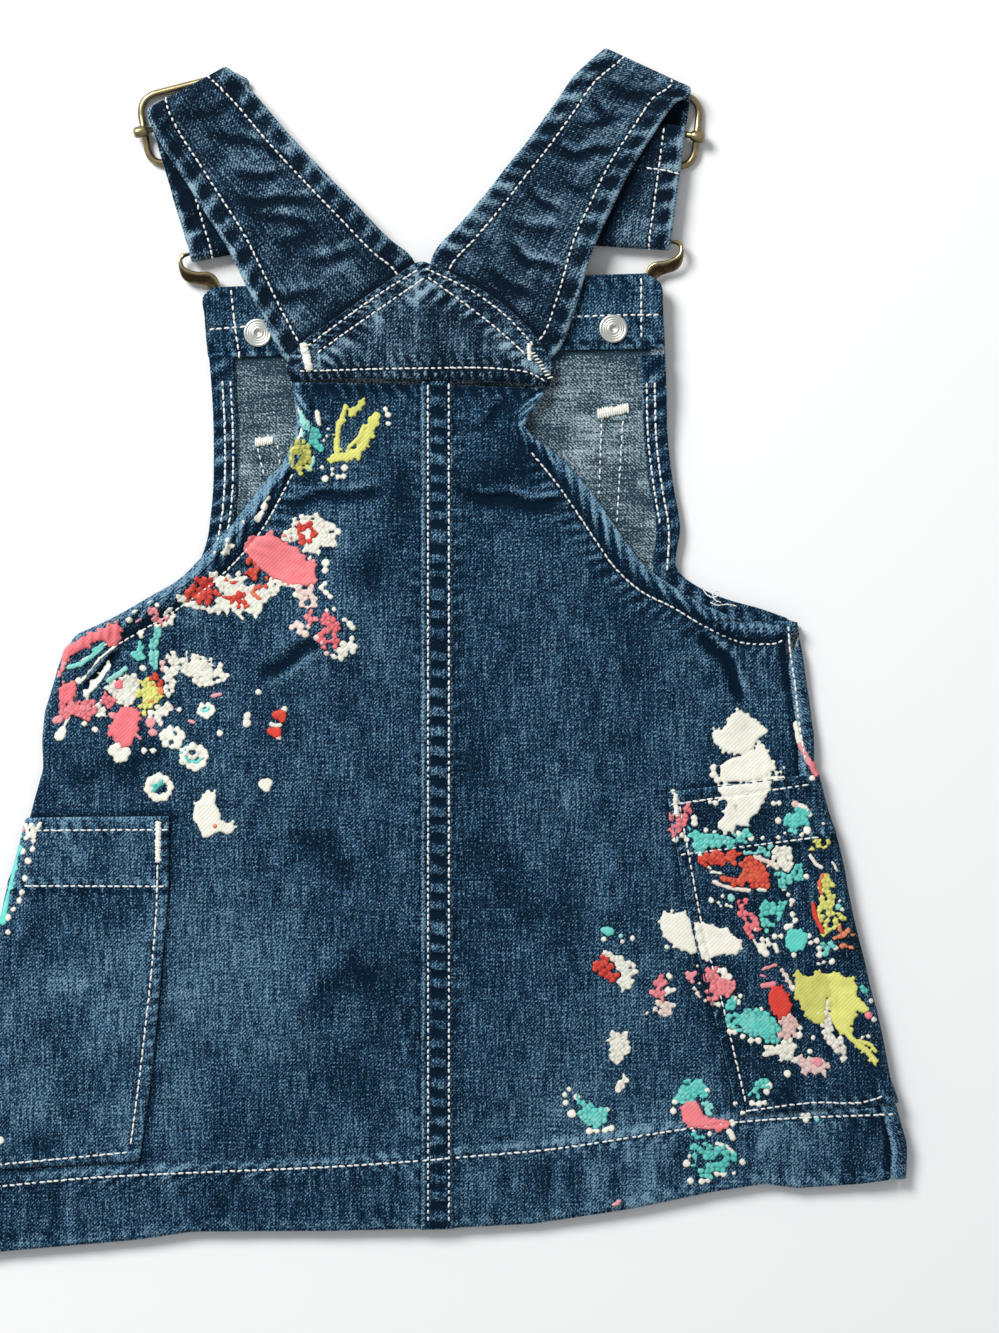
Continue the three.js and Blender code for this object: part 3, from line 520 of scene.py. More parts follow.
HEM_STITCH = [
    (-170, -188.6), (-145, -186), (-112.7, -183), (-67.9, -181), (-27, -179.2), (2.8, -177.1), (53, -172.6),
    (76, -169), (111, -163.8), (170, -160.2),
]
ARMHOLE_STITCH = {
    "left": [(-42.4, 63.4), (-54.6, 42), (-66.9, 28.4), (-83.3, 15.8), (-99.8, 6), (-104, 3.6)],
    "right": [(41, 71), (50, 60), (57, 50), (65, 38), (70, 31), (80, 22), (90, 17), (100, 11), (110, 6),
              (115, 4.3), (122, 3.8), (128, 4.5), (130, 6)],
}
POCKETS = {
    "left": {"way": -1, "outline": LEFT_SIDE, "rows": [
        ((-86.1, -56.7), -57.2), ((-86.3, -70), -71), ((-86.5, -84), -86), ((-88.6, -108), -111),
        ((-91.4, -138), -142), ((-94, -160), -164), ((-96.3, -176.8), -180.6)]},
    "right": {"way": 1, "outline": RIGHT_SIDE, "rows": [
        ((88.9, -48.3), -41.8), ((92.4, -68), -60), ((94.4, -80), -74), ((98.4, -99.5), -94),
        ((104.3, -121.5), -116), ((109, -141), -136), ((113.6, -161), -156.6)]},
}
SEAM_ROWS = (4.9, 12.2)
CREASES = [  # lines where the cloth is pressed down, with depth and half width
    ([(15, 57), (28, 54.5), (42, 53), (54, 55)], 1.5, 3.2),
    ([(97, 9), (104, 4.5), (109, -1), (113.4, -10), (116.4, -19)], 1.6, 2.4),
    ([(-117.6, -13.4), (-110, -5), (-101, 3.4)], 2.0, 1.7), ([(-30, 6), (-44, -2), (-56, -10)], 1.0, 3.0),
    ([(-50, 52), (-28, 56), (-8, 58)], 0.9, 3.0),
    ([(-45, -58), (-30, -70), (-15, -78)], 0.6, 6.0), ([(-42, -128), (-22, -112), (-10, -108)], 0.7, 7.0),
    ([(18, -60), (40, -86), (60, -98)], 0.5, 8.0), ([(-125, -44), (-100, -38), (-84, -30)], 0.6, 5.0),
    ([(20, 76), (29, 86), (38, 92)], 0.6, 2.6), ([(-20, 20), (-6, 44), (-3, 60)], 0.5, 5.0),
]
FADES_AND_SHADES = [  # places rubbed pale, or painted shade where below zero: middle, half sizes, how much
    (-62, -112, 26, 34, 0.34), (70, -60, 34, 40, 0.16), (-30, 0, 30, 26, 0.12), (66, -128, 18, 26, 0.2),
    (-118, -132, 24, 40, 0.22), (44, 14, 26, 30, 0.12), (-30, 72, 12, 10, 0.22), (130, -40, 12, 20, 0.1),
    (-6, -30, 10, 60, 0.05), (-110, -196, 60, 6, 0.12), (40, -190, 60, 6, 0.12),
    (-40, -150, 90, 34, 0.06), (90, -172, 60, 26, 0.24), (-60, -60, 50, 60, 0.08), (22, 60, 9, 5, -0.45),
    (36, 65, 9, 4, -0.4), (-20, 40, 55, 45, 0.08), (0, -186, 140, 18, 0.06), (-40, -40, 50, 40, 0.05),
    (-16, 30, 7, 7, -0.3), (-4, 60, 4, 8, -0.35), (-40, 1, 9, 5, -0.2),
]


def back_relief(x, y):
    """Extra height of the two back halves, and their wear with painted shade in creases, gaps and along raised edges.
    """
    height = 0.34 * soft_noise(x, y, 24, 3) + 0.14 * soft_noise(x, y, 8, 4) + 0.05 * soft_noise(x, y, 2.6, 5)
    wear = 0.12 * soft_noise(x, y * 0.6, 11, 6) + 0.10 * soft_noise(x, y, 3.5, 7)
    creased, rub = pressed(x, y, CREASES)
    height += creased
    wear += rub
    # rubbed pale where above zero, painted shade where below
    for mx, my, wx, wy, much in FADES_AND_SHADES:
        wear += much * np.exp(-(((x - mx) / wx) ** 2) - ((y - my) / wy) ** 2)
    for side, seam in ((-1, SEAM_LEFT), (1, SEAM_RIGHT)):
        pulled, rub = puckers(x, y, [(seam, -215), (seam, 95)], 5.2, 0.35, 3.6, 0.25 * side, 11 + side)
        height += pulled
        # the line along each edge of the fell is darkened as painted shade
        wear += 0.24 * rub - 0.16 * bump(x - seam, 2.0)
    over_hem = y - hem_y(x)
    hem, hem_rub = puckers(x, y, HEM_STITCH, 5.2, 0.55, 3.2, 0.8, 15)
    rope, rope_rub = puckers(x, y, [(p, q + 2.5) for p, q in HEM], 6.4, 0.5, 2.6, 1.0, 17)
    streak = (1 - smooth(20, 24, over_hem)) * soft_noise(x, y * 0.1, 2.6, 18)
    height += hem + rope + 0.1 * streak + groove(x, y, HEM_STITCH)
    above = beside(HEM_STITCH, x, y)[1]
    # the line along the hem's stitches is darkened as painted shade in their groove
    wear += 0.5 * hem_rub + 0.3 * rope_rub + 0.24 * streak + 0.25 * bump(over_hem - 1.2, 2.0) - 0.35 * bump(above, 0.9)
    wear += (0.42 + 0.4 * soft_noise(x, y, 5, 19)) * bump(above - 2.2, 1.5)
    for way, outline in ((-1, ARMHOLE_LEFT), (1, ARMHOLE_RIGHT)):
        line, band = ARMHOLE_STITCH["left" if way < 0 else "right"], shifted(outline, -3.4 * way)
        ends = smooth(96, 106, np.abs(x))
        pulled, rub = puckers(x, y, band, 7.4, 1.0, 3.2, 1.7 * way, 21 + way)
        ribs, rib_rub = puckers(x, y, band, 3.4, 0.8, 2.8, 0.5 * way, 23 + way)
        pulled, rub = lerp(pulled, ribs, ends), lerp(rub, rib_rub, ends)
        inside, inside_rub = puckers(x, y, line, 4.4, 0.45, 3.6, -0.4 * way, 25 + way, -3.2 * way)
        twist, twist_rub = puckers(x, y, shifted(outline, -1.8 * way), 5.2, 0.7, 2.0, 1.9 * way, 27 + way)
        top = smooth(58, 70, y)
        off, near_edge = beside(line, x, y)[1] * way, beside(band, x, y)[1] * way
        height += pulled * (1 - 0.5 * top) + inside + top * twist + groove(x, y, line, 0.6, 0.8)
        height += 0.5 * bump(near_edge, 3.0)
        wear += (0.64 - 0.3 * top) * rub + 0.4 * inside_rub + 0.7 * top * twist_rub
        # the stitch groove and the strip beside it are darkened as painted shade
        wear += 0.4 * groove(x, y, line, 1.0, 1.2) - 0.45 * bump(off - 1.8, 1.2) + 0.4 * bump(near_edge - 1.4, 1.4)
    edge = bump(side_gap(x, y), 1.5) * smooth(-10, 20, y)
    wear += 0.5 * edge + 0.14 * bump(side_gap(x, y), 3.0)
    # a dark line near the right armpit where the front's roll meets the back: painted shade
    wear -= 0.7 * smooth(100, 110, x) * (1 - smooth(3, 9, y)) * bump(side_gap(x, y) - 7.2, 1.3)
    for pocket in POCKETS.values():
        (ax, ay), mouth = pocket["rows"][0]
        edge = [(150 * pocket["way"], mouth), (ax, ay)] + [inner for inner, _ in pocket["rows"][1:]]
        # painted shadow along each pocket's inner edge
        wear -= 0.5 * bump(beside(edge, x, y)[1], 2.0)
    top_hem, top_rub = puckers(x, y, [(-46, 93.6), (46, 91.6)], 5.0, 0.5, 3.0, 0.5, 29)
    height += top_hem - 0.7 * bump(y - 93.4, 2.2)
    # a dark band along the yoke's lower edge: painted shade
    wear += 0.45 * top_rub - 0.5 * bump(y - 93.0, 2.6)
    return height, wear


# %% [markdown]
# ## The two back halves
# Each half is cut from hem to armhole and meets its twin in the middle. The left one carries on
# round the side fold and tucks under; the right one stops where the front's side seam overlaps it.
# A grid follows the cut, with more columns at the seams, where the puckers need them.

# %% Rows and columns of the back
ARMPIT_LEFT, ARMPIT_RIGHT = (-118.3, 6.4), (129.2, 11.4)
SKIRT_ROWS, ARM_ROWS = 178, 117  # rows of points up the skirt, and on from there up the armhole
EDGE_RUN = 5.0  # above the armpits, the width along an edge that the columns of the side fold cover flat
SEAM_TOP, LEFT_TOP, RIGHT_TOP = 95.4, 94.4, 94.0  # where the seam and the halves end, under the yoke


def skirt_y(x, share):
    """Height of a row across the skirt: 0 along the hem, 1 along the armpits."""
    (left, left_y), (right, right_y) = ARMPIT_LEFT, ARMPIT_RIGHT
    return lerp(hem_y(x), lerp(left_y, right_y, (x - left) / (right - left)), share)


def pocket_cover(x, y):
    """How much narrower the skirt is where a patch pocket wraps its side."""
    below = 1 - smooth(POCKET_MOUTH, POCKET_MOUTH + 14, y)
    return (CLOTH + GAP) * below * smooth(8, 20, y - hem_y(x))


def side_x(outline, way, share):
    x = np.full(np.shape(share), outline[4][0], float)
    for _ in range(4):
        x = edge_x(outline, skirt_y(x, share))
    return x - way * pocket_cover(x, skirt_y(x, share))


def rolled(edge, low, high, way, up, angle):
    """Middle of the wall where it rolls round a side, and the way out of it."""
    radius, middle = (high - low) / 2, (high + low) / 2
    out_x, out_z = np.cos(angle) * way, np.sin(angle) * up
    reach = radius - CLOTH / 2
    return edge - way * radius + out_x * reach, middle + out_z * reach, out_x, out_z


ROLL_ANGLES = np.radians(np.linspace(-90, 90, 19)[1:])
TUCK_COLUMNS = 4  # columns of points after the roll, on the part that is tucked under or laid over


def back_half(name, way, outline, armhole, inner_x, columns, top_y):
    """One half of the back, from its seam edge at inner_x out to the side."""
    skirt_share = np.linspace(0, 1, SKIRT_ROWS)
    arm_share = np.linspace(0, 1, ARM_ROWS + 1)[1:]
    arm = along_line(armhole[::-1], arm_share)
    rows = SKIRT_ROWS + ARM_ROWS
    edge = np.concatenate([side_x(outline, way, skirt_share), arm[:, 0]])
    rolls = way < 0
    tall = stack(edge - way * FOLD_WIDTH, skirt_y(edge, np.minimum(np.arange(rows) / (SKIRT_ROWS - 1), 1)))
    below = SKIRT_ROWS - 1 - np.arange(rows)
    on_skirt = tall / 2 if rolls else FOLD_WIDTH * smooth(0, 7, below)
    inset = np.where(below >= 0, on_skirt, EDGE_RUN if rolls else 0.0)
    flat_end = edge - way * inset
    x = inner_x + (flat_end - inner_x)[:, None] * columns[None, :]
    y = np.empty_like(x)
    y[:SKIRT_ROWS] = skirt_y(x[:SKIRT_ROWS], skirt_share[:, None])
    start = lerp(skirt_y(inner_x, 1.0), top_y, arm_share)[:, None]
    out_x, out_edge = x[SKIRT_ROWS:], edge[SKIRT_ROWS:, None]
    y[SKIRT_ROWS:] = start + (arm[:, 1:] - start) * ((out_x - inner_x) / (out_edge - inner_x))
    relief, wear = back_relief(x, y)
    relief, wear = np.maximum(relief, -1.1), rubbed_and_shaded(relief, wear)
    top = back_top(x, y)
    outer = np.stack([x, y, top + relief], -1)
    wall = np.where(np.arange(rows)[:, None] < SKIRT_ROWS, hem_wall(x, y), CLOTH)
    lower = np.stack([x, y, top - wall + np.clip(relief, -1.1, 0.5)], -1)
    place = np.stack([x, y], -1)
    sheet = (outer, lower, wear, place)
    if rolls:
        sheet = roll_round(sheet, edge, tall, way, -1, SKIRT_ROWS, FOLD_WIDTH, back_relief)
    return cloth_wall(name, *sheet, materials=[DENIM, WRONG_SIDE])


def unrolled(start, x, z, way):
    """Place across the cloth where it goes on round a side: the length along its wall."""
    steps = np.hypot(np.diff(x, axis=1, prepend=start), np.diff(z, axis=1, prepend=z[:, :1]))
    return start + way * np.cumsum(steps, 1)


def roll_round(sheet, edge, tall, way, up, side_rows, tuck_to, relief):
    """Carry a piece on round a side fold: under it with up=-1, or up over it with up=1."""
    outer, inner, wear, place = sheet
    rows, extra = len(edge), len(ROLL_ANGLES) + TUCK_COLUMNS
    share = (np.arange(extra) + 1)[None, :] / extra
    y = np.repeat(outer[:, -1:, 1], extra, 1)
    base = underside(edge - way * 3, y[:, 0])[:, None]
    x, z, ox, oz = rolled(edge[:, None], base, base + tall[:, None], way, up, ROLL_ANGLES[None, :])
    tuck = np.linspace(0.3, 1, TUCK_COLUMNS)[None, :] * (tuck_to - tall[:, None] / 2)
    x = np.concatenate([x, x[:, -1:] - way * tuck], 1)
    z = np.concatenate([z, np.repeat(z[:, -1:], TUCK_COLUMNS, 1)], 1)
    ox = np.concatenate([np.broadcast_to(ox, (rows, len(ROLL_ANGLES))), np.zeros((rows, TUCK_COLUMNS))], 1)
    oz = np.concatenate([np.broadcast_to(oz, (rows, len(ROLL_ANGLES))), np.full((rows, TUCK_COLUMNS), float(up))], 1)
    flat_x = lerp(outer[:, -1:, 0], edge[:, None], share)
    flat_z = np.repeat((outer[:, -1:, 2] + inner[:, -1:, 2]) / 2, extra, 1)
    turn = smooth(0, 9, side_rows - 1 - np.arange(rows))[:, None]
    x, z = lerp(flat_x, x, turn), lerp(flat_z, z, turn)
    ox, oz = ox * turn, lerp(-float(up), oz, turn)
    norm = np.hypot(ox, oz) + 1e-6
    out = np.stack([ox / norm, np.zeros_like(x), oz / norm], -1)
    middle = np.stack([x, y, z], -1)
    height, rub = relief(flat_x, y)
    push = 0.5 * CLOTH + np.clip(height, -0.3, 0.8) * (1 - share**2)
    outer = np.concatenate([outer, middle + out * push[..., None]], 1)
    inner = np.concatenate([inner, middle - out * CLOTH / 2], 1)
    far = unrolled(place[:, -1:, 0], x, z, way)
    place = np.concatenate([place, np.stack([far, y], -1)], 1)
    rub = rub + 0.2 * bump(share - 0.42, 0.3) + 0.35 * (1 + up) * bump(share - 0.95, 0.07)
    return outer, inner, np.concatenate([wear, rub], 1), place


# %% Cut and lay the back halves
back_left = back_half("back_left", -1, LEFT_SIDE, ARMHOLE_LEFT, SEAM_LEFT - 0.3, packed(88, 1.5), LEFT_TOP)
back_right = back_half("back_right", 1, RIGHT_SIDE, ARMHOLE_RIGHT, SEAM_RIGHT + 0.3, packed(96, 1.5), RIGHT_TOP)
wear_it(back_left, "back_panel_left", slot="denim")
wear_it(back_right, "back_panel_right", slot="denim")

# %% [markdown]
# ## The felled seam down the back
# The halves are lapped and sewn with two rows of stitches. Between the rows the four layers ride up
# into rungs like a ladder's, rubbed pale on top and dark in between, partly as painted shade; outside
# them the folded edges are ropey. It is its own narrow piece, so that its grid can be fine enough for the rungs.

# %% Seam relief and piece
def seam_relief(x, y):
    left, right = SEAM_ROWS
    uneven = y + 1.3 * soft_noise(y, x * 0.1, 9, 31) + 0.12 * (x - 8) + 0.8 * soft_noise(y, 0.0, 31, 32)
    wave = 0.5 + 0.5 * np.cos(2 * np.pi * uneven / 6.8)
    wave = smooth(0.15, 0.8, wave + 0.16 * soft_noise(x, y, 2.2, 35))
    strong = 0.85 + 0.3 * soft_noise(y, 0.0, 22, 33)
    between = smooth(left + 0.5, left + 1.5, x) * (1 - smooth(right - 1.7, right - 0.6, x))
    left_rope = bump(x - 3.1, 0.65) * (0.65 + 0.35 * np.cos(2 * np.pi * (y + x) / 1.9))
    right_rope = bump(x - 13.4, 0.6) * (0.5 + 0.5 * np.cos(2 * np.pi * (y - x) / 2.1))
    rows = bump(x - left, 0.55) + bump(x - right, 0.55)
    height = 0.75 * smooth(0, 1.0, x - SEAM_LEFT) * smooth(0, 1.0, SEAM_RIGHT - x)
    height += 0.8 * strong * wave * between + 0.3 * left_rope + 0.25 * right_rope - 0.35 * rows
    # rungs rubbed pale on top; the hollows between them and the stitch rows are darkened, partly as unfaded dye and
    # partly as painted shade
    wear = between * strong * (1.25 * wave - 1.0 + 0.25 * bump(wave - 0.75, 0.2))
    wear += 0.9 * left_rope + 0.5 * right_rope - 0.35 * rows + 0.2 * soft_noise(x, y, 1.6, 34)
    return height, wear


def make_back_seam(rows=430, columns=30):
    share = np.linspace(0, 1, rows)[:, None]
    x = np.repeat(np.linspace(SEAM_LEFT, SEAM_RIGHT, columns)[None, :], rows, 0)
    y = lerp(hem_y(x) - 0.2, SEAM_TOP, share)
    relief, wear = seam_relief(x, y)
    soft, _ = back_relief(x * 0 + SEAM_LEFT - 6, y)
    hem_puff = np.clip(soft, -0.3, 0.3) * 0.5
    top = back_top(x, y) + hem_puff
    outer = np.stack([x, y, top + relief], -1)
    inner = np.stack([x, y, top - hem_wall(x, y)], -1)
    return cloth_wall("back_seam_fell", outer, inner, wear, np.stack([x, y], -1), 0.5, [DENIM, WRONG_SIDE])


wear_it(make_back_seam(), "back_seam", slot="denim")

# %% [markdown]
# ## The front
# The front lies face down, so its wrong side shows between the armholes, and its right side is what
# the floor sees. It is cut whole from bib to hem. At the right side it rolls up round the fold to
# meet the back, and that narrow edge shows from above.

# %% Front relief and piece
def front_relief(x, y):
    """The wrong side of the bib: soft dents, ridges where the pocket's stitches pull, and painted shade along those
    rows and under the facing's lower edge.
    """
    height = 0.3 * soft_noise(x, y, 20, 41) + 0.12 * soft_noise(x, y, 7, 42)
    wear = 0.3 * soft_noise(x, y, 15, 43) + 0.2 * soft_noise(x, y, 4, 44) + 0.2 * soft_noise(x * 0.12, y, 1.7, 40)
    for line in BIB_POCKET_ROWS:
        pulled, rub = puckers(x, y, line, 3.4, 0.35, 2.2, 0.2, 45)
        height += pulled + groove(x, y, line, 0.3, 0.7)
        # darker along each pocket row: painted shade in its groove
        wear += 0.3 * rub - 0.2 * bump(beside(line, x, y)[1], 1.4)
    under_facing = smooth(92, 104, y)
    height -= 0.3 * under_facing
    # darker under the facing and just below its lower edge: painted shade
    wear -= 0.3 * under_facing + 0.5 * smooth(101, 104.5, y - 0.02 * (x + 72))
    return height, wear


NEST = 0.7  # how far the front stays inside the back's turned edges
BIB_POCKET_ROWS = [
    [(-55, 73), (-52.2, 61.3)], [(-48, 74), (-46.4, 62)], [(65.8, 84), (64.8, 55)], [(73.2, 82.3), (71.1, 46.6)],
]


def fold_relief(x, y):
    """The right side of the front where it rolls up at the side seam."""
    height = 0.15 * soft_noise(x, y, 9, 46)
    pulled, rub = puckers(x, y, [(134, 12), (139.7, -25), (150.5, -73), (167, -148), (172, -184)], 3.9, 0.3, 5, 0.3, 47)
    return height + pulled, 0.12 * soft_noise(x, y, 5, 48) + 0.35 * rub + 0.1


def make_front():
    skirt_rows, bib_rows, columns = 104, 92, packed(100, 1.2)
    share = np.linspace(0, 1, skirt_rows)
    left = side_x(LEFT_SIDE, -1, share) + FOLD_WIDTH + NEST
    right = side_x(RIGHT_SIDE, 1, share)
    bib_left = along_line([(-111.4, 7.8)] + FRONT_LEFT[-3::-1], np.linspace(0, 1, bib_rows))
    bib_right = along_line(FRONT_RIGHT[::-1], np.linspace(0, 1, bib_rows))
    edge = np.concatenate([right, bib_right[:, 0]])
    start = np.concatenate([left, bib_left[:, 0]])
    rows = skirt_rows + bib_rows
    tall = stack(edge - FOLD_WIDTH, skirt_y(edge, np.minimum(np.arange(rows) / (skirt_rows - 1), 1)))
    inset = np.where(np.arange(rows) < skirt_rows, tall / 2, EDGE_RUN)
    x = start[:, None] + (edge - inset - start)[:, None] * columns[None, :]
    y = np.empty_like(x)
    y[:skirt_rows] = skirt_y(x[:skirt_rows], share[:, None])
    t = (x[skirt_rows:] - start[skirt_rows:, None]) / (edge - start)[skirt_rows:, None]
    y[skirt_rows:] = lerp(bib_left[:, 1:], bib_right[:, 1:], t)
    relief, wear = front_relief(x, y)
    low = underside(x, y)
    wall = np.where(np.arange(rows)[:, None] < skirt_rows, hem_wall(x, y), CLOTH)
    outer = np.stack([x, y, low + 0.12 * (1 + soft_noise(x, y, 9, 49)) * smooth(0.2, 1.2, low)], -1)
    inner = np.stack([x, y, low + wall + np.clip(relief, -0.4, 0.6)], -1)
    sheet = (outer, inner, wear, np.stack([x, y], -1))
    sheet = roll_round(sheet, edge, tall, 1, 1, skirt_rows, FOLD_WIDTH - NEST, fold_relief)
    return cloth_wall("front_whole", *sheet, 0.5, [DENIM, WRONG_SIDE])


wear_it(make_front(), "front_panel", slot="denim_wrong_side")

# %% [markdown]
# ## Yoke, facing and narrow hems
# Small pieces that lie on others are all strips between a left and a right outline. The yoke is
# double cloth turned in at its edges, so its slopes are thick and ropey, and its shadow on the straps
# that it holds is painted into their colour. The facing backs the top of the bib; the hems turn in its sides.

# %% Strips between two outlines
def strip_grid(left, right, rows, columns):
    share = np.linspace(0, 1, rows)
    a, b = along_line(left, share)[:, None, :], along_line(right, share)[:, None, :]
    grid = lerp(a, b, columns[None, :, None])
    return grid[..., 0], grid[..., 1]


YOKE_LEFT = [(-42.6, 95.4), (-44.4, 100.8), (-39.8, 107.8), (-26.5, 118.2), (-12.5, 128), (0.6, 136.9)]
YOKE_RIGHT = [(46.8, 93.8), (48.6, 98.6), (43.8, 109.2), (34.4, 119.6), (20.4, 129.4), (3.8, 137.3)]
YOKE_ROWS = {
    "outer_left": [(1.6, 134.6), (-12.6, 125.6), (-26.4, 115.8), (-38.2, 107)],
    "inner_left": [(3.9, 131.8), (-10, 122.2), (-23, 113.2), (-34.4, 105)],
    "outer_right": [(3.6, 135.2), (20.4, 127), (32.8, 117.8), (42, 108)],
    "inner_right": [(4.8, 132), (17.6, 122.8), (29.4, 113.6), (39.8, 104.2)],
    "lower": [(-40.3, 99.1), (1.8, 100.1), (31.5, 99.8), (39.9, 98.7), (47.3, 94.9)],
}
YOKE_EDGE = [(3, 137), (-13, 127.4), (-26.8, 117.6), (-41, 106)], [(3, 137), (20.6, 129), (34.6, 119), (45, 107)]


def yoke_relief(x, y):
    height = 0.3 * soft_noise(x, y, 14, 51) + 0.1 * soft_noise(x, y, 5, 52)
    wear = 0.3 * soft_noise(x, y * 0.5, 8, 53) + 0.2 * soft_noise(x, y, 3, 54)
    for crease in (-13, 0.7, 25):
        line = bump(x - crease - 0.02 * (y - 110), 0.8) * smooth(101, 108, y)
        height += 0.15 * line
        wear += 0.35 * line
    for side, edge in zip((1, -1), YOKE_EDGE):
        rope, rub = puckers(x, y, edge, 3.1, 0.7, 1.9, 0.9 * side, 55 + side, 1.9 * side)
        inner, inner_rub = puckers(x, y, edge, 4.6, 0.55, 3.0, 0.4 * side, 58 + side, 8.4 * side)
        height += rope + inner
        wear += 0.95 * rub + 0.5 * inner_rub
        wear += (0.26 + 0.35 * soft_noise(x, y, 4, 65)) * bump(beside(edge, x, y)[1] - 8 * side, 3.5)
    wear += 0.3 * bump(y - 107, 3.5) * (0.6 + 0.8 * soft_noise(x, y, 6, 66)) - 0.03
    low, low_rub = puckers(x, y, YOKE_ROWS["lower"], 3.3, 0.5, 1.5, 0.5, 61, -1.8)
    high, high_rub = puckers(x, y, YOKE_ROWS["lower"], 4.2, 0.35, 2.4, 0.5, 63, 2.8)
    height += low + high
    wear += 0.9 * low_rub + 0.5 * high_rub
    for row in YOKE_ROWS.values():
        height += groove(x, y, row, 0.32, 0.6)
        wear += groove(x, y, row, 0.22, 0.8)
    return height, wear


def yoke_top(x, y):
    return lerp(8.6, 9.9, smooth(93, 101, y))


def make_yoke(rows=66, columns=110):
    x, y = strip_grid(YOKE_LEFT, YOKE_RIGHT, rows, packed(columns, 1.2))
    sag = np.linspace(0, 1, columns)[None, :]
    y = y + 2.0 * (4 * sag * (1 - sag)) * (1 - smooth(0, 0.2, np.linspace(0, 1, rows)))[:, None]
    relief, wear = yoke_relief(x, y)
    wear = rubbed_and_shaded(relief, wear)
    top = yoke_top(x, y)
    outer = np.stack([x, y, top + relief], -1)
    inner = np.stack([x, y, top - 1.0 + np.clip(relief, -0.3, 0.3)], -1)
    return cloth_wall("yoke", outer, inner, wear, np.stack([x, y], -1), 0.7, [STRAP_DENIM, WRONG_SIDE])


wear_it(make_yoke(), "back_yoke", slot="denim")

# %% Facing across the bib
FACING_ROWS = {
    "left": [(-72.1, 113.8), (-60, 114.8), (-50, 115.5), (0, 117)],
    "right": [(0, 117), (55.7, 118.3), (70, 118.8), (86.5, 119)],
    "left_side": [(-64, 128), (-62.6, 115), (-61, 104)],
    "right_side": [(79.5, 132), (79.5, 118), (79.6, 109)],
}


def facing_relief(x, y):
    height = 0.25 * soft_noise(x, y, 10, 71) + 0.08 * soft_noise(x, y, 4, 72)
    wear = 0.15 + 0.2 * soft_noise(x, y * 2, 9, 73) + 0.12 * soft_noise(x, y, 3, 74)
    lower, upper = [(-72, 104.6), (87, 107.8)], [(-70, 128), (82, 132.6)]
    for line, shift, seed in ((lower, 2.0, 75), (upper, -1.6, 77)):
        rope, rub = puckers(x, y, line, 5.2, 0.4, 2.2, 0.6, seed, shift)
        height += rope
        wear += 0.3 * rub
    off = beside(lower, x, y)[1]
    wear += (0.35 + 0.6 * soft_noise(x, y, 3, 70)) * bump(off, 1.0) - 0.3 * bump(off - 1.8, 1.2)
    for row in FACING_ROWS.values():
        rope, rub = puckers(x, y, row, 4.4, 0.3, 2.2, 0.3, 79)
        height += rope + groove(x, y, row, 0.3, 0.6)
        wear += 0.3 * rub
    return height, wear


def bib_strip(name, left, right, rows, columns, relief_of, rim):
    x, y = strip_grid(left, right, rows, columns)
    relief, wear = relief_of(x, y)
    wear = rubbed_and_shaded(relief, wear)
    low = bib_top(x, y) + GAP
    outer = np.stack([x, y, low + CLOTH + relief], -1)
    inner = np.stack([x, y, low + np.clip(relief, -0.2, 0.4)], -1)
    return cloth_wall(name, outer, inner, wear, np.stack([x, y], -1), rim, [DENIM, WRONG_SIDE])


facing = bib_strip(
    "facing", [(-71.8, 104.4), (-72.4, 110), (-73, 118), (-73.2, 126), (-69.6, 128.6)],
    [(87.2, 107.6), (87, 113), (86.8, 122), (85.8, 130.2), (81, 133.4)], 36, packed(128, 1.1), facing_relief, 0.15)
wear_it(facing, "bib_facing", slot="denim")


# %% Narrow hems down the sides of the bib
def hem_lines(outline, way, width):
    """The outer and inner edge of a side hem, below the facing."""
    first = next(i for i, (_, y) in enumerate(outline) if y < 100)
    edge = [(float(edge_x(outline, 105.0)), 105.0)] + outline[first:]
    inside = []
    for i, (x, y) in enumerate(edge):
        (ax, ay), (bx, by) = edge[max(0, i - 1)], edge[min(len(edge) - 1, i + 1)]
        long = math.hypot(bx - ax, by - ay)
        inside.append((x - way * width * (ay - by) / long, y - way * width * (bx - ax) / long))
    return edge, inside


def hem_relief(outline, way):
    edge, inside = hem_lines(outline, way, 8)
    row = hem_lines(outline, way, 6.6)[1]

    def relief(x, y):
        rope, rub = puckers(x, y, edge, 6.5, 0.5, 4.0, 0.5, 81 + way, -3.5 * way)
        height = 0.12 * soft_noise(x, y, 4, 83) + rope + groove(x, y, row, 0.35, 0.6)
        wear = 0.15 * soft_noise(x, y, 4, 84) + 0.55 * rub - 0.05
        return height, wear
    return edge, inside, relief


for side, outline, way in (("left", FRONT_LEFT, -1), ("right", FRONT_RIGHT, 1)):
    edge, inside, relief = hem_relief(outline, way)
    piece = bib_strip("side_hem_" + side, edge, inside, 130, packed(12, 1.0), relief, 0.6)
    wear_it(piece, "edge_hem_" + side, slot="denim")

# %% The bib's patch pocket, under the bib
def make_bib_pocket():
    x, y = strip_grid([(-50, 18), (-53, 38), (-55, 58), (-56, 77)], [(69, 26), (71, 46), (73, 66), (74.5, 87)],
                      46, packed(84, 1.1))
    puff = 0.12 * (1 + soft_noise(x, y, 12, 91))
    low = np.maximum(0, underside(x, y) - GAP - CLOTH)
    outer = np.stack([x, y, low + puff * smooth(0.2, 1, low)], -1)
    inner = np.stack([x, y, low + CLOTH], -1)
    wear = 0.2 * soft_noise(x, y, 9, 92)
    return cloth_wall("bib_patch_pocket", outer, inner, wear, np.stack([x, y], -1), 0.5, [DENIM, WRONG_SIDE])


wear_it(make_bib_pocket(), "bib_pocket", slot="denim")

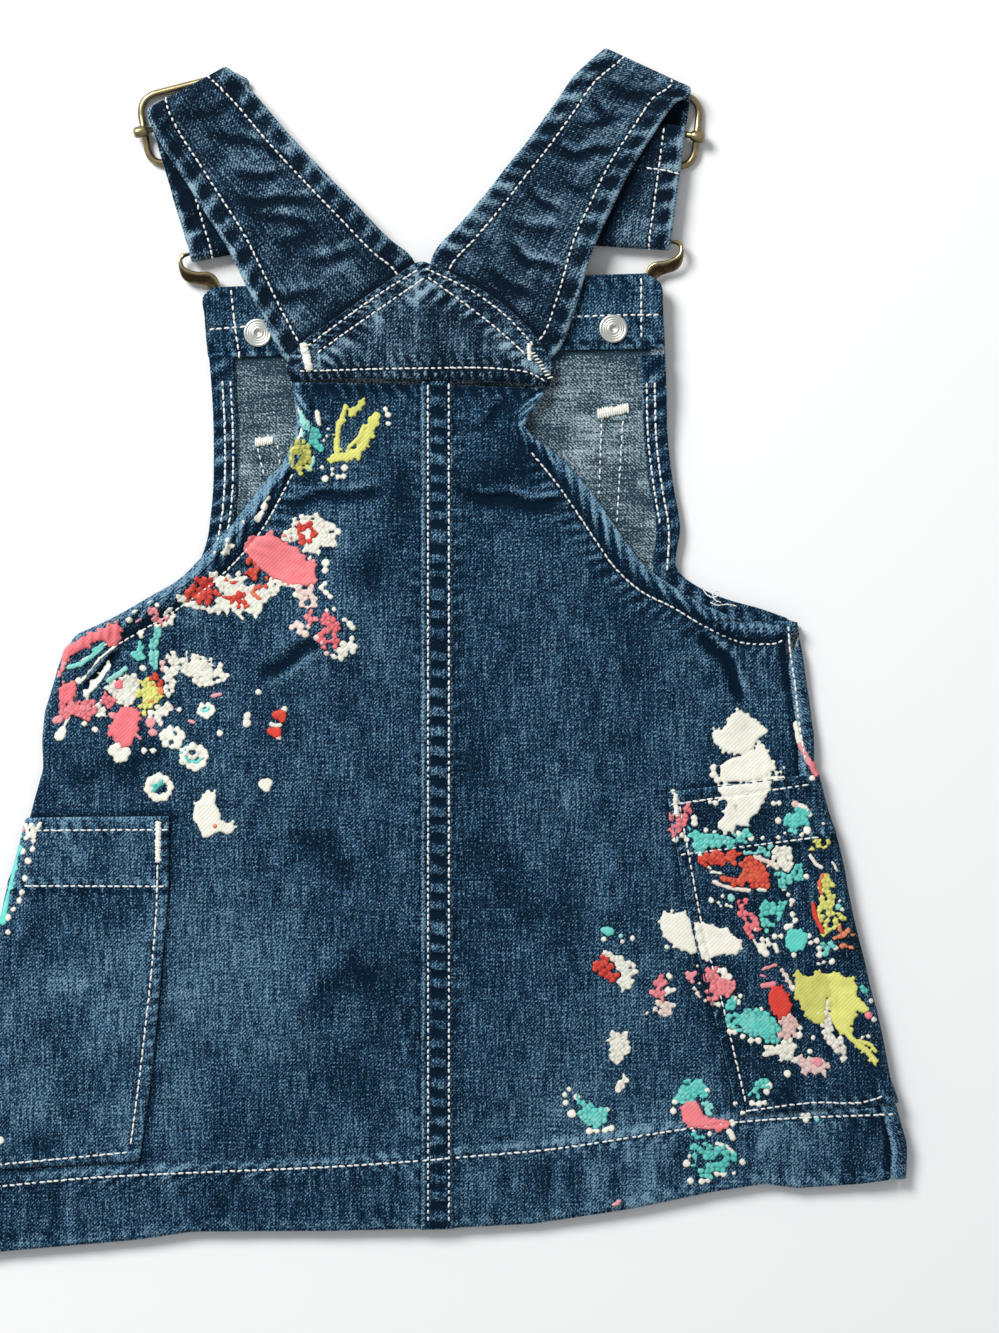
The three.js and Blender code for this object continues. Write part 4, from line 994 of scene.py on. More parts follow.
# %% [markdown]
# ## Patch pockets round the sides
# Each pocket is sewn half on the back and half on the front, so it wraps the side fold. It has a
# deep turned top with two rows of stitches, and a topstitched edge that stands up like a rope.

# %% Pocket relief and piece
POCKET_STITCH = {
    "left": {
        "top": [(-86, -61.2), (-140, -61.4)], "lower": [(-87, -81), (-146, -80.8)],
        "inner": [(-89.8, -57.5), (-90, -84), (-94.9, -138), (-99.4, -173)],
        "bottom": [(-99.8, -174), (-145, -178.2), (-166, -180)]},
    "right": {
        "top": [(89.5, -52.5), (141.8, -44.8)], "lower": [(92.8, -70), (147, -63)],
        "inner": [(92.4, -50), (96.2, -70), (101.8, -99), (107.7, -121), (116.4, -158)],
        "bottom": [(115.5, -159.6), (140, -156.6), (158, -156.2), (167.4, -153)]},
}


def pocket_relief(side):
    rows = POCKET_STITCH[side]
    way = POCKETS[side]["way"]
    top_edge = [(p[0], p[1] + 4.4) for p in rows["top"]]
    inner_edge = [inner for inner, _ in POCKETS[side]["rows"]]

    def relief(x, y):
        height = 0.28 * soft_noise(x, y, 17, 101 + way) + 0.12 * soft_noise(x, y, 6, 102)
        wear = 0.06 - 0.14 * way + 0.2 * soft_noise(x, y * 0.7, 10, 103) + 0.12 * soft_noise(x, y, 3.4, 104)
        for name, pitch, strength, seed in (
                ("top", 5.0, 0.35, 105), ("lower", 4.6, 0.5, 106), ("bottom", 5.0, 0.5, 107)):
            pulled, rub = puckers(x, y, rows[name], pitch, 0.5, 2.6, 0.5, seed)
            height += pulled + groove(x, y, rows[name], 0.3, 0.6)
            wear += strength * rub
        rope, rub = puckers(x, y, inner_edge, 2.6, 0.45, 1.8, 0.9, 108, -1.9 * way)
        pulled, pulled_rub = puckers(x, y, rows["inner"], 4.2, 0.35, 2.4, 0.4, 109, -2.6 * way)
        height += rope + pulled + groove(x, y, rows["inner"], 0.35, 0.6)
        wear += (0.85 if way < 0 else 0.5) * rub + 0.3 * pulled_rub + 0.2 * groove(x, y, rows["inner"], 1.0, 0.9)
        off = beside(rows["lower"], x, y)[1] * way
        band = bump(off - 1.8, 1.5)
        height += 0.25 * band
        # the strip beside the lower row's raised band is darkened as painted shade
        wear += 0.1 * band - 0.35 * bump(off + 1.6, 1.2) + 0.3 * bump(beside(top_edge, x, y)[1], 1.4)
        return height, wear
    return relief


def make_pocket(side):
    way, outline = POCKETS[side]["way"], POCKETS[side]["outline"]
    share = np.linspace(0, 1, 112)
    data = np.array([(ix, iy, outer) for (ix, iy), outer in POCKETS[side]["rows"]])
    steps = np.linspace(0, 1, len(data))
    inner_x, inner_y = along_line(data[:, :2], share).T
    outer_y = np.interp(share, steps, data[:, 2])
    edge = edge_x(outline, outer_y) - way * (CLOTH + GAP)
    tall = stack(edge - way * FOLD_WIDTH, outer_y)
    flat_end = edge - way * tall / 2
    x = inner_x[:, None] + (flat_end - inner_x)[:, None] * packed(56, 1.2)[None, :]
    y = inner_y[:, None] + (outer_y - inner_y)[:, None] * ((x - inner_x[:, None]) / (edge - inner_x)[:, None])
    relief_of = pocket_relief(side)
    relief, wear = relief_of(x, y)
    wear = rubbed_and_shaded(relief, wear)
    low = back_top(x, y) + GAP
    follow, _ = back_relief(x, y)
    low = low + np.clip(follow, -0.2, 0.6) * 0.8
    outer = np.stack([x, y, low + CLOTH + relief], -1)
    inner = np.stack([x, y, low], -1)
    angles = ROLL_ANGLES[None, :]
    base = underside(edge - way * 3, outer_y)[:, None]
    radius, middle = tall[:, None] / 2, base + tall[:, None] / 2
    reach = radius + GAP + CLOTH / 2
    out_x, out_z = np.cos(angles) * way, -np.sin(angles)
    roll_x, roll_z = edge[:, None] - way * radius + out_x * reach, middle + out_z * reach
    under = np.linspace(0.04, 1, 16)[None, :]
    under_x = flat_end[:, None] - way * under * (POCKET_WRAP - tall[:, None] / 2)
    under_z = underside(under_x, outer_y[:, None]) - GAP - CLOTH / 2
    mid_x, mid_z = np.concatenate([roll_x, under_x], 1), np.concatenate([roll_z, under_z], 1)
    mid_y = np.repeat(outer_y[:, None], mid_x.shape[1], 1)
    ox = np.concatenate([np.broadcast_to(out_x, roll_x.shape), np.zeros_like(under_x)], 1)
    oz = np.concatenate([np.broadcast_to(out_z, roll_z.shape), -np.ones_like(under_x)], 1)
    out = np.stack([ox, np.zeros_like(ox), oz], -1)
    far = unrolled(x[:, -1:], mid_x, mid_z, way)
    rolled_relief, rub = relief_of(far, mid_y)
    push = CLOTH / 2 + np.clip(rolled_relief, -0.2, 0.5) * np.concatenate(
        [np.broadcast_to(np.cos(angles) ** 0.5, roll_x.shape), np.zeros_like(under_x)], 1)
    centre = np.stack([mid_x, mid_y, mid_z], -1)
    outer = np.concatenate([outer, centre + out * push[..., None]], 1)
    inner = np.concatenate([inner, centre - out * CLOTH / 2], 1)
    place = np.concatenate([np.stack([x, y], -1), np.stack([far, mid_y], -1)], 1)
    wear = np.concatenate([wear, rub + 0.1], 1)
    return cloth_wall("patch_pocket_" + side, outer, inner, wear, place, 0.75, [DENIM, WRONG_SIDE])


for side in POCKETS:
    wear_it(make_pocket(side), "pocket_" + side, slot="denim")

# %% [markdown]
# ## Straps
# A strap is a tube of denim pressed flat: four layers, with a row of stitches near each edge, and
# wrinkled across by years of bending. It is one ribbon from the yoke over the shoulder fold, down
# the front, round the hook's bar and back up to the slide. The ribbon is listed as cross sections,
# each with two edge points and the way out of its face, and drawn smoothly through them.

# %% Where the straps run
STRAPS = {
    "left": {
        "up": (-0.186, 0.983), "middle": (-74.1, 190.4), "heading": (0.315, -0.949),
        "fold": ((-93.4, 190.6), (-65.2, 205.8)),
        "back": [
            ((-38, 99.6), (1.4, 129.6)), ((-43.6, 102.6), (0.2, 136.6)), ((-50.1, 112.7), (-9, 145.4)),
            ((-58, 128.5), (-20, 156.8)), ((-65.8, 143.9), (-30, 167.1)), ((-73.5, 156), (-38.5, 176)),
            ((-81.5, 168.6), (-48, 186.6)), ((-89, 180.5), (-56, 196))],
    },
    "right": {
        "up": (0.06, 0.998), "middle": (76.8, 185.9), "heading": (-0.169, -0.986),
        "fold": ((66.4, 212.2), (97, 198)),
        "back": [
            ((4.6, 129.8), (41.4, 99.8)), ((6.8, 139.4), (49.8, 106)), ((15.5, 149.6), (55.7, 120.1)),
            ((25.6, 161.4), (63, 143.5)), ((33, 171), (68.5, 155.5)), ((40.6, 180.3), (75, 169)),
            ((49, 192), (83, 181.5)), ((57.4, 203.6), (91, 193))],
    },
}
STRAP_HEIGHTS = (8.05, 8.1, 9.1, 8.8, 8.2, 7.75, 7.55, 7.5)
HOOK_BAR = 31.6  # from a button up to its hook's bar
HALF_STRAP = 18  # half the strap's width in front
FOLD_RADIUS, FOLD_HEIGHT = 1.9, 5.6  # the turn over at the shoulder
BAR_RADIUS = 2.1  # the turn round the hook's bar
FRONT_RUN = [  # down the front: how far from the slide's bar, height and turn of the face
    (-6.5, 2.7, 0), (-3, 1.5, 0), (2.5, 1.5, 0), (6.5, 2.4, 0), (11, 3.7, 0), (17, 3.7, 0), (22, 2.4, 0),
]


def strap_sections(side):
    strap, (bx, by) = STRAPS[side], BUTTONS[side]
    rows = []
    for ((ax, ay), (cx, cy)), z in zip(strap["back"], STRAP_HEIGHTS):
        rows.append((ax, ay, z, cx, cy, z, 0, 0, 1))
    (ax, ay), (cx, cy) = strap["fold"]
    long = math.hypot(cx - ax, cy - ay)
    over = np.array([ay - cy, cx - ax]) / long
    for angle in np.radians((70, 35, 0, -35, -70)):
        bent, pinch = math.cos(angle), 0.9 * math.cos(angle) ** 4  # the corners of the fold are round
        (px, py), (qx, qy) = over * FOLD_RADIUS * (bent - 1), np.array([cx - ax, cy - ay]) / long * pinch
        z = FOLD_HEIGHT + FOLD_RADIUS * math.sin(angle)
        rows.append((ax + px + qx, ay + py + qy, z, cx + px - qx, cy + py - qy, z,
                     over[0] * bent, over[1] * bent, math.sin(angle)))
    up, middle, heading = np.array(strap["up"]), np.array(strap["middle"]), np.array(strap["heading"])
    bar = np.array([bx, by]) + up * HOOK_BAR
    run = math.dist(middle, bar)
    turned = [(run + BAR_RADIUS * math.sin(a), 3.7 - BAR_RADIUS * math.cos(a), math.degrees(a))
              for a in np.radians((35, 90, 145))]
    back_up = [(run, 5.8, 180), (run - 8, 5.6, 180), (16, 5.3, 180), (2.5, 5.75, 180), (0, 5.85, 180), (-1.7, 5.1, 230)]
    for s, z, turn in FRONT_RUN + [(run - 6, 1.6, 0), (run, 1.6, 0)] + turned + back_up:
        t = min(1, max(0, s / run))
        centre = lerp(middle, bar, t) + heading * min(s, 0) - up * max(s - run, 0)
        across = lerp(np.array([-heading[1], heading[0]]), np.array([up[1], -up[0]]), t)
        across /= np.linalg.norm(across)
        a, b = centre - HALF_STRAP * across, centre + HALF_STRAP * across
        tilt = math.sin(math.radians(turn))
        rows.append((*a, z, *b, z, across[1] * tilt, -across[0] * tilt, -math.cos(math.radians(turn))))
    return np.array(rows, float)


def strap_relief(s, t, width, seed, outer_edge):
    """Wrinkles across the strap, the puckers outside its stitches, and the rope of its outer edge with a painted shadow
    beside it.
    """
    bent = s + 3 * soft_noise(s, t * width, 14, seed + 4)
    crumple = 0.55 - 1.6 * np.abs(soft_noise(bent, t * 2.4, 8.0, seed)) ** 0.7
    crumple += 0.3 * soft_noise(s, t * 2, 15, seed + 1)
    height = 0.34 * crumple + 0.15 * soft_noise(s, t * width, 4, seed + 2)
    wear = (-0.07, 0.06)[outer_edge] - 0.26 * crumple + 0.24 * soft_noise(s, t * width, 6, seed + 3)
    wear += 0.1 * soft_noise(s, t * width, 2.6, seed + 9)
    row = [(0, 7), (600, 7)]
    for k, edge in enumerate((t * width, (1 - t) * width)):
        pulled, rub = puckers(s, edge, row, 8.2, 0.8, 3.2, (-0.35, 0.35)[k], seed + 5 + k, -3.6)
        height += pulled + groove(s, edge, row, 0.4, 0.7)
        wear += 0.6 * rub - 0.12 * bump(edge - 3.4, 3.2) + 0.7 * bump(edge - 0.4, 0.8)
        wear += 0.3 * groove(s, edge, row, 1.0, 0.9)
    rope = (t, 1 - t)[outer_edge] * width
    height += 0.2 * bump(rope - 1.0, 1.4)
    wear += (0.12 + 0.45 * soft_noise(s + 0.8 * rope, rope, 2.2, seed + 8)) * bump(rope - 1.0, 1.1)
    # painted shadow beside the rope
    wear -= 0.3 * bump(rope - 3.6, 1.4)
    return height, wear


STRAP_CREASES = {  # as CREASES
    "left": [
        ([(-72, 182), (-61.6, 181), (-49.4, 176.4), (-41, 173)], 0.9, 2.2),
        ([(-66, 169.4), (-50.4, 167), (-42, 169)], 0.9, 2.2),
        ([(-66, 161), (-52.9, 157.9), (-43, 159.3), (-31, 160.5)], 1.0, 2.2),
        ([(-62, 156), (-49.4, 153), (-31, 150)], 0.8, 2.0),
        ([(-40, 137.4), (-28, 139), (-16, 142)], 0.9, 2.4), ([(-58, 130), (-43.4, 124.3), (-28, 129.5)], 0.6, 2.6),
        ([(-82, 188), (-70, 190), (-60, 196)], 0.5, 2.6), ([(-52, 144), (-40, 146), (-30, 148)], 0.5, 2.4)],
    "right": [
        ([(60, 197), (67.2, 189), (74, 192)], 0.8, 2.0), ([(57, 184.6), (67.2, 187.3), (78, 188.6)], 0.8, 2.0),
        ([(47, 179.5), (56, 174.7), (64.8, 176.4), (74, 178)], 1.0, 2.2),
        ([(37, 166), (44.5, 158.6), (54, 152)], 0.8, 2.2),
        ([(50, 165.4), (58.5, 162.8), (64, 165.6)], 0.8, 2.0),
        ([(32, 147), (39.6, 137.2), (45.9, 135.8), (54, 135)], 1.1, 2.2),
        ([(24, 137), (34.7, 127.8), (46, 123)], 0.8, 2.4), ([(64, 202), (76, 196), (86, 195)], 0.5, 2.4),
        ([(30, 152), (42, 149), (54, 146)], 0.5, 2.6)],
}
STRAP_FACES = {}


def make_strap(side):
    rows = strap_sections(side)
    middle = (rows[:, 0:3] + rows[:, 3:6]) / 2
    steps = lengths(middle)
    s = np.concatenate([np.linspace(a, b, max(2, math.ceil((b - a) / 1.25)), endpoint=False)
                        for a, b in zip(steps, steps[1:])] + [[steps[-1]]])
    line = through(rows, steps, s)
    t = packed(36, 1.1)[None, :, None]
    face = lerp(line[:, None, 0:3], line[:, None, 3:6], t)
    out = line[:, None, 6:9] / np.linalg.norm(line[:, None, 6:9], axis=-1, keepdims=True)
    width = np.linalg.norm(line[:, 3:6] - line[:, 0:3], axis=1)[:, None]
    relief, wear = strap_relief(s[:, None], t[..., 0], width, *((201, 0) if side == "left" else (231, 1)))
    on_back = smooth(0.3, 0.9, out[..., 2]) * (s[:, None] < steps[9])
    creased, rub = pressed(face[..., 0], face[..., 1], STRAP_CREASES[side])
    relief = relief + on_back * creased
    wear = rubbed_and_shaded(relief, wear + on_back * rub)
    # down the front, the strip beside the back strap's edge is darkened: a painted shadow of the back strap
    over = (rows[7:0:-1, 3:5] if side == "right" else rows[7:0:-1, 0:2]).tolist()
    beyond = np.abs(beside(over, face[..., 0], face[..., 1])[1])
    wear += (s[:, None] > steps[9]) * (0.1 - 0.8 * (1 - smooth(1.5, 9, beyond)))
    slope = YOKE_EDGE[0 if side == "left" else 1]
    # along the yoke's slope the strap is darkened: a painted shadow of the yoke
    wear -= 0.9 * on_back * bump(beside(slope, face[..., 0], face[..., 1])[1], 2.6)
    turning = np.abs(np.gradient(out[:, 0, 2], s))[:, None]
    relief = np.clip(relief, -0.5, 1.3) * (1 - 0.8 * smooth(0.05, 0.3, turning))
    outer = face + out * (0.7 + relief)[..., None]
    inner = face - out * 0.55
    STRAP_FACES[side] = s, t[0, :, 0], width[:, 0], outer, out[:, 0]
    place = np.stack([(t[..., 0] - 0.5) * width, s[:, None] + 0 * t[..., 0]], -1)
    return cloth_wall("shoulder_strap_" + side, outer, inner, wear, place, 0.8, [STRAP_DENIM, STRAP_DENIM])


for side in STRAPS:
    wear_it(make_strap(side), "strap_" + side, slot="denim")

# %% [markdown]
# ## Thread
# The stitches are what the eye follows on denim. Each is a short bow of cream cotton that rises out
# of one hole and sinks into the next, so each is modelled as a small tapered body, bowed up in the
# middle, on the height of the cloth under it. All rows are joined into a few pieces. Bar tacks, the
# thick blocks at pocket corners, are the same thread worked to and fro across a short line.

# %% Stitches along a line
class Thread:
    """Gathers the stitches of one piece."""

    def __init__(self):
        self.points, self.faces, self.tone, self.count = [], [], [], 0

    def stitch(self, starts, ends, lift_way, radius, bow, tones):
        """Tapered bodies from each start to each end, bowed along lift_way."""
        u = np.array([0, 0.14, 0.5, 0.86, 1.0])
        thick = np.array([0.5, 0.9, 1.04, 0.9, 0.5])
        rise = 4 * u * (1 - u) * bow - 0.16
        run = ends - starts
        across = np.cross(run, lift_way)
        across /= np.linalg.norm(across, axis=1, keepdims=True) + 1e-9
        angle = np.linspace(0, 2 * math.pi, 6, endpoint=False)
        centre = starts[:, None] + run[:, None] * u[None, :, None] + lift_way[:, None] * rise[None, :, None]
        ring = (across[:, None, None] * (np.cos(angle) * 1.1)[None, None, :, None]
                + lift_way[:, None, None] * (np.sin(angle) * 0.82)[None, None, :, None])
        body = centre[:, :, None] + ring * (radius * thick)[None, :, None, None]
        tips = centre[:, [0, -1]] + run[:, None] / np.linalg.norm(run, axis=1)[:, None, None] * np.array(
            [-0.35, 0.35])[None, :, None] * radius
        n, rings, sides = len(starts), len(u), len(angle)
        base = self.count + np.arange(n)[:, None, None] * (rings * sides + 2)
        k, r = np.arange(sides), np.arange(rings - 1)[:, None]
        after = (k + 1) % sides
        wall = np.stack([r * sides + k, r * sides + after, (r + 1) * sides + after, (r + 1) * sides + k], -1)
        caps = [np.stack([after, k, 0 * k + rings * sides], -1),
                np.stack([(rings - 1) * sides + k, (rings - 1) * sides + after, 0 * k + rings * sides + 1], -1)]
        self.faces += (base + wall.reshape(-1, 4)).reshape(-1, 4).tolist()
        self.faces += (base + np.concatenate(caps)).reshape(-1, 3).tolist()
        self.points.append(np.concatenate([body.reshape(n, -1, 3), tips], 1).reshape(-1, 3))
        self.tone.append(np.repeat(tones, rings * sides + 2))
        self.count += n * (rings * sides + 2)

    def row(self, line, up, pitch=2.4, long=1.95, radius=0.34, bow=0.3, seed=1):
        """A row of stitches along points on the cloth; `up` is the way out of it."""
        rng = np.random.default_rng(seed)
        steps = lengths(line)
        first = np.arange(0.4, steps[-1] - long, pitch)
        first = first + rng.uniform(-0.18, 0.18, len(first))
        last = first + long * rng.uniform(0.86, 1.06, len(first))
        at = lambda s, rows: np.stack([np.interp(s, steps, rows[:, c]) for c in range(3)], -1)
        sway = rng.normal(0, 0.1, (len(first), 3)) * (1, 1, 0)
        self.stitch(at(first, line) + sway, at(last, line) - sway, at((first + last) / 2, up), radius, bow,
                    rng.uniform(0, 0.6, len(first)))

    def tack(self, start, end, wide, height_of, radius=0.36, pitch=0.42, seed=1):
        """A bar tack: thread to and fro across the line from start to end."""
        rng = np.random.default_rng(seed)
        start, end = np.array(start, float), np.array(end, float)
        long = math.dist(start, end)
        way = (end - start) / long
        side = np.array([-way[1], way[0]])
        s = np.arange(0, long, pitch)
        middle = start + way * s[:, None] + side * rng.normal(0, 0.12, len(s))[:, None]
        reach = side * (wide / 2 * rng.uniform(0.85, 1.15, len(s)))[:, None]
        a, b = middle - reach, middle + reach + way * pitch * 0.5
        high = height_of(middle[:, 0], middle[:, 1]) + 0.3 + 0.25 * radius * rng.uniform(0, 1, len(s))
        a, b = np.column_stack([a, high]), np.column_stack([b, high])
        self.stitch(a, b, np.tile([0.0, 0, 1], (len(s), 1)), radius, 0.25, rng.uniform(0.8, 1, len(s)))

    def piece(self, name):
        points = np.concatenate(self.points)
        made = make_mesh(name, points, self.faces, {"tone": np.concatenate(self.tone)})
        made.data.materials.append(THREAD)
        return wear_it(made, slot="thread")


# %% Thread material
def make_thread():
    material, tree, inputs = new_material("thread", Roughness=0.62, Sheen_Weight=0.15)
    place = add(tree, "ShaderNodeTexCoord").outputs["Object"]
    ply = add(tree, "ShaderNodeTexWave", {"bands_direction": "DIAGONAL"}, Vector=place, Scale=620.0,
              Distortion=2.0, Detail=1.0).outputs["Fac"]
    grey = add(tree, "ShaderNodeTexNoise", None, Vector=place, Scale=900.0, Detail=2.0).outputs["Fac"]
    clean = mixed(tree, note(tree, "tone"), (0.8, 0.84, 0.85, 1), (0.9, 0.88, 0.78, 1))
    soiled = sums(tree, "MULTIPLY_ADD", grey, 2.4, -1.25, clamp=True)
    colour = mixed(tree, sums(tree, "MULTIPLY", soiled, 0.35), clean, (0.32, 0.4, 0.47, 1))
    link_looks(tree, inputs, {"Colour": colour, "Height": ply}, 0.5, 0.0002)
    return material


THREAD = make_thread()


# %% Heights to sew on
def back_height(x, y):
    return back_top(x, y) + np.maximum(back_relief(x, y)[0], -1.1)


def seam_height(x, y):
    return back_top(x, y) + seam_relief(x, y)[0]


def yoke_height(x, y):
    return yoke_top(x, y) + yoke_relief(x, y)[0]


def facing_height(x, y):
    return bib_top(x, y) + GAP + CLOTH + facing_relief(x, y)[0]


def bib_height(x, y):
    return bib_top(x, y) + np.clip(front_relief(x, y)[0], -0.4, 0.6)


def side_hem_height(side):
    outline, way = (FRONT_LEFT, -1) if side == "left" else (FRONT_RIGHT, 1)
    relief = hem_relief(outline, way)[2]
    return lambda x, y: bib_top(x, y) + GAP + CLOTH + relief(x, y)[0]


def pocket_height(side):
    relief = pocket_relief(side)
    return lambda x, y: (back_top(x, y) + GAP + CLOTH + 0.8 * np.clip(back_relief(x, y)[0], -0.2, 0.6)
                         + relief(x, y)[0])


def on_cloth(line, height_of, spacing=0.5):
    """Points along a line in the plane, lifted onto a cloth, and the way up at each."""
    count = max(4, int(sum(map(math.dist, line, line[1:])) / spacing))
    flat = along_line(line, np.linspace(0, 1, count))
    high = height_of(flat[:, 0], flat[:, 1])
    soft = np.convolve(np.pad(high, 3, mode="edge"), np.ones(7) / 7, "valid")
    return np.column_stack([flat, np.maximum(high, soft) + 0.12]), np.tile([0.0, 0, 1], (len(flat), 1))


# %% Stitches of the back
sewn = Thread()
for k, x in enumerate(SEAM_ROWS):
    sewn.row(*on_cloth([(x, 95), (x, 40), (x, -60), (x, -199)], seam_height), pitch=2.35, long=1.75, seed=31 + k)
sewn.row(*on_cloth(HEM_STITCH[:5] + [(2.0, -177.2)], back_height), pitch=2.6, long=2.1, seed=33)
sewn.row(*on_cloth([(2.6, -177.1), (13.6, -176.1)], seam_height), pitch=2.6, long=2.1, seed=34)
sewn.row(*on_cloth([(14, -176.2)] + HEM_STITCH[6:-1] + [(168.5, -160.6)], back_height), pitch=2.6, long=2.1, seed=35)
for side, line in ARMHOLE_STITCH.items():
    sewn.row(*on_cloth(line, back_height), pitch=2.3, long=1.9, radius=0.3, seed=36)
side_row = [(131.0, 10.5), (131.6, 2), (133.4, -10), (134.9, -24), (137.2, -38)]
sewn.row(*on_cloth(side_row, lambda x, y: back_top(x, y) + 0.25), pitch=2.4, seed=37)
FRAYED = (  # ends of thread worn loose at the right armhole
    [(100.6, 24.5), (102.2, 21.4), (104.6, 20.2), (106.6, 21), (106.4, 22.6), (104.8, 22), (105, 19.6), (108, 18.2)],
    [(103.4, 18.6), (106.2, 17.4), (109.6, 17.8), (113.4, 17)])
for k, line in enumerate(FRAYED):
    sewn.row(*on_cloth(line, back_height), pitch=1.0, long=1.2, radius=0.2, bow=0.1, seed=38 + k)
sewn.piece("stitches_back")

# %% Stitches of the yoke, facing and bib
sewn = Thread()
for k, line in enumerate(YOKE_ROWS.values()):
    sewn.row(*on_cloth(line, yoke_height), pitch=2.3, long=1.8, radius=0.3, seed=41 + k)
sewn.tack((-38.6, 108.6), (-36.4, 99.6), 2.6, yoke_height, 0.5, 0.5, 46)
sewn.tack((40.4, 108.6), (40.4, 103), 1.5, yoke_height, 0.27, 0.5, 47)
sewn.tack((41.4, 105.6), (47.4, 97.0), 1.8, yoke_height, 0.27, 1.3, 48)
sewn.piece("stitches_yoke")

sewn = Thread()
for k, line in enumerate(FACING_ROWS.values()):
    sewn.row(*on_cloth(line, facing_height), pitch=2.7, long=2.0, seed=51 + k)
for k, (side, outline, way) in enumerate((("left", FRONT_LEFT, -1), ("right", FRONT_RIGHT, 1))):
    for j, width in enumerate((6.6, 3.8)):
        rows = [p for p in hem_lines(outline, way, width)[1] if 28 < p[1] < 104]
        sewn.row(*on_cloth(rows[:9], side_hem_height(side)), seed=55 + k + 8 * j)
for k, line in enumerate(BIB_POCKET_ROWS):
    sewn.row(*on_cloth(line, bib_height), pitch=2.6, long=1.8, radius=0.28, seed=57 + k)
sewn.tack((-55.6, 74.6), (-49.4, 75.4), 3.0, bib_height, 0.42, 0.7, 61)
sewn.tack((64.4, 84.6), (75.0, 86.6), 3.4, bib_height, 0.42, 0.8, 62)
sewn.piece("stitches_bib")

# %% Stitches of the side pockets
sewn = Thread()
for k, side in enumerate(POCKETS):
    height_of, way, outline = pocket_height(side), POCKETS[side]["way"], POCKETS[side]["outline"]
    for j, line in enumerate(POCKET_STITCH[side].values()):
        points, up = on_cloth(line, height_of)
        shown = way * (edge_x(outline, points[:, 1]) - points[:, 0]) > 4.5
        sewn.row(points[shown], up[shown], pitch=2.6, long=2.15, radius=0.31, seed=71 + 5 * k + j)
sewn.tack((-89.6, -58.6), (-89.6, -72.2), 1.9, pocket_height("left"), 0.46, 0.5, 81)
sewn.tack((91.4, -48.8), (92.0, -56.4), 1.7, pocket_height("right"), 0.42, 0.6, 82)
sewn.piece("stitches_pockets")

# %% Stitches of the straps
sewn = Thread()
for k, side in enumerate(STRAPS):
    s, t, width, outer, out = STRAP_FACES[side]
    for j, share in enumerate((7.2 / width, 1 - 7.2 / width)):
        exact = np.interp(share, t, np.arange(len(t)))
        low = np.floor(exact).astype(int)
        rows = np.arange(len(s))
        line = lerp(outer[rows, low], outer[rows, low + 1], (exact - low)[:, None]) + out * 0.15
        sewn.row(line, out, pitch=2.4, long=1.65, radius=0.32, seed=91 + 2 * k + j)
CROSS = [(81, 170.4), (87.5, 169.6), (94, 168)]  # a short row across the right strap's lower run
over = np.column_stack([along_line(CROSS, np.linspace(0, 1, 30)), np.full(30, 6.9)])
sewn.row(over, np.tile([0.0, 0, 1], (30, 1)), pitch=2.4, long=2.0, radius=0.3, seed=99)
sewn.piece("stitches_straps")

# %% [markdown]
# ## Brass and silver
# The slides and hooks are brass plated and aged: brown in the hollows and worn to pale gold where
# fingers and straps rub. Each is drawn as smooth bent wire and strip rather than the plain rings of
# the solid model, with the same sizes. Age comes from one node group that darkens by noise and by
# the wear noted on every point; on the slides that note also paints a highlight along the upper side
# of the wire and bar. The buttons' tack heads are bright, with rings turned in the face.

# %% The patina group and the metals
def build_patina():
    group, given, result = new_group(
        "Metal patina",
        [("Wear", FLOAT, 0.0), ("Scale", FLOAT, 300.0), ("Dark", COLOUR, (0, 0, 0, 1)),
         ("Bright", COLOUR, (1, 1, 1, 1))],
        [("Colour", COLOUR), ("Roughness", FLOAT), ("Height", FLOAT)],
    )
    place = add(group, "ShaderNodeTexCoord").outputs["Object"]
    cloud = add(group, "ShaderNodeTexNoise", None, Vector=place, Scale=given["Scale"], Detail=4.0).outputs["Fac"]
    fine = add(group, "ShaderNodeTexNoise", None, Vector=place, Scale=2600.0, Detail=1.0).outputs["Fac"]
    share = sums(group, "MULTIPLY_ADD", cloud, 1.5, sums(group, "MULTIPLY_ADD", given["Wear"], 0.8, -0.68), clamp=True)
    group.links.new(mixed(group, share, given["Dark"], given["Bright"]), result["Colour"])
    group.links.new(sums(group, "MULTIPLY_ADD", share, -0.22, 0.52), result["Roughness"])
    group.links.new(sums(group, "MULTIPLY_ADD", cloud, 0.6, fine), result["Height"])
    return group


PATINA = build_patina()


def metal(name, dark, bright, scale):
    material, tree, inputs = new_material(name, Metallic=1.0)
    aged = use_group(tree, PATINA, Wear=note(tree, "wear"), Scale=scale, Dark=dark, Bright=bright)
    link_looks(tree, inputs, aged, 0.2, 0.0001)
    return material


BRASS = metal("antique_brass", (0.055, 0.038, 0.018, 1), (0.46, 0.37, 0.2, 1), 260.0)
SILVER = metal("silver_metal", (0.55, 0.55, 0.5, 1), (0.86, 0.87, 0.82, 1), 500.0)


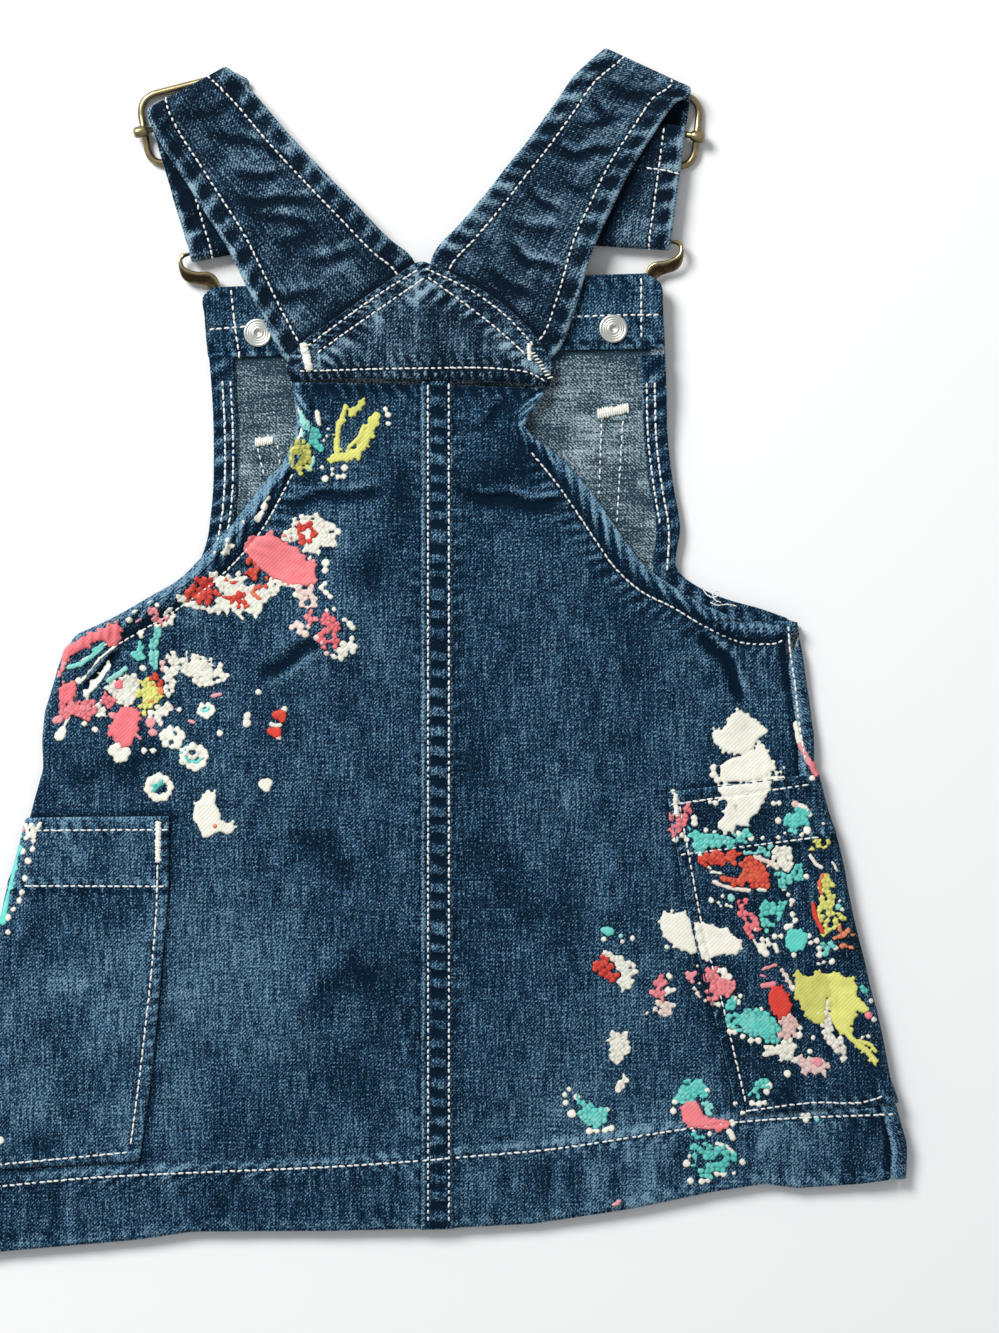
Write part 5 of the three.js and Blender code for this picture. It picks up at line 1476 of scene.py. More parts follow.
# %% Bent wire and turned shapes
def skin(name, grid, wear, closed, material):
    """A closed skin over rings [ring, point]: joined end to end, or capped."""
    rings, sides, _ = grid.shape
    points = grid.reshape(-1, 3)
    r = np.arange(rings if closed else rings - 1)[:, None]
    k = np.arange(sides)[None, :]
    ra, ka = (r + 1) % rings, (k + 1) % sides
    faces = np.stack([r * sides + k, r * sides + ka, ra * sides + ka, ra * sides + k], -1).reshape(-1, 4).tolist()
    if not closed:
        points = np.concatenate([points, grid[:1].mean(1), grid[-1:].mean(1)])
        wear = np.concatenate([wear.reshape(-1), [0.3, 0.3]])
        for j in range(sides):
            faces.append([(j + 1) % sides, j, rings * sides])
            faces.append([(rings - 1) * sides + j, (rings - 1) * sides + (j + 1) % sides, rings * sides + 1])
    first = np.array([f for f in faces if len(f) == 4])
    if signed_volume(points, first) < 0:
        faces = [f[::-1] for f in faces]
    made = make_mesh(name, points, faces, {"wear": np.ravel(wear)})
    made.data.materials.append(material)
    return made


def wire_rings(path, radius, sides=16):
    """Rings round a closed path of points, and how far each point faces up, used as a painted highlight on the wire's
    upper side.
    """
    way = np.roll(path, -1, 0) - np.roll(path, 1, 0)
    way /= np.linalg.norm(way, axis=1, keepdims=True)
    side = np.cross(way, [0.0, 0, 1])
    side /= np.linalg.norm(side, axis=1, keepdims=True)
    over = np.cross(side, way)
    angle = np.linspace(0, 2 * math.pi, sides, endpoint=False)
    turn = side[:, None] * np.cos(angle)[None, :, None] + over[:, None] * np.sin(angle)[None, :, None]
    return path[:, None] + turn * radius, np.clip(turn[..., 2], 0, 1)


# %% Slides
SLIDES = {  # the frame's corners, and the bar's bare end and hidden end
    "left": ([(-96.8, 195.6), (-60.6, 204.9), (-56.4, 180.6), (-92.6, 171.5)], (-98.4, 182.9), (-60.5, 190.6)),
    "right": ([(58.5, 202.2), (100.6, 195.6), (97.8, 170.8), (55.7, 177.7)], (102.0, 181.3), (60.5, 188.4)),
}
KNOB = [  # the bar's bare end, each along and radius
    (0.0, 0.5), (0.12, 1.1), (0.5, 1.65), (1.1, 1.95), (2.2, 2.05), (3.8, 2.0), (4.6, 1.75), (5.1, 1.35), (5.4, 1.1)]


def rounded_frame(corners, radius, steps=11):
    """A closed path with its corners turned on arcs."""
    path = []
    for k, corner in enumerate(corners):
        corner = np.array(corner)
        before, after = np.array(corners[k - 1]), np.array(corners[(k + 1) % len(corners)])
        a = corner + (before - corner) / np.linalg.norm(before - corner) * radius
        b = corner + (after - corner) / np.linalg.norm(after - corner) * radius
        t = np.linspace(0, 1, steps)[:, None]
        path += ((1 - t) ** 2 * a + 2 * t * (1 - t) * (0.15 * (a + b) / 2 + 0.85 * corner) + t**2 * b).tolist()
        following = after + (corner - after) / np.linalg.norm(corner - after) * radius
        path += lerp(b, following, np.linspace(0, 1, 16)[1:-1, None]).tolist()
    return np.array(path)


def make_slide(side):
    corners, bare, hidden = (SLIDES[side][0], *map(np.array, SLIDES[side][1:]))
    flat = rounded_frame(corners, 6.0)
    over_bar = beside([bare.tolist(), hidden.tolist()], flat[:, 0], flat[:, 1])[1]
    path = np.column_stack([flat, 1.3 + 0.9 * bump(over_bar, 4.0)])
    # the upper side of the frame's wire is paler: a painted highlight
    rings, wear = wire_rings(path, 1.25)
    frame_piece = skin("slide_frame_" + side, rings, wear, True, BRASS)
    long = np.linalg.norm(hidden - bare)
    along = (hidden - bare) / long
    across = np.array([-along[1], along[0]])
    profile = KNOB + [(10, 1.1), (20, 1.1), (long - 3, 1.1), (long - 0.5, 1.0), (long, 0.4)]
    angle = np.linspace(0, 2 * math.pi, 20, endpoint=False)
    rings = np.array([[(*(bare + along * u + across * r * math.cos(a)), 3.75 + r * math.sin(a)) for a in angle]
                      for u, r in profile])
    # the upper half of the bar is paler: a painted highlight
    shine = np.tile(np.clip(np.sin(angle), 0, 1), (len(profile), 1))
    bar_piece = skin("slide_bar_" + side, rings, shine, False, BRASS)
    wear_it(bar_piece, slot="antique_brass")
    wear_it(frame_piece, "slide_" + side, slot="antique_brass")


for side in STRAPS:
    make_slide(side)

# %% Hooks
HOOK_STATIONS = [  # the strip's rim and foot on its left half, each across, up, height
    (0, 0.8, 3.7, 0, -0.8, 3.7), (-16.5, 0.8, 3.7, -16.5, -0.8, 3.7), (-19.2, 0.8, 3.9, -19.4, -0.9, 3.4),
    (-20.9, 0.6, 4.3, -21.2, -1.4, 2.8), (-21.9, -0.4, 4.6, -22.7, -3.2, 2.0), (-22, -2.2, 4.8, -23.2, -6.4, 1.5),
    (-21.2, -4.2, 4.8, -22.8, -9.4, 1.4), (-19.2, -5.8, 4.8, -20.8, -11.4, 1.4),
    (-16.6, -6.8, 4.7, -18.2, -12.4, 1.5), (-13.4, -7.4, 4.5, -16.4, -13.6, 1.7),
    (-11.4, -8.8, 4.2, -15.2, -15.2, 1.9), (-10.4, -11, 4.0, -14.2, -17.4, 2.3),
    (-10.1, -15.4, 3.8, -13.6, -20, 2.9), (-9.8, -21, 3.7, -13, -24, 3.5), (-8.6, -27, 3.6, -11.6, -29, 3.6),
    (-6, -31.8, 3.6, -8.8, -34, 3.6), (-3.2, -35.2, 3.6, -4.6, -38, 3.6), (0, -36.2, 3.6, 0, -39.2, 3.6),
]
STRIP = (  # round the strip's section: share of its width, half thickness, how rubbed
    (0.0, 0.0, 0.3), (0.12, 0.42, 0.1), (0.3, 0.5, 0.0), (0.7, 0.5, -0.2), (0.84, 0.62, 0.2), (0.94, 0.74, 1.1),
    (1.02, 0.5, 1.5), (1.05, 0.0, 1.7), (1.02, -0.5, 1.4), (0.94, -0.74, 0.9), (0.84, -0.62, 0.2),
    (0.7, -0.5, -0.2), (0.3, -0.5, 0.0), (0.12, -0.42, 0.1))


def make_hook(side):
    (bx, by), (ux, uy) = BUTTONS[side], STRAPS[side]["up"]
    half = along_line(HOOK_STATIONS, np.linspace(0, 1, 150))
    other = half[-2:0:-1] * (-1, 1, 1, -1, 1, 1)
    line = np.concatenate([half, other])
    place = lambda p: np.stack([bx + uy * p[:, 0] + ux * (p[:, 1] + HOOK_BAR),
                                by - ux * p[:, 0] + uy * (p[:, 1] + HOOK_BAR), p[:, 2]], -1)
    rim, foot = place(line[:, :3]), place(line[:, 3:])
    foot = foot + 0.3 * (rim - foot)  # the flange is narrower than the solid's
    way = np.roll(rim, -1, 0) - np.roll(rim, 1, 0)
    way /= np.linalg.norm(way, axis=1, keepdims=True)
    face = rim - foot
    wide = np.linalg.norm(face, axis=1, keepdims=True)
    face /= wide
    out = np.cross(way, face)
    out /= np.linalg.norm(out, axis=1, keepdims=True)
    rings, wear = [], []
    for along, off, rub in STRIP:
        rings.append(foot + face * wide * along + out * off)
        wear.append(np.full(len(rim), rub))
    made = skin("hook_loop_" + side, np.stack(rings, 1), np.stack(wear, 1), True, BRASS)
    return wear_it(made, "hook_" + side, slot="antique_brass")


for side in STRAPS:
    make_hook(side)

# %% Buttons and their tack heads
BUTTON_PROFILE = [  # each radius and height, from the head on the front up to the ringed disc
    (0.02, 0), (4.5, 0), (6.2, 0.25), (7.4, 0.7), (8.1, 1.4), (8.2, 1.9), (7.9, 2.4), (7.3, 2.7),
    (1.6, 2.7), (1.5, 3.0),
    (1.5, 7.2), (4.6, 7.3), (4.9, 7.5), (5.0, 7.8), (4.85, 8.05), (4.5, 8.2), (4.1, 8.16), (3.95, 8.04), (3.75, 8.02),
    (3.55, 8.14), (3.35, 8.16), (3.15, 8.04), (2.95, 8.02), (2.75, 8.14), (2.55, 8.16), (2.35, 8.04), (2.15, 8.02),
    (1.95, 8.16), (1.5, 8.2), (1.2, 8.1), (0.9, 7.85), (0.5, 7.6), (0.02, 7.55),
]


def make_button(side):
    bx, by = BUTTONS[side]
    angle = np.linspace(0, 2 * math.pi, 56, endpoint=False)
    rings = np.array([[(bx + r * math.cos(a), by + r * math.sin(a), z) for a in angle] for r, z in BUTTON_PROFILE])
    rub = np.array([0.9 if z > 8.1 else 0.1 if z > 7.3 else 0.5 for _, z in BUTTON_PROFILE])
    made = skin("tack_button_" + side, rings, np.repeat(rub[:, None], 56, 1), False, SILVER)
    return wear_it(made, "button_" + side, slot="silver_metal")


for side in BUTTONS:
    make_button(side)

# %% [markdown]
# ## Paint
# Splashes of fabric paint lie on the cloth as thin skins with round lips, thickest in the drops.
# Flat decals would hide that, so each splash is a real skin. A field over the dress says how far
# inside the paint a point lies: it is the largest of many dabs, which are drops, strokes and
# patches whose rims are bitten into lobes. The skin is cut from a fine lattice where the field is
# above zero, its rim is moved onto the zero line, and it is lifted from the height of the cloth.

# %% Dabs of paint
LATTICE = 0.46
LEFT_END, LOW_END = -150.0, -200.0


def drops(*places, hue=0.0):
    """Single drops, each across, up and radius."""
    return [("drop", [place[:2]], place[2], hue, 0.0) for place in places]


def ring(x, y, reach, count, bead, hue=0.0):
    """Drops that stand in a ring, as where a thick drop has split."""
    turns = 2 * math.pi * (np.arange(count) + 0.3 * np.sin(5.0 * np.arange(count))) / count
    return drops(*((x + reach * math.cos(a), y + 0.92 * reach * math.sin(a), bead * (1 + 0.2 * math.sin(3 * k)))
                   for k, a in enumerate(turns)), hue=hue)


def stroke(width, *points, hue=0.0, dry=0.0):
    return [("stroke", list(points), width / 2, hue, dry)]


def patch(*points, hue=0.0, dry=0.0):
    """Paint that broke into beads along its rim."""
    return [("patch", list(points), 0.0, hue, dry)]


def slab(*points, hue=0.0):
    """Paint pressed on whole, with only a ragged rim."""
    return [("slab", list(points), 0.0, hue, 0.0)]


def inside_depth(points, x, y):
    """How deep a place lies inside a closed outline; below zero outside."""
    depth = np.full(np.shape(x), 1e9)
    inside = np.zeros(np.shape(x), bool)
    for (ax, ay), (bx, by) in zip(points, points[1:] + points[:1]):
        t = np.clip(((x - ax) * (bx - ax) + (y - ay) * (by - ay)) / ((bx - ax) ** 2 + (by - ay) ** 2 + 1e-9), 0, 1)
        depth = np.minimum(depth, np.hypot(x - ax - t * (bx - ax), y - ay - t * (by - ay)))
        crosses = (ay > y) != (by > y)
        inside ^= crosses & (x < (bx - ax) * (y - ay) / (by - ay + 1e-12) + ax)
    return np.where(inside, depth, -depth)


BEAD = 1.95


def beads(x, y):
    """The nearest bead of a jittered lattice: distances to it and to the next, its middle and tint."""
    table = np.random.default_rng(300).uniform(-0.46, 0.46, (96, 96, 2))
    tints = np.random.default_rng(299).uniform(-1, 1, (96, 96))
    i0, j0 = np.floor(x / BEAD).astype(int), np.floor(y / BEAD).astype(int)
    first, second = np.full(np.shape(x), 9.0), np.full(np.shape(x), 9.0)
    mx, my, tint = np.zeros(np.shape(x)), np.zeros(np.shape(x)), np.zeros(np.shape(x))
    for di in (-1, 0, 1):
        for dj in (-1, 0, 1):
            i, j = i0 + di, j0 + dj
            px = (i + 0.5 + table[i % 96, j % 96, 0]) * BEAD
            py = (j + 0.5 + table[i % 96, j % 96, 1]) * BEAD
            away = np.hypot(x - px, y - py)
            nearer = away < first
            second = np.where(nearer, first, np.minimum(second, away))
            mx, my = np.where(nearer, px, mx), np.where(nearer, py, my)
            tint = np.where(nearer, tints[i % 96, j % 96], tint)
            first = np.where(nearer, away, first)
    return first, second, mx, my, tint


def dab_depth(dab, x, y):
    kind, points, reach, _, _ = dab
    if kind in ("patch", "slab"):
        return inside_depth(points, x, y)
    if kind == "drop":
        return reach - np.hypot(x - points[0][0], y - points[0][1])
    return reach - np.abs(beside(points, x, y)[1])


class Paint:
    """The field of one colour over the lattice."""

    def __init__(self, seed):
        self.x, self.y = np.meshgrid(np.arange(LEFT_END, 175, LATTICE), np.arange(LOW_END, 96, LATTICE))
        self.field = np.full(self.x.shape, -9.0)
        self.hue = np.zeros(self.x.shape)
        self.lumpy = np.zeros(self.x.shape)
        self.rng = np.random.default_rng(seed)
        self.seed = seed

    def window(self, x0, y0, x1, y1):
        cols = slice(max(0, int((x0 - LEFT_END) / LATTICE)), int((x1 - LEFT_END) / LATTICE) + 2)
        rows = slice(max(0, int((y0 - LOW_END) / LATTICE)), int((y1 - LOW_END) / LATTICE) + 2)
        return rows, cols

    def press(self, where, depth, hue):
        field = self.field[where]
        deeper = depth > field
        field[deeper] = depth[deeper]
        self.hue[where][deeper] = hue

    def dab(self, dab):
        kind, points, reach, hue, dry = dab
        (x0, y0), (x1, y1) = np.min(points, axis=0) - reach - 2, np.max(points, axis=0) + reach + 2
        where = self.window(x0, y0, x1, y1)
        x, y = self.x[where], self.y[where]
        depth = dab_depth(dab, x, y)
        if dry:
            depth = np.minimum(depth, 1.0) - 2.6 * dry * smooth(-0.3, 0.5, soft_noise(x, y, 1.1, self.seed + 3))
        if kind == "patch":
            first, _, mx, my, tint = beads(x, y)
            at_bead = dab_depth(dab, mx, my)
            beaded = np.where(at_bead > -0.35 + 0.3 * tint, 1.22 + 0.16 * tint - first, -2.0)
            if dry:
                beaded = np.where(tint > 1 - 1.3 * dry, -2.0, beaded)
            self.press(where, np.maximum(beaded, depth - 1.5), hue)
            self.lumpy[where] = np.where(beaded > -0.2, 1.0, self.lumpy[where])
            return
        wide = kind == "slab" or (kind == "stroke" and reach > 1.1)
        self.press(where, depth - (0.3 if wide else 0.0), hue)
        if wide:
            self.teeth(dab, (x0, y0, x1, y1), hue)

    def teeth(self, dab, box, hue):
        """Small round teeth along the rim of a wide dab."""
        x0, y0, x1, y1 = box
        gx, gy = np.meshgrid(np.arange(x0, x1, 1.6), np.arange(y0, y1, 1.6))
        gx = gx + self.rng.uniform(-0.6, 0.6, gx.shape)
        gy = gy + self.rng.uniform(-0.6, 0.6, gx.shape)
        depth = dab_depth(dab, gx, gy)
        near = (depth > -0.25) & (depth < 0.9) & (self.rng.uniform(0, 1, gx.shape) > 0.2)
        for px, py in zip(gx[near], gy[near]):
            r = self.rng.uniform(0.45, 0.85)
            where = self.window(px - r - 1, py - r - 1, px + r + 1, py + r + 1)
            self.press(where, r - np.hypot(self.x[where] - px, self.y[where] - py), hue)


def round_the_side(x, y):
    """How far the cloth has dropped where it rolls round a side."""
    pocket = np.where((y < -44) & (y > hem_y(x) + 24), 3.5, 2.4)
    gap = np.maximum(side_gap(x, y), 0.12)
    short = np.clip(pocket - gap, 0, None)
    return pocket - np.sqrt(np.maximum(pocket**2 - short**2, 0))


def on_pocket(side, x, y):
    rows = POCKETS[side]["rows"]
    way = POCKETS[side]["way"]
    inner = np.array([p for p, _ in rows])[::-1]
    line_x = np.interp(y, inner[:, 1], inner[:, 0])
    (ax, ay), outer = rows[0]
    far = 140 * way
    top = ay + (outer - ay) * (x - ax) / (far - ax)
    (cx, cy), low = rows[-1]
    bottom = cy + (low - cy) * (x - cx) / (160 * way - cx)
    return (way * (x - line_x) > 0) & (y < top) & (y > bottom)


def dress_height(x, y):
    """Top of the dress as it lies, whichever piece is uppermost."""
    high = back_height(x, y)
    high = np.where((x > SEAM_LEFT) & (x < SEAM_RIGHT), seam_height(x, y), high)
    for side in POCKETS:
        high = np.where(on_pocket(side, x, y), pocket_height(side)(x, y), high)
    return high - round_the_side(x, y)


def make_paint(name, colour, dabs, material, seed, bare=(), lift=0.0):
    paint = Paint(seed)
    for dab in dabs:
        paint.dab(dab)
    for dab in bare:
        (x0, y0), (x1, y1) = np.min(dab[1], axis=0) - 2, np.max(dab[1], axis=0) + 2
        where = paint.window(x0, y0, x1, y1)
        paint.field[where] = np.minimum(paint.field[where], -dab_depth(dab, paint.x[where], paint.y[where]))
    close = paint.field > -1.2
    x, y = paint.x[close], paint.y[close]
    field = paint.field
    field[close] += 0.2 * soft_noise(x, y, 0.9, seed) + 0.14 * soft_noise(x, y, 2.2, seed + 1)
    field[close] = np.minimum(field[close], side_gap(x, y) - 0.1)
    inside = (field > 0).astype(int)
    corners = inside[:-1, :-1] + inside[1:, :-1] + inside[:-1, 1:] + inside[1:, 1:]
    r, c = np.nonzero(corners >= 2)
    quads = np.stack([r, r, r + 1, r + 1], -1) * field.shape[1] + np.stack([c, c + 1, c + 1, c], -1)
    used, faces = np.unique(quads, return_inverse=True)
    faces = faces.reshape(-1, 4)
    slope_y, slope_x = np.gradient(np.clip(field, -3, 3), LATTICE)
    depth = field.reshape(-1)[used]
    sx, sy = slope_x.reshape(-1)[used], slope_y.reshape(-1)[used]
    steep = sx**2 + sy**2 + 0.05
    move = np.where(depth < 0, np.clip(-depth / steep, 0, 0.45), 0)
    x, y = paint.x.reshape(-1)[used] + sx * move, paint.y.reshape(-1)[used] + sy * move
    depth = np.maximum(depth, 0)
    full = np.sqrt(1 - (1 - np.clip(depth / 0.9, 0, 1)) ** 2)
    under = dress_height(x, y)
    first, second, _, _, tint = beads(x, y)
    lumpy = paint.lumpy.reshape(-1)[used]
    crack = lumpy * (1 - smooth(0.0, 0.5, second - first)) * lerp(1.0, 0.55, smooth(0.8, 2.4, depth))
    thick = 0.1 + full * (0.3 + 0.05 * soft_noise(x, y, 1.6, seed + 2)) - 0.08 * smooth(1.4, 3, depth)
    thick -= 0.2 * crack * full
    top = np.stack([x, y, under + lift + thick], -1)
    low = np.stack([x, y, under - 0.3], -1)
    edges = np.concatenate([faces[:, [k, (k + 1) % 4]] for k in range(4)])
    key = edges[:, 0].astype(np.int64) * len(used) + edges[:, 1]
    back = edges[:, 1].astype(np.int64) * len(used) + edges[:, 0]
    rim = edges[~np.isin(key, back)]
    n = len(used)
    walls = np.stack([rim[:, 1], rim[:, 0], rim[:, 0] + n, rim[:, 1] + n], -1)
    faces = np.concatenate([faces, faces[:, ::-1] + n, walls])
    hue = paint.hue.reshape(-1)[used]
    hue = np.clip(hue + 0.14 * soft_noise(x, y, 2.5, seed + 4) + 0.08 * lumpy * tint, 0, 1)
    cracked = crack * (0.75 + 0.5 * soft_noise(x, y, 3.0, seed + 5))
    shade = 0.5 * (1 - full) + (0.6 if colour == "white" else 0.95) * cracked + 0.06 * (1 - tint) * lumpy * full
    shade = np.clip(shade, 0, 1)
    place = np.column_stack([np.tile(x, 2), np.tile(y, 2), np.zeros(2 * n)])
    notes = {"hue": np.tile(hue, 2), "shade": np.tile(shade, 2), "place": place}
    piece = make_mesh(name, np.concatenate([top, low]), faces.tolist(), notes)
    piece.data.materials.append(material)
    return wear_it(piece, slot="paint_" + colour)


# %% The paint film, as a node group
def build_film():
    group, given, result = new_group(
        "Paint film",
        [("Place", VECTOR, None), ("Hue", FLOAT, 0.0), ("Shade", FLOAT, 0.0), ("Main", COLOUR, (1, 1, 1, 1)),
         ("Other", COLOUR, (1, 1, 1, 1)), ("Deep", COLOUR, (0, 0, 0, 1))],
        [("Colour", COLOUR), ("Roughness", FLOAT), ("Height", FLOAT)],
    )
    place = given["Place"]
    turned = add(group, "ShaderNodeMapping", None, Vector=place, Scale=(-1.0, 1.0, 1.0)).outputs[0]
    rib = add(group, "ShaderNodeTexWave", {"bands_direction": "DIAGONAL"}, Vector=turned, Scale=0.42,
              Distortion=1.6, Detail=2.0, Detail_Scale=2.0).outputs["Fac"]
    fine = stretched_noise(group, place, (1.6, 1.6, 1.0), 3.0, 0.6)
    broad = stretched_noise(group, place, (0.3, 0.3, 1.0), 2.0)
    tone = mixed(group, given["Hue"], given["Main"], given["Other"])
    streak = sums(group, "MULTIPLY_ADD", rib, -0.3, sums(group, "MULTIPLY_ADD", broad, 0.9, 0.1), clamp=True)
    tone = mixed(group, sums(group, "MULTIPLY", streak, 0.2), tone, given["Deep"])
    speck = sums(group, "MULTIPLY_ADD", fine, 4.0, -2.55, clamp=True)
    tone = mixed(group, sums(group, "MULTIPLY", speck, 0.42), tone, given["Deep"])
    tone = mixed(group, sums(group, "MULTIPLY", given["Shade"], 0.8, clamp=True), tone, given["Deep"])
    group.links.new(tone, result["Colour"])
    group.links.new(sums(group, "MULTIPLY_ADD", fine, 0.25, 0.42), result["Roughness"])
    group.links.new(sums(group, "MULTIPLY_ADD", rib, 0.4, fine), result["Height"])
    return group


FILM = build_film()


def paint_material(name, main, other, deep):
    material, tree, inputs = new_material(name, Specular_IOR_Level=0.35)
    film = use_group(tree, FILM, Place=note(tree, "place", "Vector"), Hue=note(tree, "hue"),
                     Shade=note(tree, "shade"), Main=main, Other=other, Deep=deep)
    link_looks(tree, inputs, film, 0.35, 0.0003)
    return material


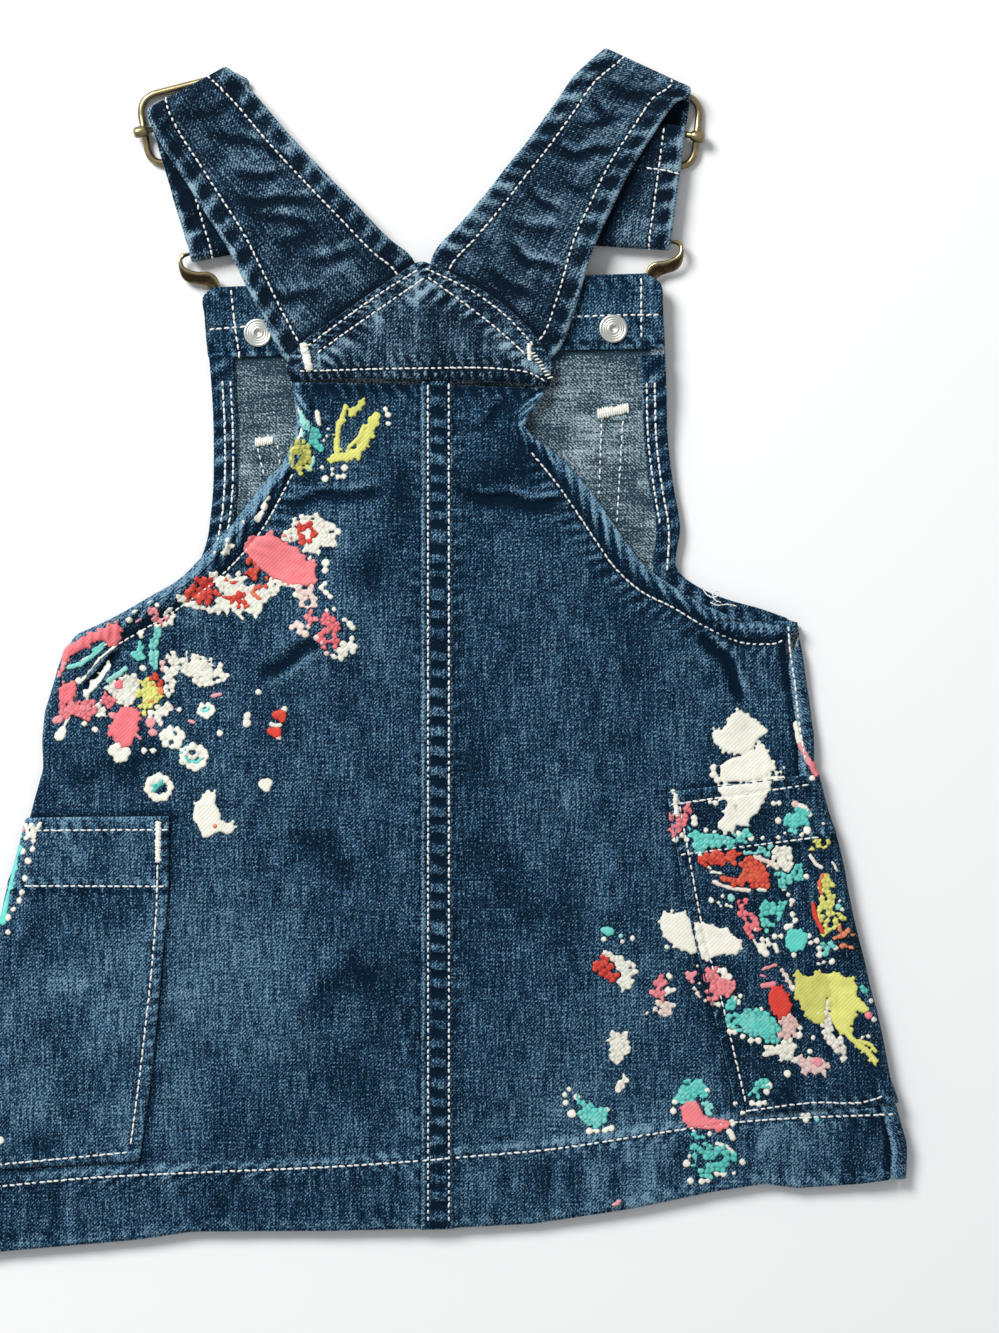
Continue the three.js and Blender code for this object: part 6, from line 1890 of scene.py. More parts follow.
# %% White
WHITE = (
    # armpit and shoulder side, left
    stroke(2.6, (-115, -14), (-111, -9), (-107, -3.6)) + stroke(0.9, (-116, -8.6), (-110, -1), (-104, 3.6))
    + stroke(0.6, (-117, -2), (-111, 0.8)) + stroke(0.6, (-112, 1.4), (-107.6, 4))
    + patch((-113, -20), (-112, -17.5), (-109.5, -14.6), (-108.2, -18.5), (-109, -21), (-111, -21.6))
    + patch((-109, -13), (-107, -10), (-104.5, -8), (-101.5, -7.5), (-99, -5.6), (-96, -6.2), (-96, -9), (-97, -11),
            (-96.5, -14), (-97.5, -17), (-100, -18), (-103, -17.5), (-105, -16.5), (-105, -14))
    + patch((-86.5, -1), (-85, 0.6), (-82.8, 0.2), (-83, -4), (-83.6, -9), (-84.2, -13), (-87, -14.8), (-88.5, -14.5),
            (-87.3, -12), (-87.5, -9), (-88.8, -7), (-87, -5))
    + patch((-90, -17), (-87, -15.5), (-85, -17), (-84.5, -18.5), (-86.5, -20), (-87, -22.5), (-88.5, -24.5),
            (-90, -23), (-92.5, -22), (-93, -20.5), (-91.5, -19))
    + drops((-105.5, -33.5, 1.9), (-103, -35.5, 2.2), (-101, -34, 1.8), (-104, -32, 1.6), (-101.5, -36, 1.4),
            (-104, -36.6, 1.2), (-115.6, -24, 1.1), (-111.8, -26, 1.2), (-94.7, -33.6, 1.1), (-91.4, -33.6, 1.1),
            (-85.4, -28.4, 1.7), (-83.2, -29.6, 1.5), (-123.2, -26.5, 1.6), (-124, -28.2, 1.9), (-117.5, -9, 1.2),
            (-82.4, -19.2, 1.0), (-99.7, 12.4, 1.3), (-90, 17.6, 1.0), (-95.8, 7.8, 1.2), (-95.5, 6.4, 0.8),
            (-95, -4.6, 1.2))
    + ring(-84.7, -28.8, 3.4, 11, 1.25) + stroke(1.2, (-121, -22), (-122.6, -25.4))
    + stroke(1.7, (-98, 15), (-95, 17.4))
    + stroke(1.4, (-93.4, 18.4), (-89.6, 20.8)) + stroke(1.3, (-103.6, 13.4), (-100.4, 14.4))
    + patch((-86.6, 15.6), (-85, 15.8), (-84, 13), (-84.2, 11.4), (-86, 10.2), (-89, 9), (-92.4, 8.4), (-92, 10),
            (-89.5, 10.8), (-87, 12))
    + drops((-88.2, -2.8, 1.1), (-88, -5, 1.0), (-85.2, -18.2, 0.9), hue=0.9)
    # middle of the left half
    + patch((-82.2, -5), (-82, -2), (-81.5, 0), (-79.5, 0.7), (-76, 0.5), (-74, -0.6), (-71, -1.5), (-70.5, -3.4),
            (-69.5, -4), (-67.5, -3.4), (-66, -5), (-65.4, -6.6), (-66.5, -8.6), (-69, -9), (-70, -10.5),
            (-72.5, -11.6), (-74.6, -10.6), (-75.5, -9), (-78.5, -8.6), (-81, -7.5))
    + ring(-72.9, -19.4, 2.3, 9, 1.05) + drops((-72.6, -20.4, 1.2))
    + drops((-58.4, -21.2, 1.3), (-58.5, -23.9, 1.6), (-68, -27.3, 1.2), (-54.5, -13, 1.1), (-45.5, -19.2, 1.1))
    + stroke(1.5, (-50, -24.2), (-48.5, -24.8), (-46.8, -24.4)) + drops((-47.5, -28.8, 1.1), hue=0.6)
    + ring(-77.2, -35.6, 4.0, 12, 1.3)
    + patch((-79.4, -37.6), (-79, -34), (-76.6, -32.6), (-74.6, -34.4), (-75, -38), dry=0.35)
    + ring(-89.4, -46.4, 4.1, 13, 1.3)
    + patch((-91.6, -49), (-91.4, -44), (-88.4, -43.6), (-87, -47), (-89, -49.8), dry=0.5)
    + drops((-52.8, -45.2, 1.9), (-51.2, -44.8, 1.7), (-51.8, -46.5, 1.6))
    + slab((-75.5, -50.4), (-73, -47.8), (-69.4, -47.6), (-68.8, -49.5), (-69.4, -51.5), (-68.2, -54), (-67.4, -57.4),
           (-65.5, -58.4), (-63.4, -58.4), (-62.2, -60.5), (-63.5, -62.6), (-66, -63.2), (-68, -62), (-70.5, -63.2),
           (-72.5, -64.5), (-74.6, -63.6), (-75.2, -61.5), (-76.7, -59), (-77.7, -56), (-77.2, -53))
    # upper left
    + stroke(2.0, (-42.2, 92), (-41.4, 87), (-39.8, 82)) + stroke(1.8, (-34, 85), (-33.2, 81))
    + stroke(2.6, (-40.4, 80), (-39.4, 77))
    + drops((-31, 61.8, 1.3), (-28.5, 63.3, 0.9), (-26.6, 62.3, 1.0), (-24.6, 62.6, 1.0), (-24.4, 65.5, 1.3),
            (-28.6, 65, 0.7), (-32.2, 65.7, 0.8), (-30.5, 76.5, 0.6), (-30, 79, 0.6), (-31.5, 75, 0.6),
            (-10, 86, 1.0), (-9, 84, 1.2), (-9, 81, 1.0), (-53, 54, 1.2), (-52.5, 52, 1.5), (-51, 55, 0.8),
            (-59.2, 46.8, 1.2), (-71.7, 35.2, 1.2))
    + stroke(2.2, (-54.8, 47.4), (-53.6, 49.6))
    + patch((-65, 43), (-63, 46.7), (-61.3, 47.2), (-61.6, 43.5), (-62.6, 41.2))
    + patch((-70.4, 36.8), (-67.5, 39.7), (-65.5, 42.1), (-63.2, 39.5), (-64.4, 35.3), (-67.5, 34.7))
    + patch((-42.2, 45.5), (-41.6, 48.2), (-38, 49), (-34, 48.5), (-31, 47.2), (-29.8, 44.5), (-29.3, 42.5),
            (-26.8, 41.5), (-27, 37.8), (-29.5, 36.8), (-31.5, 37.4), (-34, 34), (-36.5, 34.3), (-39.5, 37),
            (-41, 39.3), (-44, 39.3), (-45.7, 41), (-43.5, 43.6))
    + drops((-28.7, 44.8, 1.4), (-26.5, 43, 1.3), (-45, 42.7, 1.0), (-43, 43.6, 0.9))
    + patch((-82.7, 21.5), (-81, 23), (-79.5, 21.5), (-79.5, 18.6), (-72, 18.4), (-68, 20), (-68, 23), (-70, 26),
            (-72.5, 29.7), (-69, 28.2), (-66, 27.7), (-62.5, 28.5), (-58.6, 27.7), (-58, 24), (-53, 23.5),
            (-50.5, 26.7), (-46.8, 25), (-48.8, 21.5), (-50.3, 18.5), (-54, 15.8), (-55.3, 13), (-57.3, 13.3),
            (-57.8, 15.8), (-60, 13.3), (-63, 14.8), (-67, 14.6), (-69, 14.2), (-72, 15.6), (-77, 15.8),
            (-81.2, 16.8))
    + stroke(1.7, (-50, 26.4), (-46, 25), (-40, 24)) + drops((-54.2, 16, 1.1), (-45.4, 41, 1.2))
    + drops((-31, 32.3, 1.5), (-31.1, 29.6, 1.2), (-31.2, 25, 1.0), (-32.6, 23.8, 1.0), (-30.7, 21.8, 1.0),
            (-29.4, 20.4, 1.0), (-28, 16, 1.0), (-30.5, 15.5, 0.9), (-24.2, 12.3, 1.0), (-22.5, 10.8, 1.2),
            (-21.5, 9.5, 1.1), (-21.6, 5.8, 1.1), (-24.8, 4, 1.2), (-22.4, 3.4, 1.4), (-20.8, 3, 1.2),
            (-21.5, 1.2, 1.1), (-23.8, 2, 1.0), (-25.8, 1.2, 1.3), (-27.3, 2, 1.0), (-28, -0.6, 1.1),
            (-25.5, -1, 1.1), (-24, 0.2, 1.0), (-41.5, 21, 1.1))
    + patch((-40.4, 25), (-36, 25.5), (-34.3, 23), (-33.8, 20), (-35.5, 17.3), (-37.5, 15.8), (-40.6, 17.8),
            (-41.4, 20), hue=0.7, dry=0.25)
    + drops((-39.5, 21, 1.0), (-37, 22, 1.2), (-34.5, 17.5, 0.9), (-43, 9.6, 1.0), (-41, 11, 1.2), (-39.5, 10, 1.2),
            (-38, 7.3, 1.4), (-36.8, 10, 0.9), (-40, 8, 1.1), (-34, 6, 1.2), (-32.5, 4.6, 1.2), (-30.5, 0.6, 1.0),
            hue=0.55)
    # left pocket
    + patch((-138, -59), (-134, -58), (-130.5, -59.5), (-131, -63), (-133.5, -65.4), (-137, -65))
    + drops((-135, -72, 1.2), (-136, -78, 1.1), (-137, -83, 1.2), (-138, -86, 1.1), (-142, -92, 1.3),
            (-142, -97, 1.0), (-133.4, -68, 1.0), (-137.2, -68.6, 1.2), (-145, -170, 1.6), (-140.2, -89, 1.0))
)
WHITE += (
    # right side above the pocket
    slab((104, -27.5), (105, -25.8), (107.5, -25.8), (110, -23), (112.3, -19.4), (115, -19.2), (117, -20.6),
         (120, -22.6), (124.6, -26.4), (122.3, -28.5), (120, -30.5), (119, -33), (115, -35), (111, -34.7),
         (108, -33.7), (105, -30.7))
    + slab((107.3, -38.5), (110, -36.3), (114, -34.6), (118, -33), (120, -30.6), (122.7, -30.8), (124.7, -35),
           (126.2, -39), (124, -41.7), (121.5, -43.2), (117.5, -44.6), (112, -44.7), (109, -44.7), (106.8, -42))
    + drops((104.7, -39.4, 1.3), (105, -42, 1.4), (106.3, -43.8, 1.3), (108.5, -43.5, 1.2), (105.5, -51.8, 1.2),
            (103.5, -51.5, 0.8), (107, -50.5, 0.7), (124.5, -41.5, 0.8), (127, -41.5, 0.8), (128.5, -41, 0.6),
            (129.5, -39.5, 0.6), (126, -39.5, 0.8))
    + slab((105.6, -45.3), (112, -44.8), (118, -44.8), (125.2, -43.8), (125.2, -47.5), (123, -50.2), (121.5, -53.2),
           (120.5, -55.7), (118, -57.2), (116.5, -60.4), (113, -59.7), (112, -62.3), (109, -62.3), (105.8, -60.7),
           (106.3, -58), (108.3, -56), (108.3, -54), (109.8, -52), (108.3, -50.5), (106.8, -48))
    + stroke(1.6, (118, -44), (124, -43.4), (129, -43)) + stroke(2.0, (133.6, -24), (134.6, -29), (136, -33))
    + drops((139.3, -43, 1.2), (98, -57, 1.3), (98.1, -59, 1.2), (91.5, -64.6, 1.2), (94, -63, 1.0),
            (95.5, -64.6, 1.0), (90.9, -47.8, 0.9), (102.3, -61.4, 0.9), (105, -61.9, 0.8), (109, -62.2, 0.9),
            (113.5, -62.6, 1.1), (117.9, -64, 1.1), (100, -69, 1.0))
    + stroke(1.9, (134.6, -52.6), (137, -53.4), (138.4, -56)) + drops((133.4, -52.2, 1.3), hue=0.8)
    + drops((127.5, -58, 1.3), (137.5, -61.3, 1.4), (135.5, -63, 0.9), (127.5, -63.8, 0.7), (125.8, -52, 0.9),
            (127.8, -51.7, 1.0), (129.8, -62.3, 0.7), (143.3, -59, 0.8), (122, -64, 0.8))
    # on the right pocket
    + stroke(1.0, (104, -76), (107.6, -76.4))
    + stroke(1.5, (105.2, -79.4), (108, -80.9), (113, -81.9), (117.4, -82.4), hue=0.3)
    + stroke(2.4, (120, -71), (123.4, -72), (126, -73.6), hue=0.5) + stroke(1.6, (120.6, -81.9), (122.8, -82.2))
    + stroke(1.2, (100.2, -70.4), (101.6, -73), (103.6, -74.6))
    + patch((124.6, -69.6), (127, -67.4), (129, -67.2), (131, -69.3), (132.6, -72.5), (132.2, -75.6), (128, -76.6),
            (126, -74), (125.6, -71.5))
    + drops((137.3, -77.5, 1.1), (131.3, -68, 1.0), (131.6, -70.4, 0.9), (104, -85.8, 1.1), (108, -84.4, 0.7),
            (106.6, -86.8, 0.8), (107.5, -87.8, 0.7), (109.2, -87.5, 0.8), (111, -88, 0.6), (129.4, -81.6, 1.0))
    + stroke(1.5, (138.6, -70), (140.4, -73), (142.6, -74.4)) + stroke(1.0, (146.5, -72.6), (148, -75.6))
    + stroke(1.2, (118, -98), (120.4, -102.2))
    + drops((122, -102, 1.4), (123, -104.4, 1.5), (121.4, -103.4, 1.2), (131, -84, 0.8), (132.2, -86, 1.2),
            (132, -87.6, 0.8), (132.5, -90.8, 1.1), (133.3, -93, 1.1), (130.5, -95.2, 1.3), (132, -94.8, 1.0),
            (121.8, -99.5, 1.0), (126.3, -98.5, 1.1), (128.5, -98.5, 1.0), (138.3, -98.3, 1.0), (138.7, -100.7, 0.9),
            (133, -105, 1.0), (141, -100, 1.0), (141.7, -102.5, 1.0), (142, -105, 1.2), (147.5, -102.5, 1.0),
            (146.3, -107.2, 1.1), (143.5, -107.5, 0.6), (141.5, -108, 0.7), (149, -86, 0.7), (149.8, -89, 0.8),
            (119.4, -95.8, 0.9))
    + stroke(1.6, (123.6, -99.6), (124.4, -101.4)) + stroke(1.7, (126.2, -101.4), (127, -103.8))
    # the large white splash across the pocket's edge
    + slab((86, -92), (87.5, -89.8), (91, -90.2), (95, -89.6), (96.5, -91.8), (98.5, -93.3), (103, -93.8),
           (107, -95.3), (110, -95.1), (111.5, -97.3), (114, -99.3), (115.3, -102), (113.2, -105), (109, -105),
           (105, -106.2), (102, -107.6), (100, -104.8), (97, -105), (92, -102.8), (88.3, -100.2), (86.2, -96))
    + drops((88.6, -102.4, 0.9), (106.5, -110.4, 1.0), (108.5, -110.8, 1.4), (110.2, -112.8, 1.3), (108, -113.5, 0.9),
            (89.5, -112.5, 1.2), (89, -117.5, 1.4), (91, -117.3, 1.0), (88, -118.6, 1.0), (91, -122.8, 0.9))
    + patch((84, -121.2), (89, -120.8), (90.6, -123), (90.2, -127), (89.2, -128.4), (88, -125.6), (85, -124.5),
            (81.6, -125.6), (83.4, -123.6), hue=0.45)
    + drops((99.3, -109, 0.7), (100, -115, 0.6), (99.3, -118.5, 0.9), (100, -119.6, 0.7), (98.3, -116.8, 0.8),
            (102, -121, 0.6), hue=0.3)
    + stroke(2.2, (129, -110.4), (130.2, -113), (132, -116), hue=0.6, dry=0.3) + drops((132.6, -116.6, 1.2))
    # drips under the yellow, and the lower splashes
    + patch((142.3, -122), (145, -120), (146, -126), (147, -131), (149.5, -135), (152, -138), (152.2, -141),
            (150, -142.3), (147, -139.8), (145, -136), (142.3, -132), (141.8, -127), hue=0.12)
    + drops((160, -121, 0.9), (161, -127.5, 0.9), (159, -133.5, 0.9), (156.8, -133.8, 0.7), (139.6, -134, 0.8),
            (112, -120.3, 1.0), (114.3, -119.3, 0.9), (113.5, -121.4, 1.1), (106.5, -122.3, 1.0), (104.5, -122, 0.9),
            (110.5, -131.8, 1.0), (112.3, -131.8, 1.1), (115, -133.5, 1.0), (118, -135, 1.2), (120.5, -135, 1.2),
            (121.5, -123.9, 0.9), (134.6, -133, 1.3), (135, -130.5, 1.0), (138.7, -138.7, 1.0), (130.7, -146.5, 1.3))
    + patch((127.4, -128.5), (129, -126.6), (132.5, -126.8), (134.7, -129), (135.2, -132), (134, -134.2),
            (130.5, -134.2), (128, -132.7), hue=0.95)
    + patch((121.3, -136.3), (124, -136.8), (127, -135.2), (131, -134.8), (134.7, -135.8), (134.7, -138.7),
            (131.7, -139.7), (133.6, -142.2), (130, -142.8), (126.5, -141.3), (123.5, -141.3), (121.8, -139))
    + patch((132.8, -141), (135, -139.3), (137.5, -140.3), (141, -140.3), (144.2, -142.5), (145.3, -145.7),
            (142.5, -147.2), (138.5, -147), (135.5, -145.7), (134.3, -143.5), hue=0.75)
    + drops((124, -150.5, 1.5), (123.3, -152.6, 1.1), (118.3, -156.7, 1.1), (120.8, -157, 1.1), (122.6, -156.7, 1.0),
            (112.5, -157, 0.9), (115, -160.3, 1.1), (90.8, -159.8, 1.1), (111.4, -163.7, 1.3), (137, -162.6, 1.2),
            (136, -161, 0.7), (138.2, -160.8, 0.8), (91.4, -156.4, 1.1), (102.4, -152.4, 1.2))
    + stroke(2.2, (110.4, -166.6), (111.6, -169)) + stroke(1.4, (106, -171), (109.5, -172), (111.8, -174.4))
    + drops((95.5, -178, 1.3), (96.5, -175.5, 0.9), (96.8, -184.3, 1.3), (100.8, -184.3, 1.1), (103, -184, 0.9),
            (106, -181.7, 1.0), (108.5, -181.8, 1.2), (112, -181.5, 0.8), (115, -177.5, 1.2), (103.5, -167.5, 0.9),
            (98, -166.6, 0.7))
    + patch((65.4, -104.8), (69, -103.4), (71.2, -105.2), (73, -105.8), (75.6, -105.8), (77.8, -109), (76.7, -110.5),
            (78.3, -114.5), (75.7, -116.2), (73.5, -119.2), (71.9, -117), (70.9, -114), (72, -111.5), (70, -108.5))
    + drops((66.5, -99.6, 1.0), (73, -100.3, 0.8), (76.5, -99.3, 1.0), (78, -111, 0.8))
    + patch((68.3, -134), (70, -132.3), (72.5, -131.2), (74.7, -133), (75.1, -137), (74.3, -140), (72.7, -142.9),
            (69.4, -142.8), (68.6, -139.5), (68.5, -136.5), hue=0.05)
    + patch((68.9, -154.2), (70.3, -152), (71.9, -149), (73, -147.2), (75, -147.3), (74.9, -150.5), (72, -153.4),
            hue=0.05)
    + drops((61.5, -166.9, 1.2), (64, -166.6, 1.1), (67, -166.4, 1.1), (69.2, -165.8, 1.2), (54.2, -152.3, 0.9),
            (52.8, -154.2, 1.1), (53.2, -157, 1.2), (57, -155, 1.3), (55.2, -160.8, 1.5), (67.6, -159.4, 1.1))
)
BARE = (
    stroke(1.1, (-78.7, 1.4), (-78.9, -2.4)) + stroke(0.7, (96.6, -90), (98.6, -99), (100.3, -107))
    + stroke(0.9, (-118, -13), (-112, -6), (-105.4, 1.4)) + stroke(0.5, (-73, -4.6), (-70.6, -4.2))
    + stroke(0.6, (109.4, -35.6), (114.6, -35.2)) + stroke(0.5, (117.6, -44.1), (122, -43.5))
    + stroke(0.5, (119, -33), (120, -30.6))
    + stroke(0.6, (112.6, -53), (113, -54.4)) + stroke(0.5, (91.2, -56.6), (91.8, -59.6))
)

# %% Coral, red, teal and yellow
CORAL = (
    slab((-124.2, -1.5), (-123.2, 2), (-120, 5), (-115, 7.8), (-110, 9.8), (-105, 12.2), (-102.8, 10.5),
         (-102.3, 7.5), (-101.8, 5.5), (-104, 3.3), (-107, 2.8), (-109, 4.8), (-112, 4.6), (-115, 2), (-117.5, 0.8),
         (-119.5, 1), (-120.5, -1.5), (-122, -2.7))
    + patch((-125.6, -6), (-124.6, -3.6), (-122.2, -4.4), (-122.4, -7), (-124.4, -8.6), hue=0.5)
    + drops((-122.6, -3.2, 1.1), hue=0.9)
    + slab((-124.7, -12), (-123, -9.8), (-119.5, -9.3), (-117.3, -11.5), (-118.5, -14), (-119.5, -16), (-122, -17.5),
           (-124.7, -16))
    + patch((-124.7, -16.6), (-124.7, -19.6), (-122, -21.8), (-119, -21.2), (-116, -22.2), (-113, -21.6),
            (-111.8, -19), (-111.8, -16), (-115, -15.3), (-117, -16), (-119, -16), (-121, -16.6), hue=0.25)
    + drops((-124.5, -22.5, 1.5), (-125.6, -23, 1.2), (-106, -21, 1.1), (-92.4, -23.6, 1.9), (-92, -27.3, 1.3),
            (-91, -27.2, 1.1), hue=0.75)
    + patch((-109.6, -16), (-109, -13.4), (-107, -12.8), (-105.3, -14.5), (-105.3, -17), (-107.5, -18.7),
            (-109.2, -18), hue=0.2)
    + drops((-103.5, -10.5, 1.7), (-103, -9.6, 1.1), hue=0.15)
    + slab((-105, -21), (-103.5, -18.8), (-100.5, -17.8), (-98, -18.3), (-95.8, -20), (-95.8, -22.5), (-96.8, -26),
           (-97.8, -29), (-98.8, -32), (-101.5, -32.8), (-103.6, -31), (-105, -28.5), (-108.2, -27.6), (-107, -25),
           (-105.5, -23.5))
    + stroke(0.9, (-98, -27), (-96, -29.5), hue=0.8) + stroke(0.8, (-97.4, 11.6), (-95.6, 12.6), hue=0.9)
    + patch((-93.8, 15.4), (-91, 16.7), (-88.8, 15), (-88.3, 13.5), (-90, 12.3), (-92, 13.3), hue=0.7)
    + patch((-91.2, 11.4), (-88.5, 13.4), (-86.6, 13.6), (-87, 12), (-88.5, 10.8), hue=0.4)
    + stroke(1.5, (-70.6, -14.3), (-68, -13.7), hue=0.9) + stroke(1.4, (-78.8, -23.1), (-77.2, -23.5), hue=1.0)
    + stroke(0.8, (-97.5, -44.6), (-95.4, -45.6), (-94, -46.6), hue=0.9, dry=0.5)
    + slab((-60.2, 37.5), (-58, 41.2), (-54.5, 42), (-50, 42.6), (-47, 41.2), (-45, 39.2), (-41.5, 38.2),
           (-39.4, 35.6), (-37.8, 33.2), (-34.3, 32.2), (-34.1, 28), (-34.8, 25), (-38, 23.8), (-43, 24.3),
           (-48.5, 26.3), (-53.5, 29.3), (-55.5, 31.5), (-58, 34.5), hue=0.12)
    + drops((-50, 42.9, 0.9), (-45.6, 41.8, 0.9), (-43.2, 41, 0.8), (-35.2, 32.8, 0.8), (-34.6, 26.2, 0.8), hue=0.5)
    + patch((-38.4, 14), (-36, 16), (-33.8, 13.5), (-34.8, 11), (-38.5, 11.8), hue=0.35)
    + patch((-32.2, 12.5), (-30, 14.3), (-27.3, 12), (-25.8, 9.5), (-25.3, 6.5), (-26.3, 4), (-28.5, 1.2), (-31, 2.8),
            (-33.5, 5.3), (-32.5, 7), (-31, 9), dry=0.25)
    + stroke(2.2, (135, -31), (137.4, -35.6), (138.6, -38), hue=0.8)
    + stroke(2.8, (138.8, -38), (140.6, -41.6), hue=0.2)
    + patch((89.2, -56.5), (91, -55.2), (92, -57), (93, -55), (94, -53.2), (96.5, -52.5), (98.3, -54), (97.2, -55.7),
            (95.7, -56.5), (96.2, -59), (94.6, -61.7), (92, -62.8), (90.3, -63.8), (89.7, -60), hue=0.3)
    + patch((113.8, -86), (116, -85.2), (117.7, -89), (119, -91), (120.7, -93), (121.2, -96), (119, -96.7),
            (118, -98.8), (116.3, -96), (114.8, -91.5), hue=0.1, dry=0.3)
    + patch((101.8, -109.2), (104.5, -109), (107, -110.8), (110, -112.5), (111.7, -114.5), (112.2, -117),
            (110.5, -119.7), (107, -120.2), (104, -121.8), (102.9, -117), (101.5, -112), hue=0.3)
    + drops((95.8, -111.5, 0.9), (97.3, -112.3, 1.1), (98.5, -111.5, 0.8), (97.5, -114.3, 0.8), (96, -113, 0.8),
            hue=0.7)
    + patch((83.2, -118.5), (83.8, -115), (86, -112.3), (88.5, -111.8), (89.7, -114.5), (88, -117), (88.2, -120.5),
            (85.5, -121.2), (82.8, -120.7), hue=0.35)
    + stroke(1.7, (121, -112), (124, -113.4), hue=0.5, dry=0.3) + stroke(1.0, (122, -110), (126.8, -108.4), hue=0.7)
    + stroke(2.0, (122, -115.6), (126, -115), hue=0.5) + drops((159, -126, 1.3), hue=0.4)
    + drops((141.4, -142.6, 1.7), (140, -142.2, 1.1), hue=0.7)
    + slab((93.2, -161), (93.3, -158), (95.4, -155.8), (99, -155.8), (100.7, -158.5), (101.6, -161.3),
           (104.5, -162.1), (109, -162.3), (110.8, -163.3), (110.2, -166.2), (104, -166.3), (97, -165.8),
           (94.3, -163.7), hue=0.2)
    + stroke(1.8, (70, -192.4), (72, -191.6), hue=0.9, dry=0.3)
    + patch((-137.6, -60.4), (-135.6, -60), (-136, -62.4), hue=0.8, dry=0.3)
)
RED = (
    patch((-93.3, -8.5), (-92, -6.3), (-90, -5.3), (-88.6, -7.5), (-87.8, -10.5), (-88, -13), (-89.5, -12),
          (-90.7, -9.5), dry=0.05)
    + drops((-91.2, -10.4, 0.7), (-91.6, -16, 0.8), (-93, -16.6, 0.6), (-88.8, -12.6, 1.4), (-94.6, -10, 0.6),
            hue=0.7)
    + patch((-41.3, 43), (-39.5, 46), (-36, 46.2), (-34.2, 44.5), (-34.8, 41), (-35.4, 38.3), (-38.5, 38.8),
            (-40.8, 41), hue=0.1, dry=0.12)
    + patch((-58.2, 33.3), (-56, 33.3), (-54.6, 29.5), (-52.5, 28), (-50.6, 26), (-50.8, 24), (-53.5, 23.3),
            (-56.5, 22), (-57.2, 26), (-58.7, 29.5), hue=0.15, dry=0.1)
    + patch((-79.8, 19.3), (-78.7, 24), (-76, 27.7), (-73, 28.6), (-71.3, 26), (-70.5, 24.5), (-68.3, 23.5),
            (-68.3, 21.8), (-70, 19.8), (-72, 18.6), (-76, 18.1), hue=0.05, dry=0.05)
    + patch((-66.2, 19.5), (-64, 21.7), (-60, 21.2), (-59.1, 18), (-58.3, 15.5), (-59.5, 14.3), (-62, 16.8),
            (-65, 18.1), hue=0.1, dry=0.12)
    + stroke(1.5, (-66, 26.4), (-63.6, 25.2), (-61.6, 25.8), hue=0.2, dry=0.2)
    + stroke(1.8, (-57, 22), (-54, 19.6), hue=0.6, dry=0.2)
    + stroke(1.0, (-68.6, 21), (-66, 20))
    + drops((-48.4, -21, 1.5), (-46.6, -20.9, 1.9), (-46.4, -22.4, 1.5), (-50, -26.6, 1.5), (-48.4, -27, 1.9))
    + drops((-69.8, -60, 0.9), hue=0.9)
    + patch((99.8, -70.6), (102, -68.8), (108, -69), (113.7, -69), (114.2, -71), (112, -73.2), (108, -73), (103, -74),
            (100.8, -72.7), hue=0.15)
    + patch((114.3, -72), (117, -70.3), (119.5, -70.8), (121.2, -73.5), (123.2, -76), (124.7, -77.5), (124.2, -80.7),
            (121, -81.2), (118, -80.2), (112, -80.7), (107, -79.7), (106.3, -77.6), (109, -77.3), (113, -77.8),
            (115.3, -76.5), (114.3, -74.5), hue=0.2)
    + stroke(1.5, (143, -77), (141.9, -79.4), (142.3, -83), hue=0.5, dry=0.05)
    + stroke(1.8, (139.5, -87), (140.6, -92), (143, -97), dry=0.1)
    + patch((145.8, -97), (149, -94.3), (152, -94), (153.6, -99), (153, -103), (150, -102.7), (146.8, -99.5), hue=1.0,
            dry=0.35)
    + slab((123.8, -119), (125, -115.8), (127.5, -115.3), (129.7, -117), (131.7, -120), (132.2, -123.5),
           (130.7, -126.7), (127.5, -127), (124.8, -124.6), (123.8, -122))
    + patch((62.8, -108), (65, -105.3), (67.5, -105.3), (69.7, -108), (71.7, -110), (70.7, -113.5), (68.5, -115.8),
            (65.5, -114.2), (63.2, -111), dry=0.12)
    + patch((-107.9, 9.4), (-106.2, 12.4), (-104.9, 12), (-106.6, 9.6), hue=1.0)
)
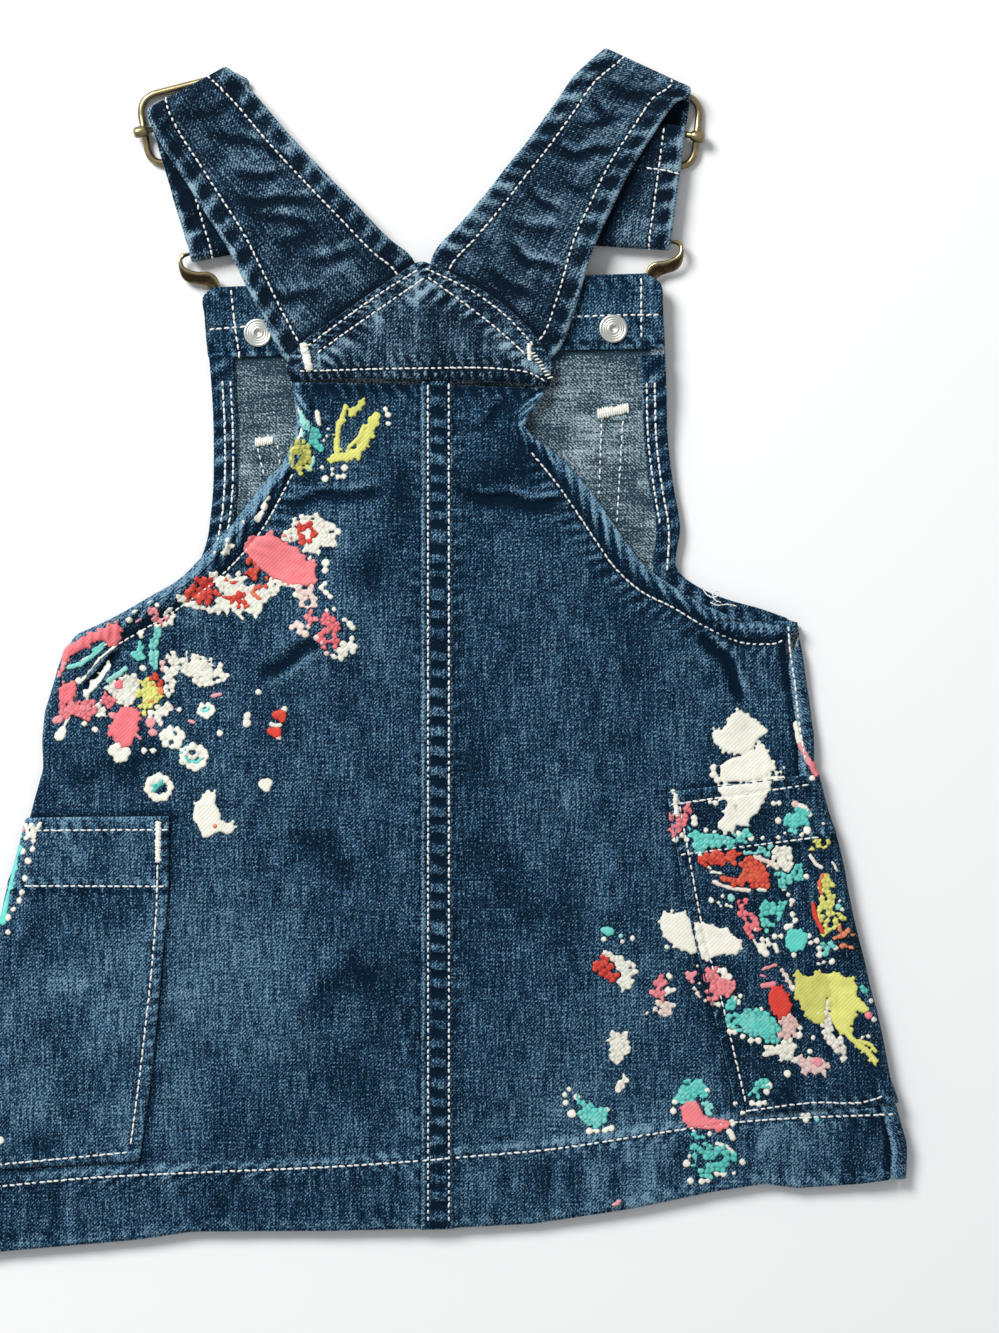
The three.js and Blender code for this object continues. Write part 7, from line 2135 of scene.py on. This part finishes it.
TEAL = (
    stroke(1.7, (-121, -4.3), (-116.6, -3.2), (-113, -0.4), (-109.4, 2.4), hue=0.4)
    + stroke(1.3, (-112.2, 1.6), (-108.6, 4), hue=0.2)
    + patch((-95.3, 5.4), (-97.7, 2), (-98.5, -0.5), (-97, -2.8), (-95, -2.2), (-94.8, 1.5), hue=0.15)
    + patch((-91.8, 9.7), (-88.5, 9.7), (-87.6, 8), (-89.6, 6.3), (-89.3, 4), (-88.8, 2), (-89.6, -1), (-90, -4.2),
            (-91.5, -4.7), (-93, -4.2), (-92.2, -1), (-92.2, 3), (-91.8, 6.5), (-92.5, 8), hue=0.35)
    + stroke(1.9, (-107, -9), (-104, -7), (-101, -4.6), hue=0.75)
    + stroke(1.4, (-74.6, -19.2), (-73, -19.6), (-71.8, -18.4), hue=0.3)
    + stroke(1.2, (-80, -36), (-78.6, -37.4), (-76, -37.5), (-73.8, -36), hue=0.1)
    + stroke(1.1, (-82.4, -34.8), (-80.2, -33.4), (-79.6, -31.4), dry=0.3) + drops((-81, -37.6, 0.9), hue=0.3)
    + patch((-93.2, -47.6), (-91.5, -45.3), (-90, -44.6), (-88.5, -42.8), (-87.3, -45), (-88.4, -47.7), (-91, -49))
    + stroke(3.0, (-39.4, 83.6), (-38, 81), (-36.6, 79), hue=0.8, dry=0.2)
    + patch((-38.6, 81), (-36, 81.8), (-34, 80), (-34.5, 77.5), (-32.8, 76.2), (-32, 74), (-33, 71.3), (-35, 70.8),
            (-36.7, 73), (-37.7, 76), (-38.8, 78.4))
    + stroke(1.4, (-35.2, 69), (-35.4, 66.8), (-37, 64.8), hue=0.8)
    + stroke(5.0, (-139.4, -61), (-141, -72), (-143.6, -84), (-144.6, -90), hue=0.1) + drops((-144, -93, 1.4))
    + patch((96.3, -60.8), (99, -60.3), (101, -61.8), (104, -62.8), (107, -63.8), (112, -63.8), (114, -61.8),
            (117, -61.3), (118.7, -63.5), (116, -66.2), (112, -67.7), (107, -67.7), (101, -68.7), (98.3, -69.2),
            (98, -66), (96.8, -63.5), hue=0.15)
    + patch((129.8, -56.5), (132, -54.3), (135, -53.3), (137.7, -55), (139, -58), (137, -60.2), (134, -61.8),
            (131, -61.8), (129.3, -59))
    + stroke(1.7, (116, -69), (119, -69.4), (122, -68.8), hue=0.5, dry=0.2)
    + patch((120, -69.4), (121.6, -66.6), (124.6, -66.6), (125.4, -69.4), (123, -70.6), hue=0.3)
    + patch((126.2, -76.6), (131, -76.6), (131.6, -79.4), (129.2, -82.2), (126.8, -80.6), hue=0.2)
    + patch((131.8, -77.2), (134, -72.8), (136.2, -76), (137, -78.2), (134, -78.8), hue=0.0, dry=0.15)
    + drops((148.5, -88.2, 1.2), (111, -85, 1.4), hue=0.5)
    + patch((120.8, -88), (124, -86.2), (129, -86.2), (130.3, -89), (128, -92.2), (126, -95.3), (124, -96.8),
            (121.3, -95), (120.8, -92), hue=0.05, dry=0.12)
    + slab((129.4, -99.8), (130.6, -96.8), (133.6, -95.4), (136.8, -96.8), (138.2, -99.8), (136.8, -103),
           (133.6, -104.4), (130.6, -103))
    + patch((142.4, -102.4), (143.4, -100.4), (146, -100.4), (147.6, -102.4), (146, -104.8), (143.4, -104.6), hue=0.2)
    + patch((107.8, -121.5), (111, -120.2), (113.3, -122.5), (112.8, -125.2), (109.8, -124.7))
    + patch((109.8, -127.5), (112, -125.3), (116, -124.3), (120, -123.8), (123.5, -124.8), (126.2, -127),
            (128.3, -130.5), (127.2, -134.2), (124.5, -136.3), (121, -134.7), (117, -133.2), (113, -131.2),
            (109.8, -129.7), hue=0.12)
    + patch((156, -116.2), (158, -112.6), (159, -116), (158, -118.8)) + drops((141, -162.8, 1.0), hue=0.3)
    + patch((117.2, -153), (118.8, -150), (121.5, -148), (124.8, -148.5), (123.2, -151), (121, -154.7), (119, -155.6),
            hue=0.1)
    + patch((90.8, -156.7), (91.3, -153), (93.3, -150.3), (95.3, -149.8), (97, -147.5), (99, -147.7), (100.7, -149.6),
            (102.7, -151), (103.2, -153.5), (101, -155.2), (98, -155.7), (95.5, -156.7), (93, -157.7), hue=0.1)
    + stroke(2.6, (102.6, -156.8), (103, -160.6), hue=0.5, dry=0.15)
    + patch((96.8, -170), (97.8, -167.6), (101, -167.8), (104, -169.3), (105.2, -172), (107, -171.5), (110, -172.7),
            (112.2, -174.7), (113.2, -176.5), (111, -179.7), (107.5, -180.7), (105, -181.7), (103, -183.7),
            (100.3, -183.2), (98.3, -180), (97.8, -176.5), (96.8, -173), hue=0.05, dry=0.1)
    + drops((67.8, -96.7, 1.7), (66.6, -96.4, 1.4), (69, -96.8, 1.4), hue=0.1) + drops((72.5, -98.4, 0.8), hue=0.7)
    + patch((57.2, -155.2), (60, -156.3), (63, -158.3), (66, -157.3), (68.7, -160), (69.3, -163), (67, -165.7),
            (62, -165.7), (58.3, -163.7), (57.6, -160), hue=0.15)
)
YELLOW = (
    patch((-96.2, -10), (-93, -8.3), (-90.5, -9.5), (-88.3, -11), (-87.8, -13.5), (-89, -16.2), (-91, -17.7),
          (-93.5, -18.2), (-96, -17), (-97.2, -14), hue=0.0)
    + patch((-97.7, -18), (-95, -17.3), (-92, -17.8), (-90, -17), (-91, -19.2), (-94, -20.7), (-96.7, -20))
    + patch((-47.2, 69.5), (-44.7, 73), (-42, 76.2), (-40, 76.8), (-38, 75.7), (-36.8, 73), (-35.3, 71),
            (-35.2, 67.5), (-36.7, 64.8), (-39, 63.2), (-42, 63.8), (-44.7, 65.8), (-46.9, 68), hue=0.35, dry=0.1)
    + drops((-41, 70, 2.6), (-39.8, 68.6, 2.2), (-41.4, 74, 1.5), hue=1.0)
    + stroke(2.6, (-25.6, 82), (-26.6, 79), (-26.8, 75), (-27, 71), hue=0.1)
    + stroke(1.9, (-23.8, 87), (-25.2, 83), hue=0.2)
    + stroke(3.6, (-28, 69), (-24, 69.4), (-20, 70.6), (-17, 75), (-13.2, 83.6), hue=0.05, dry=0.08)
    + stroke(1.7, (-22.6, 73), (-19, 76), (-17.6, 80), hue=0.1) + stroke(2.6, (-22, 84.2), (-17.8, 88.2), hue=0.35)
    + patch((138.3, -66), (141, -64.3), (145, -63.3), (146.2, -65.5), (144, -67.7), (139.8, -68.8), hue=0.15, dry=0.4)
    + patch((141.8, -82), (142.4, -78), (145, -76.5), (147.2, -79), (147.7, -83), (148, -86), (146.5, -88.5),
            (148, -90.3), (150.7, -90.8), (151.2, -94), (148.5, -95), (146, -97.2), (143, -97.7), (141.3, -93),
            (140.6, -87.5), dry=0.06)
    + slab((132.8, -118.5), (133.3, -115), (132.8, -111.8), (135, -110.7), (137, -112.3), (139.5, -111.8),
           (140.5, -109.5), (142, -110.8), (144.5, -111.4), (145.5, -116), (144.6, -121), (144, -129.4),
           (140, -129.4), (137, -126.2), (134.8, -122), hue=0.42)
    + slab((144, -111.3), (148, -110.7), (151, -112.2), (154, -113.3), (155.7, -116), (155.2, -119), (157.2, -121),
           (159.2, -123.5), (158, -125.7), (155, -124.7), (154.7, -127), (152.7, -130), (151.7, -133.2),
           (148, -132.2), (145.6, -128), (145.4, -120), hue=0.05)
    + stroke(2.6, (150, -131), (154, -135), (158, -138), (161.4, -142), hue=0.1)
    + stroke(1.4, (156, -135), (160, -136.4), (161.5, -138.6), hue=0.2)
    + drops((153, -131, 1.0), hue=0.3)
    + drops((145.5, -114, 1.6), (144.8, -118, 1.9), (146, -122, 1.5), hue=0.42)
)

PAINTS = {
    "white": (WHITE, (0.93, 0.92, 0.8, 1), (0.84, 0.5, 0.47, 1), (0.2, 0.2, 0.18, 1), 0.0),
    "coral": (CORAL, (0.9, 0.2, 0.22, 1), (0.82, 0.4, 0.42, 1), (0.25, 0.015, 0.035, 1), 0.1),
    "teal": (TEAL, (0.12, 0.67, 0.58, 1), (0.45, 0.8, 0.74, 1), (0.01, 0.12, 0.13, 1), 0.08),
    "red": (RED, (0.78, 0.055, 0.035, 1), (0.86, 0.3, 0.13, 1), (0.1, 0.005, 0.01, 1), 0.16),
    "yellow": (YELLOW, (0.83, 0.82, 0.22, 1), (0.42, 0.42, 0.08, 1), (0.2, 0.18, 0.03, 1), 0.06),
}
for number, (colour, (dabs, main, other, deep, lift)) in enumerate(PAINTS.items()):
    material = paint_material("paint_" + colour, main, other, deep)
    make_paint("splashes_" + colour, colour, dabs, material, 301 + 10 * number, BARE, lift)

# %% [markdown]

# %% [markdown]
# ## Floor, light and camera
# The dress is seen from straight above on a plain white floor. A long lens keeps the view almost
# parallel, as a product shot is. One wide soft light leans in from the upper left, so that puckers
# and thread keep a shaded side, and an even white surround fills the shadows.

# %% Floor
def lay_floor():
    mesh = bpy.data.meshes.new("floor")
    half, below = 6.0, -0.0002
    corners = [(-half, -half, below), (half, -half, below), (half, half, below), (-half, half, below)]
    mesh.from_pydata(corners, [], [(0, 1, 2, 3)])
    floor = bpy.data.objects.new("floor", mesh)
    bpy.context.scene.collection.objects.link(floor)
    mesh.materials.append(new_material("floor", Base_Color=(0.93, 0.93, 0.93, 1), Roughness=0.9)[0])


lay_floor()


# %% Light
def soft_light(name, place, size, power):
    light = bpy.data.lights.new(name, "AREA")
    light.shape, light.size, light.energy = "DISK", size, power
    lamp = bpy.data.objects.new(name, light)
    lamp.location = place
    aim = -np.array(place)
    lamp.rotation_euler = (math.acos(-aim[2] / np.linalg.norm(aim)), 0, math.atan2(aim[1], aim[0]) - math.pi / 2)
    bpy.context.scene.collection.objects.link(lamp)


soft_light("key_light", (-0.95, 1.1, 1.25), 0.8, 40)
world = bpy.data.worlds.new("studio")
bpy.context.scene.world = world
world.use_nodes = True
world.node_tree.nodes["Background"].inputs["Color"].default_value = (0.97, 0.985, 1.0, 1)
world.node_tree.nodes["Background"].inputs["Strength"].default_value = 0.42
bpy.context.scene.view_settings.view_transform = "Standard"

# %% Camera
CAMERA_HEIGHT = 1.6
VIEW_HEIGHT = 0.46655
SENSOR_HEIGHT = 24.0
camera_data = bpy.data.cameras.new("camera")
camera_data.sensor_fit = "VERTICAL"
camera_data.sensor_height = SENSOR_HEIGHT
camera_data.lens = SENSOR_HEIGHT * CAMERA_HEIGHT / VIEW_HEIGHT
camera = bpy.data.objects.new("camera", camera_data)
camera.location = (0.0299, -0.004, CAMERA_HEIGHT + 0.006)
bpy.context.scene.collection.objects.link(camera)
bpy.context.scene.camera = camera
print("camera lens", round(camera_data.lens, 1), "mm")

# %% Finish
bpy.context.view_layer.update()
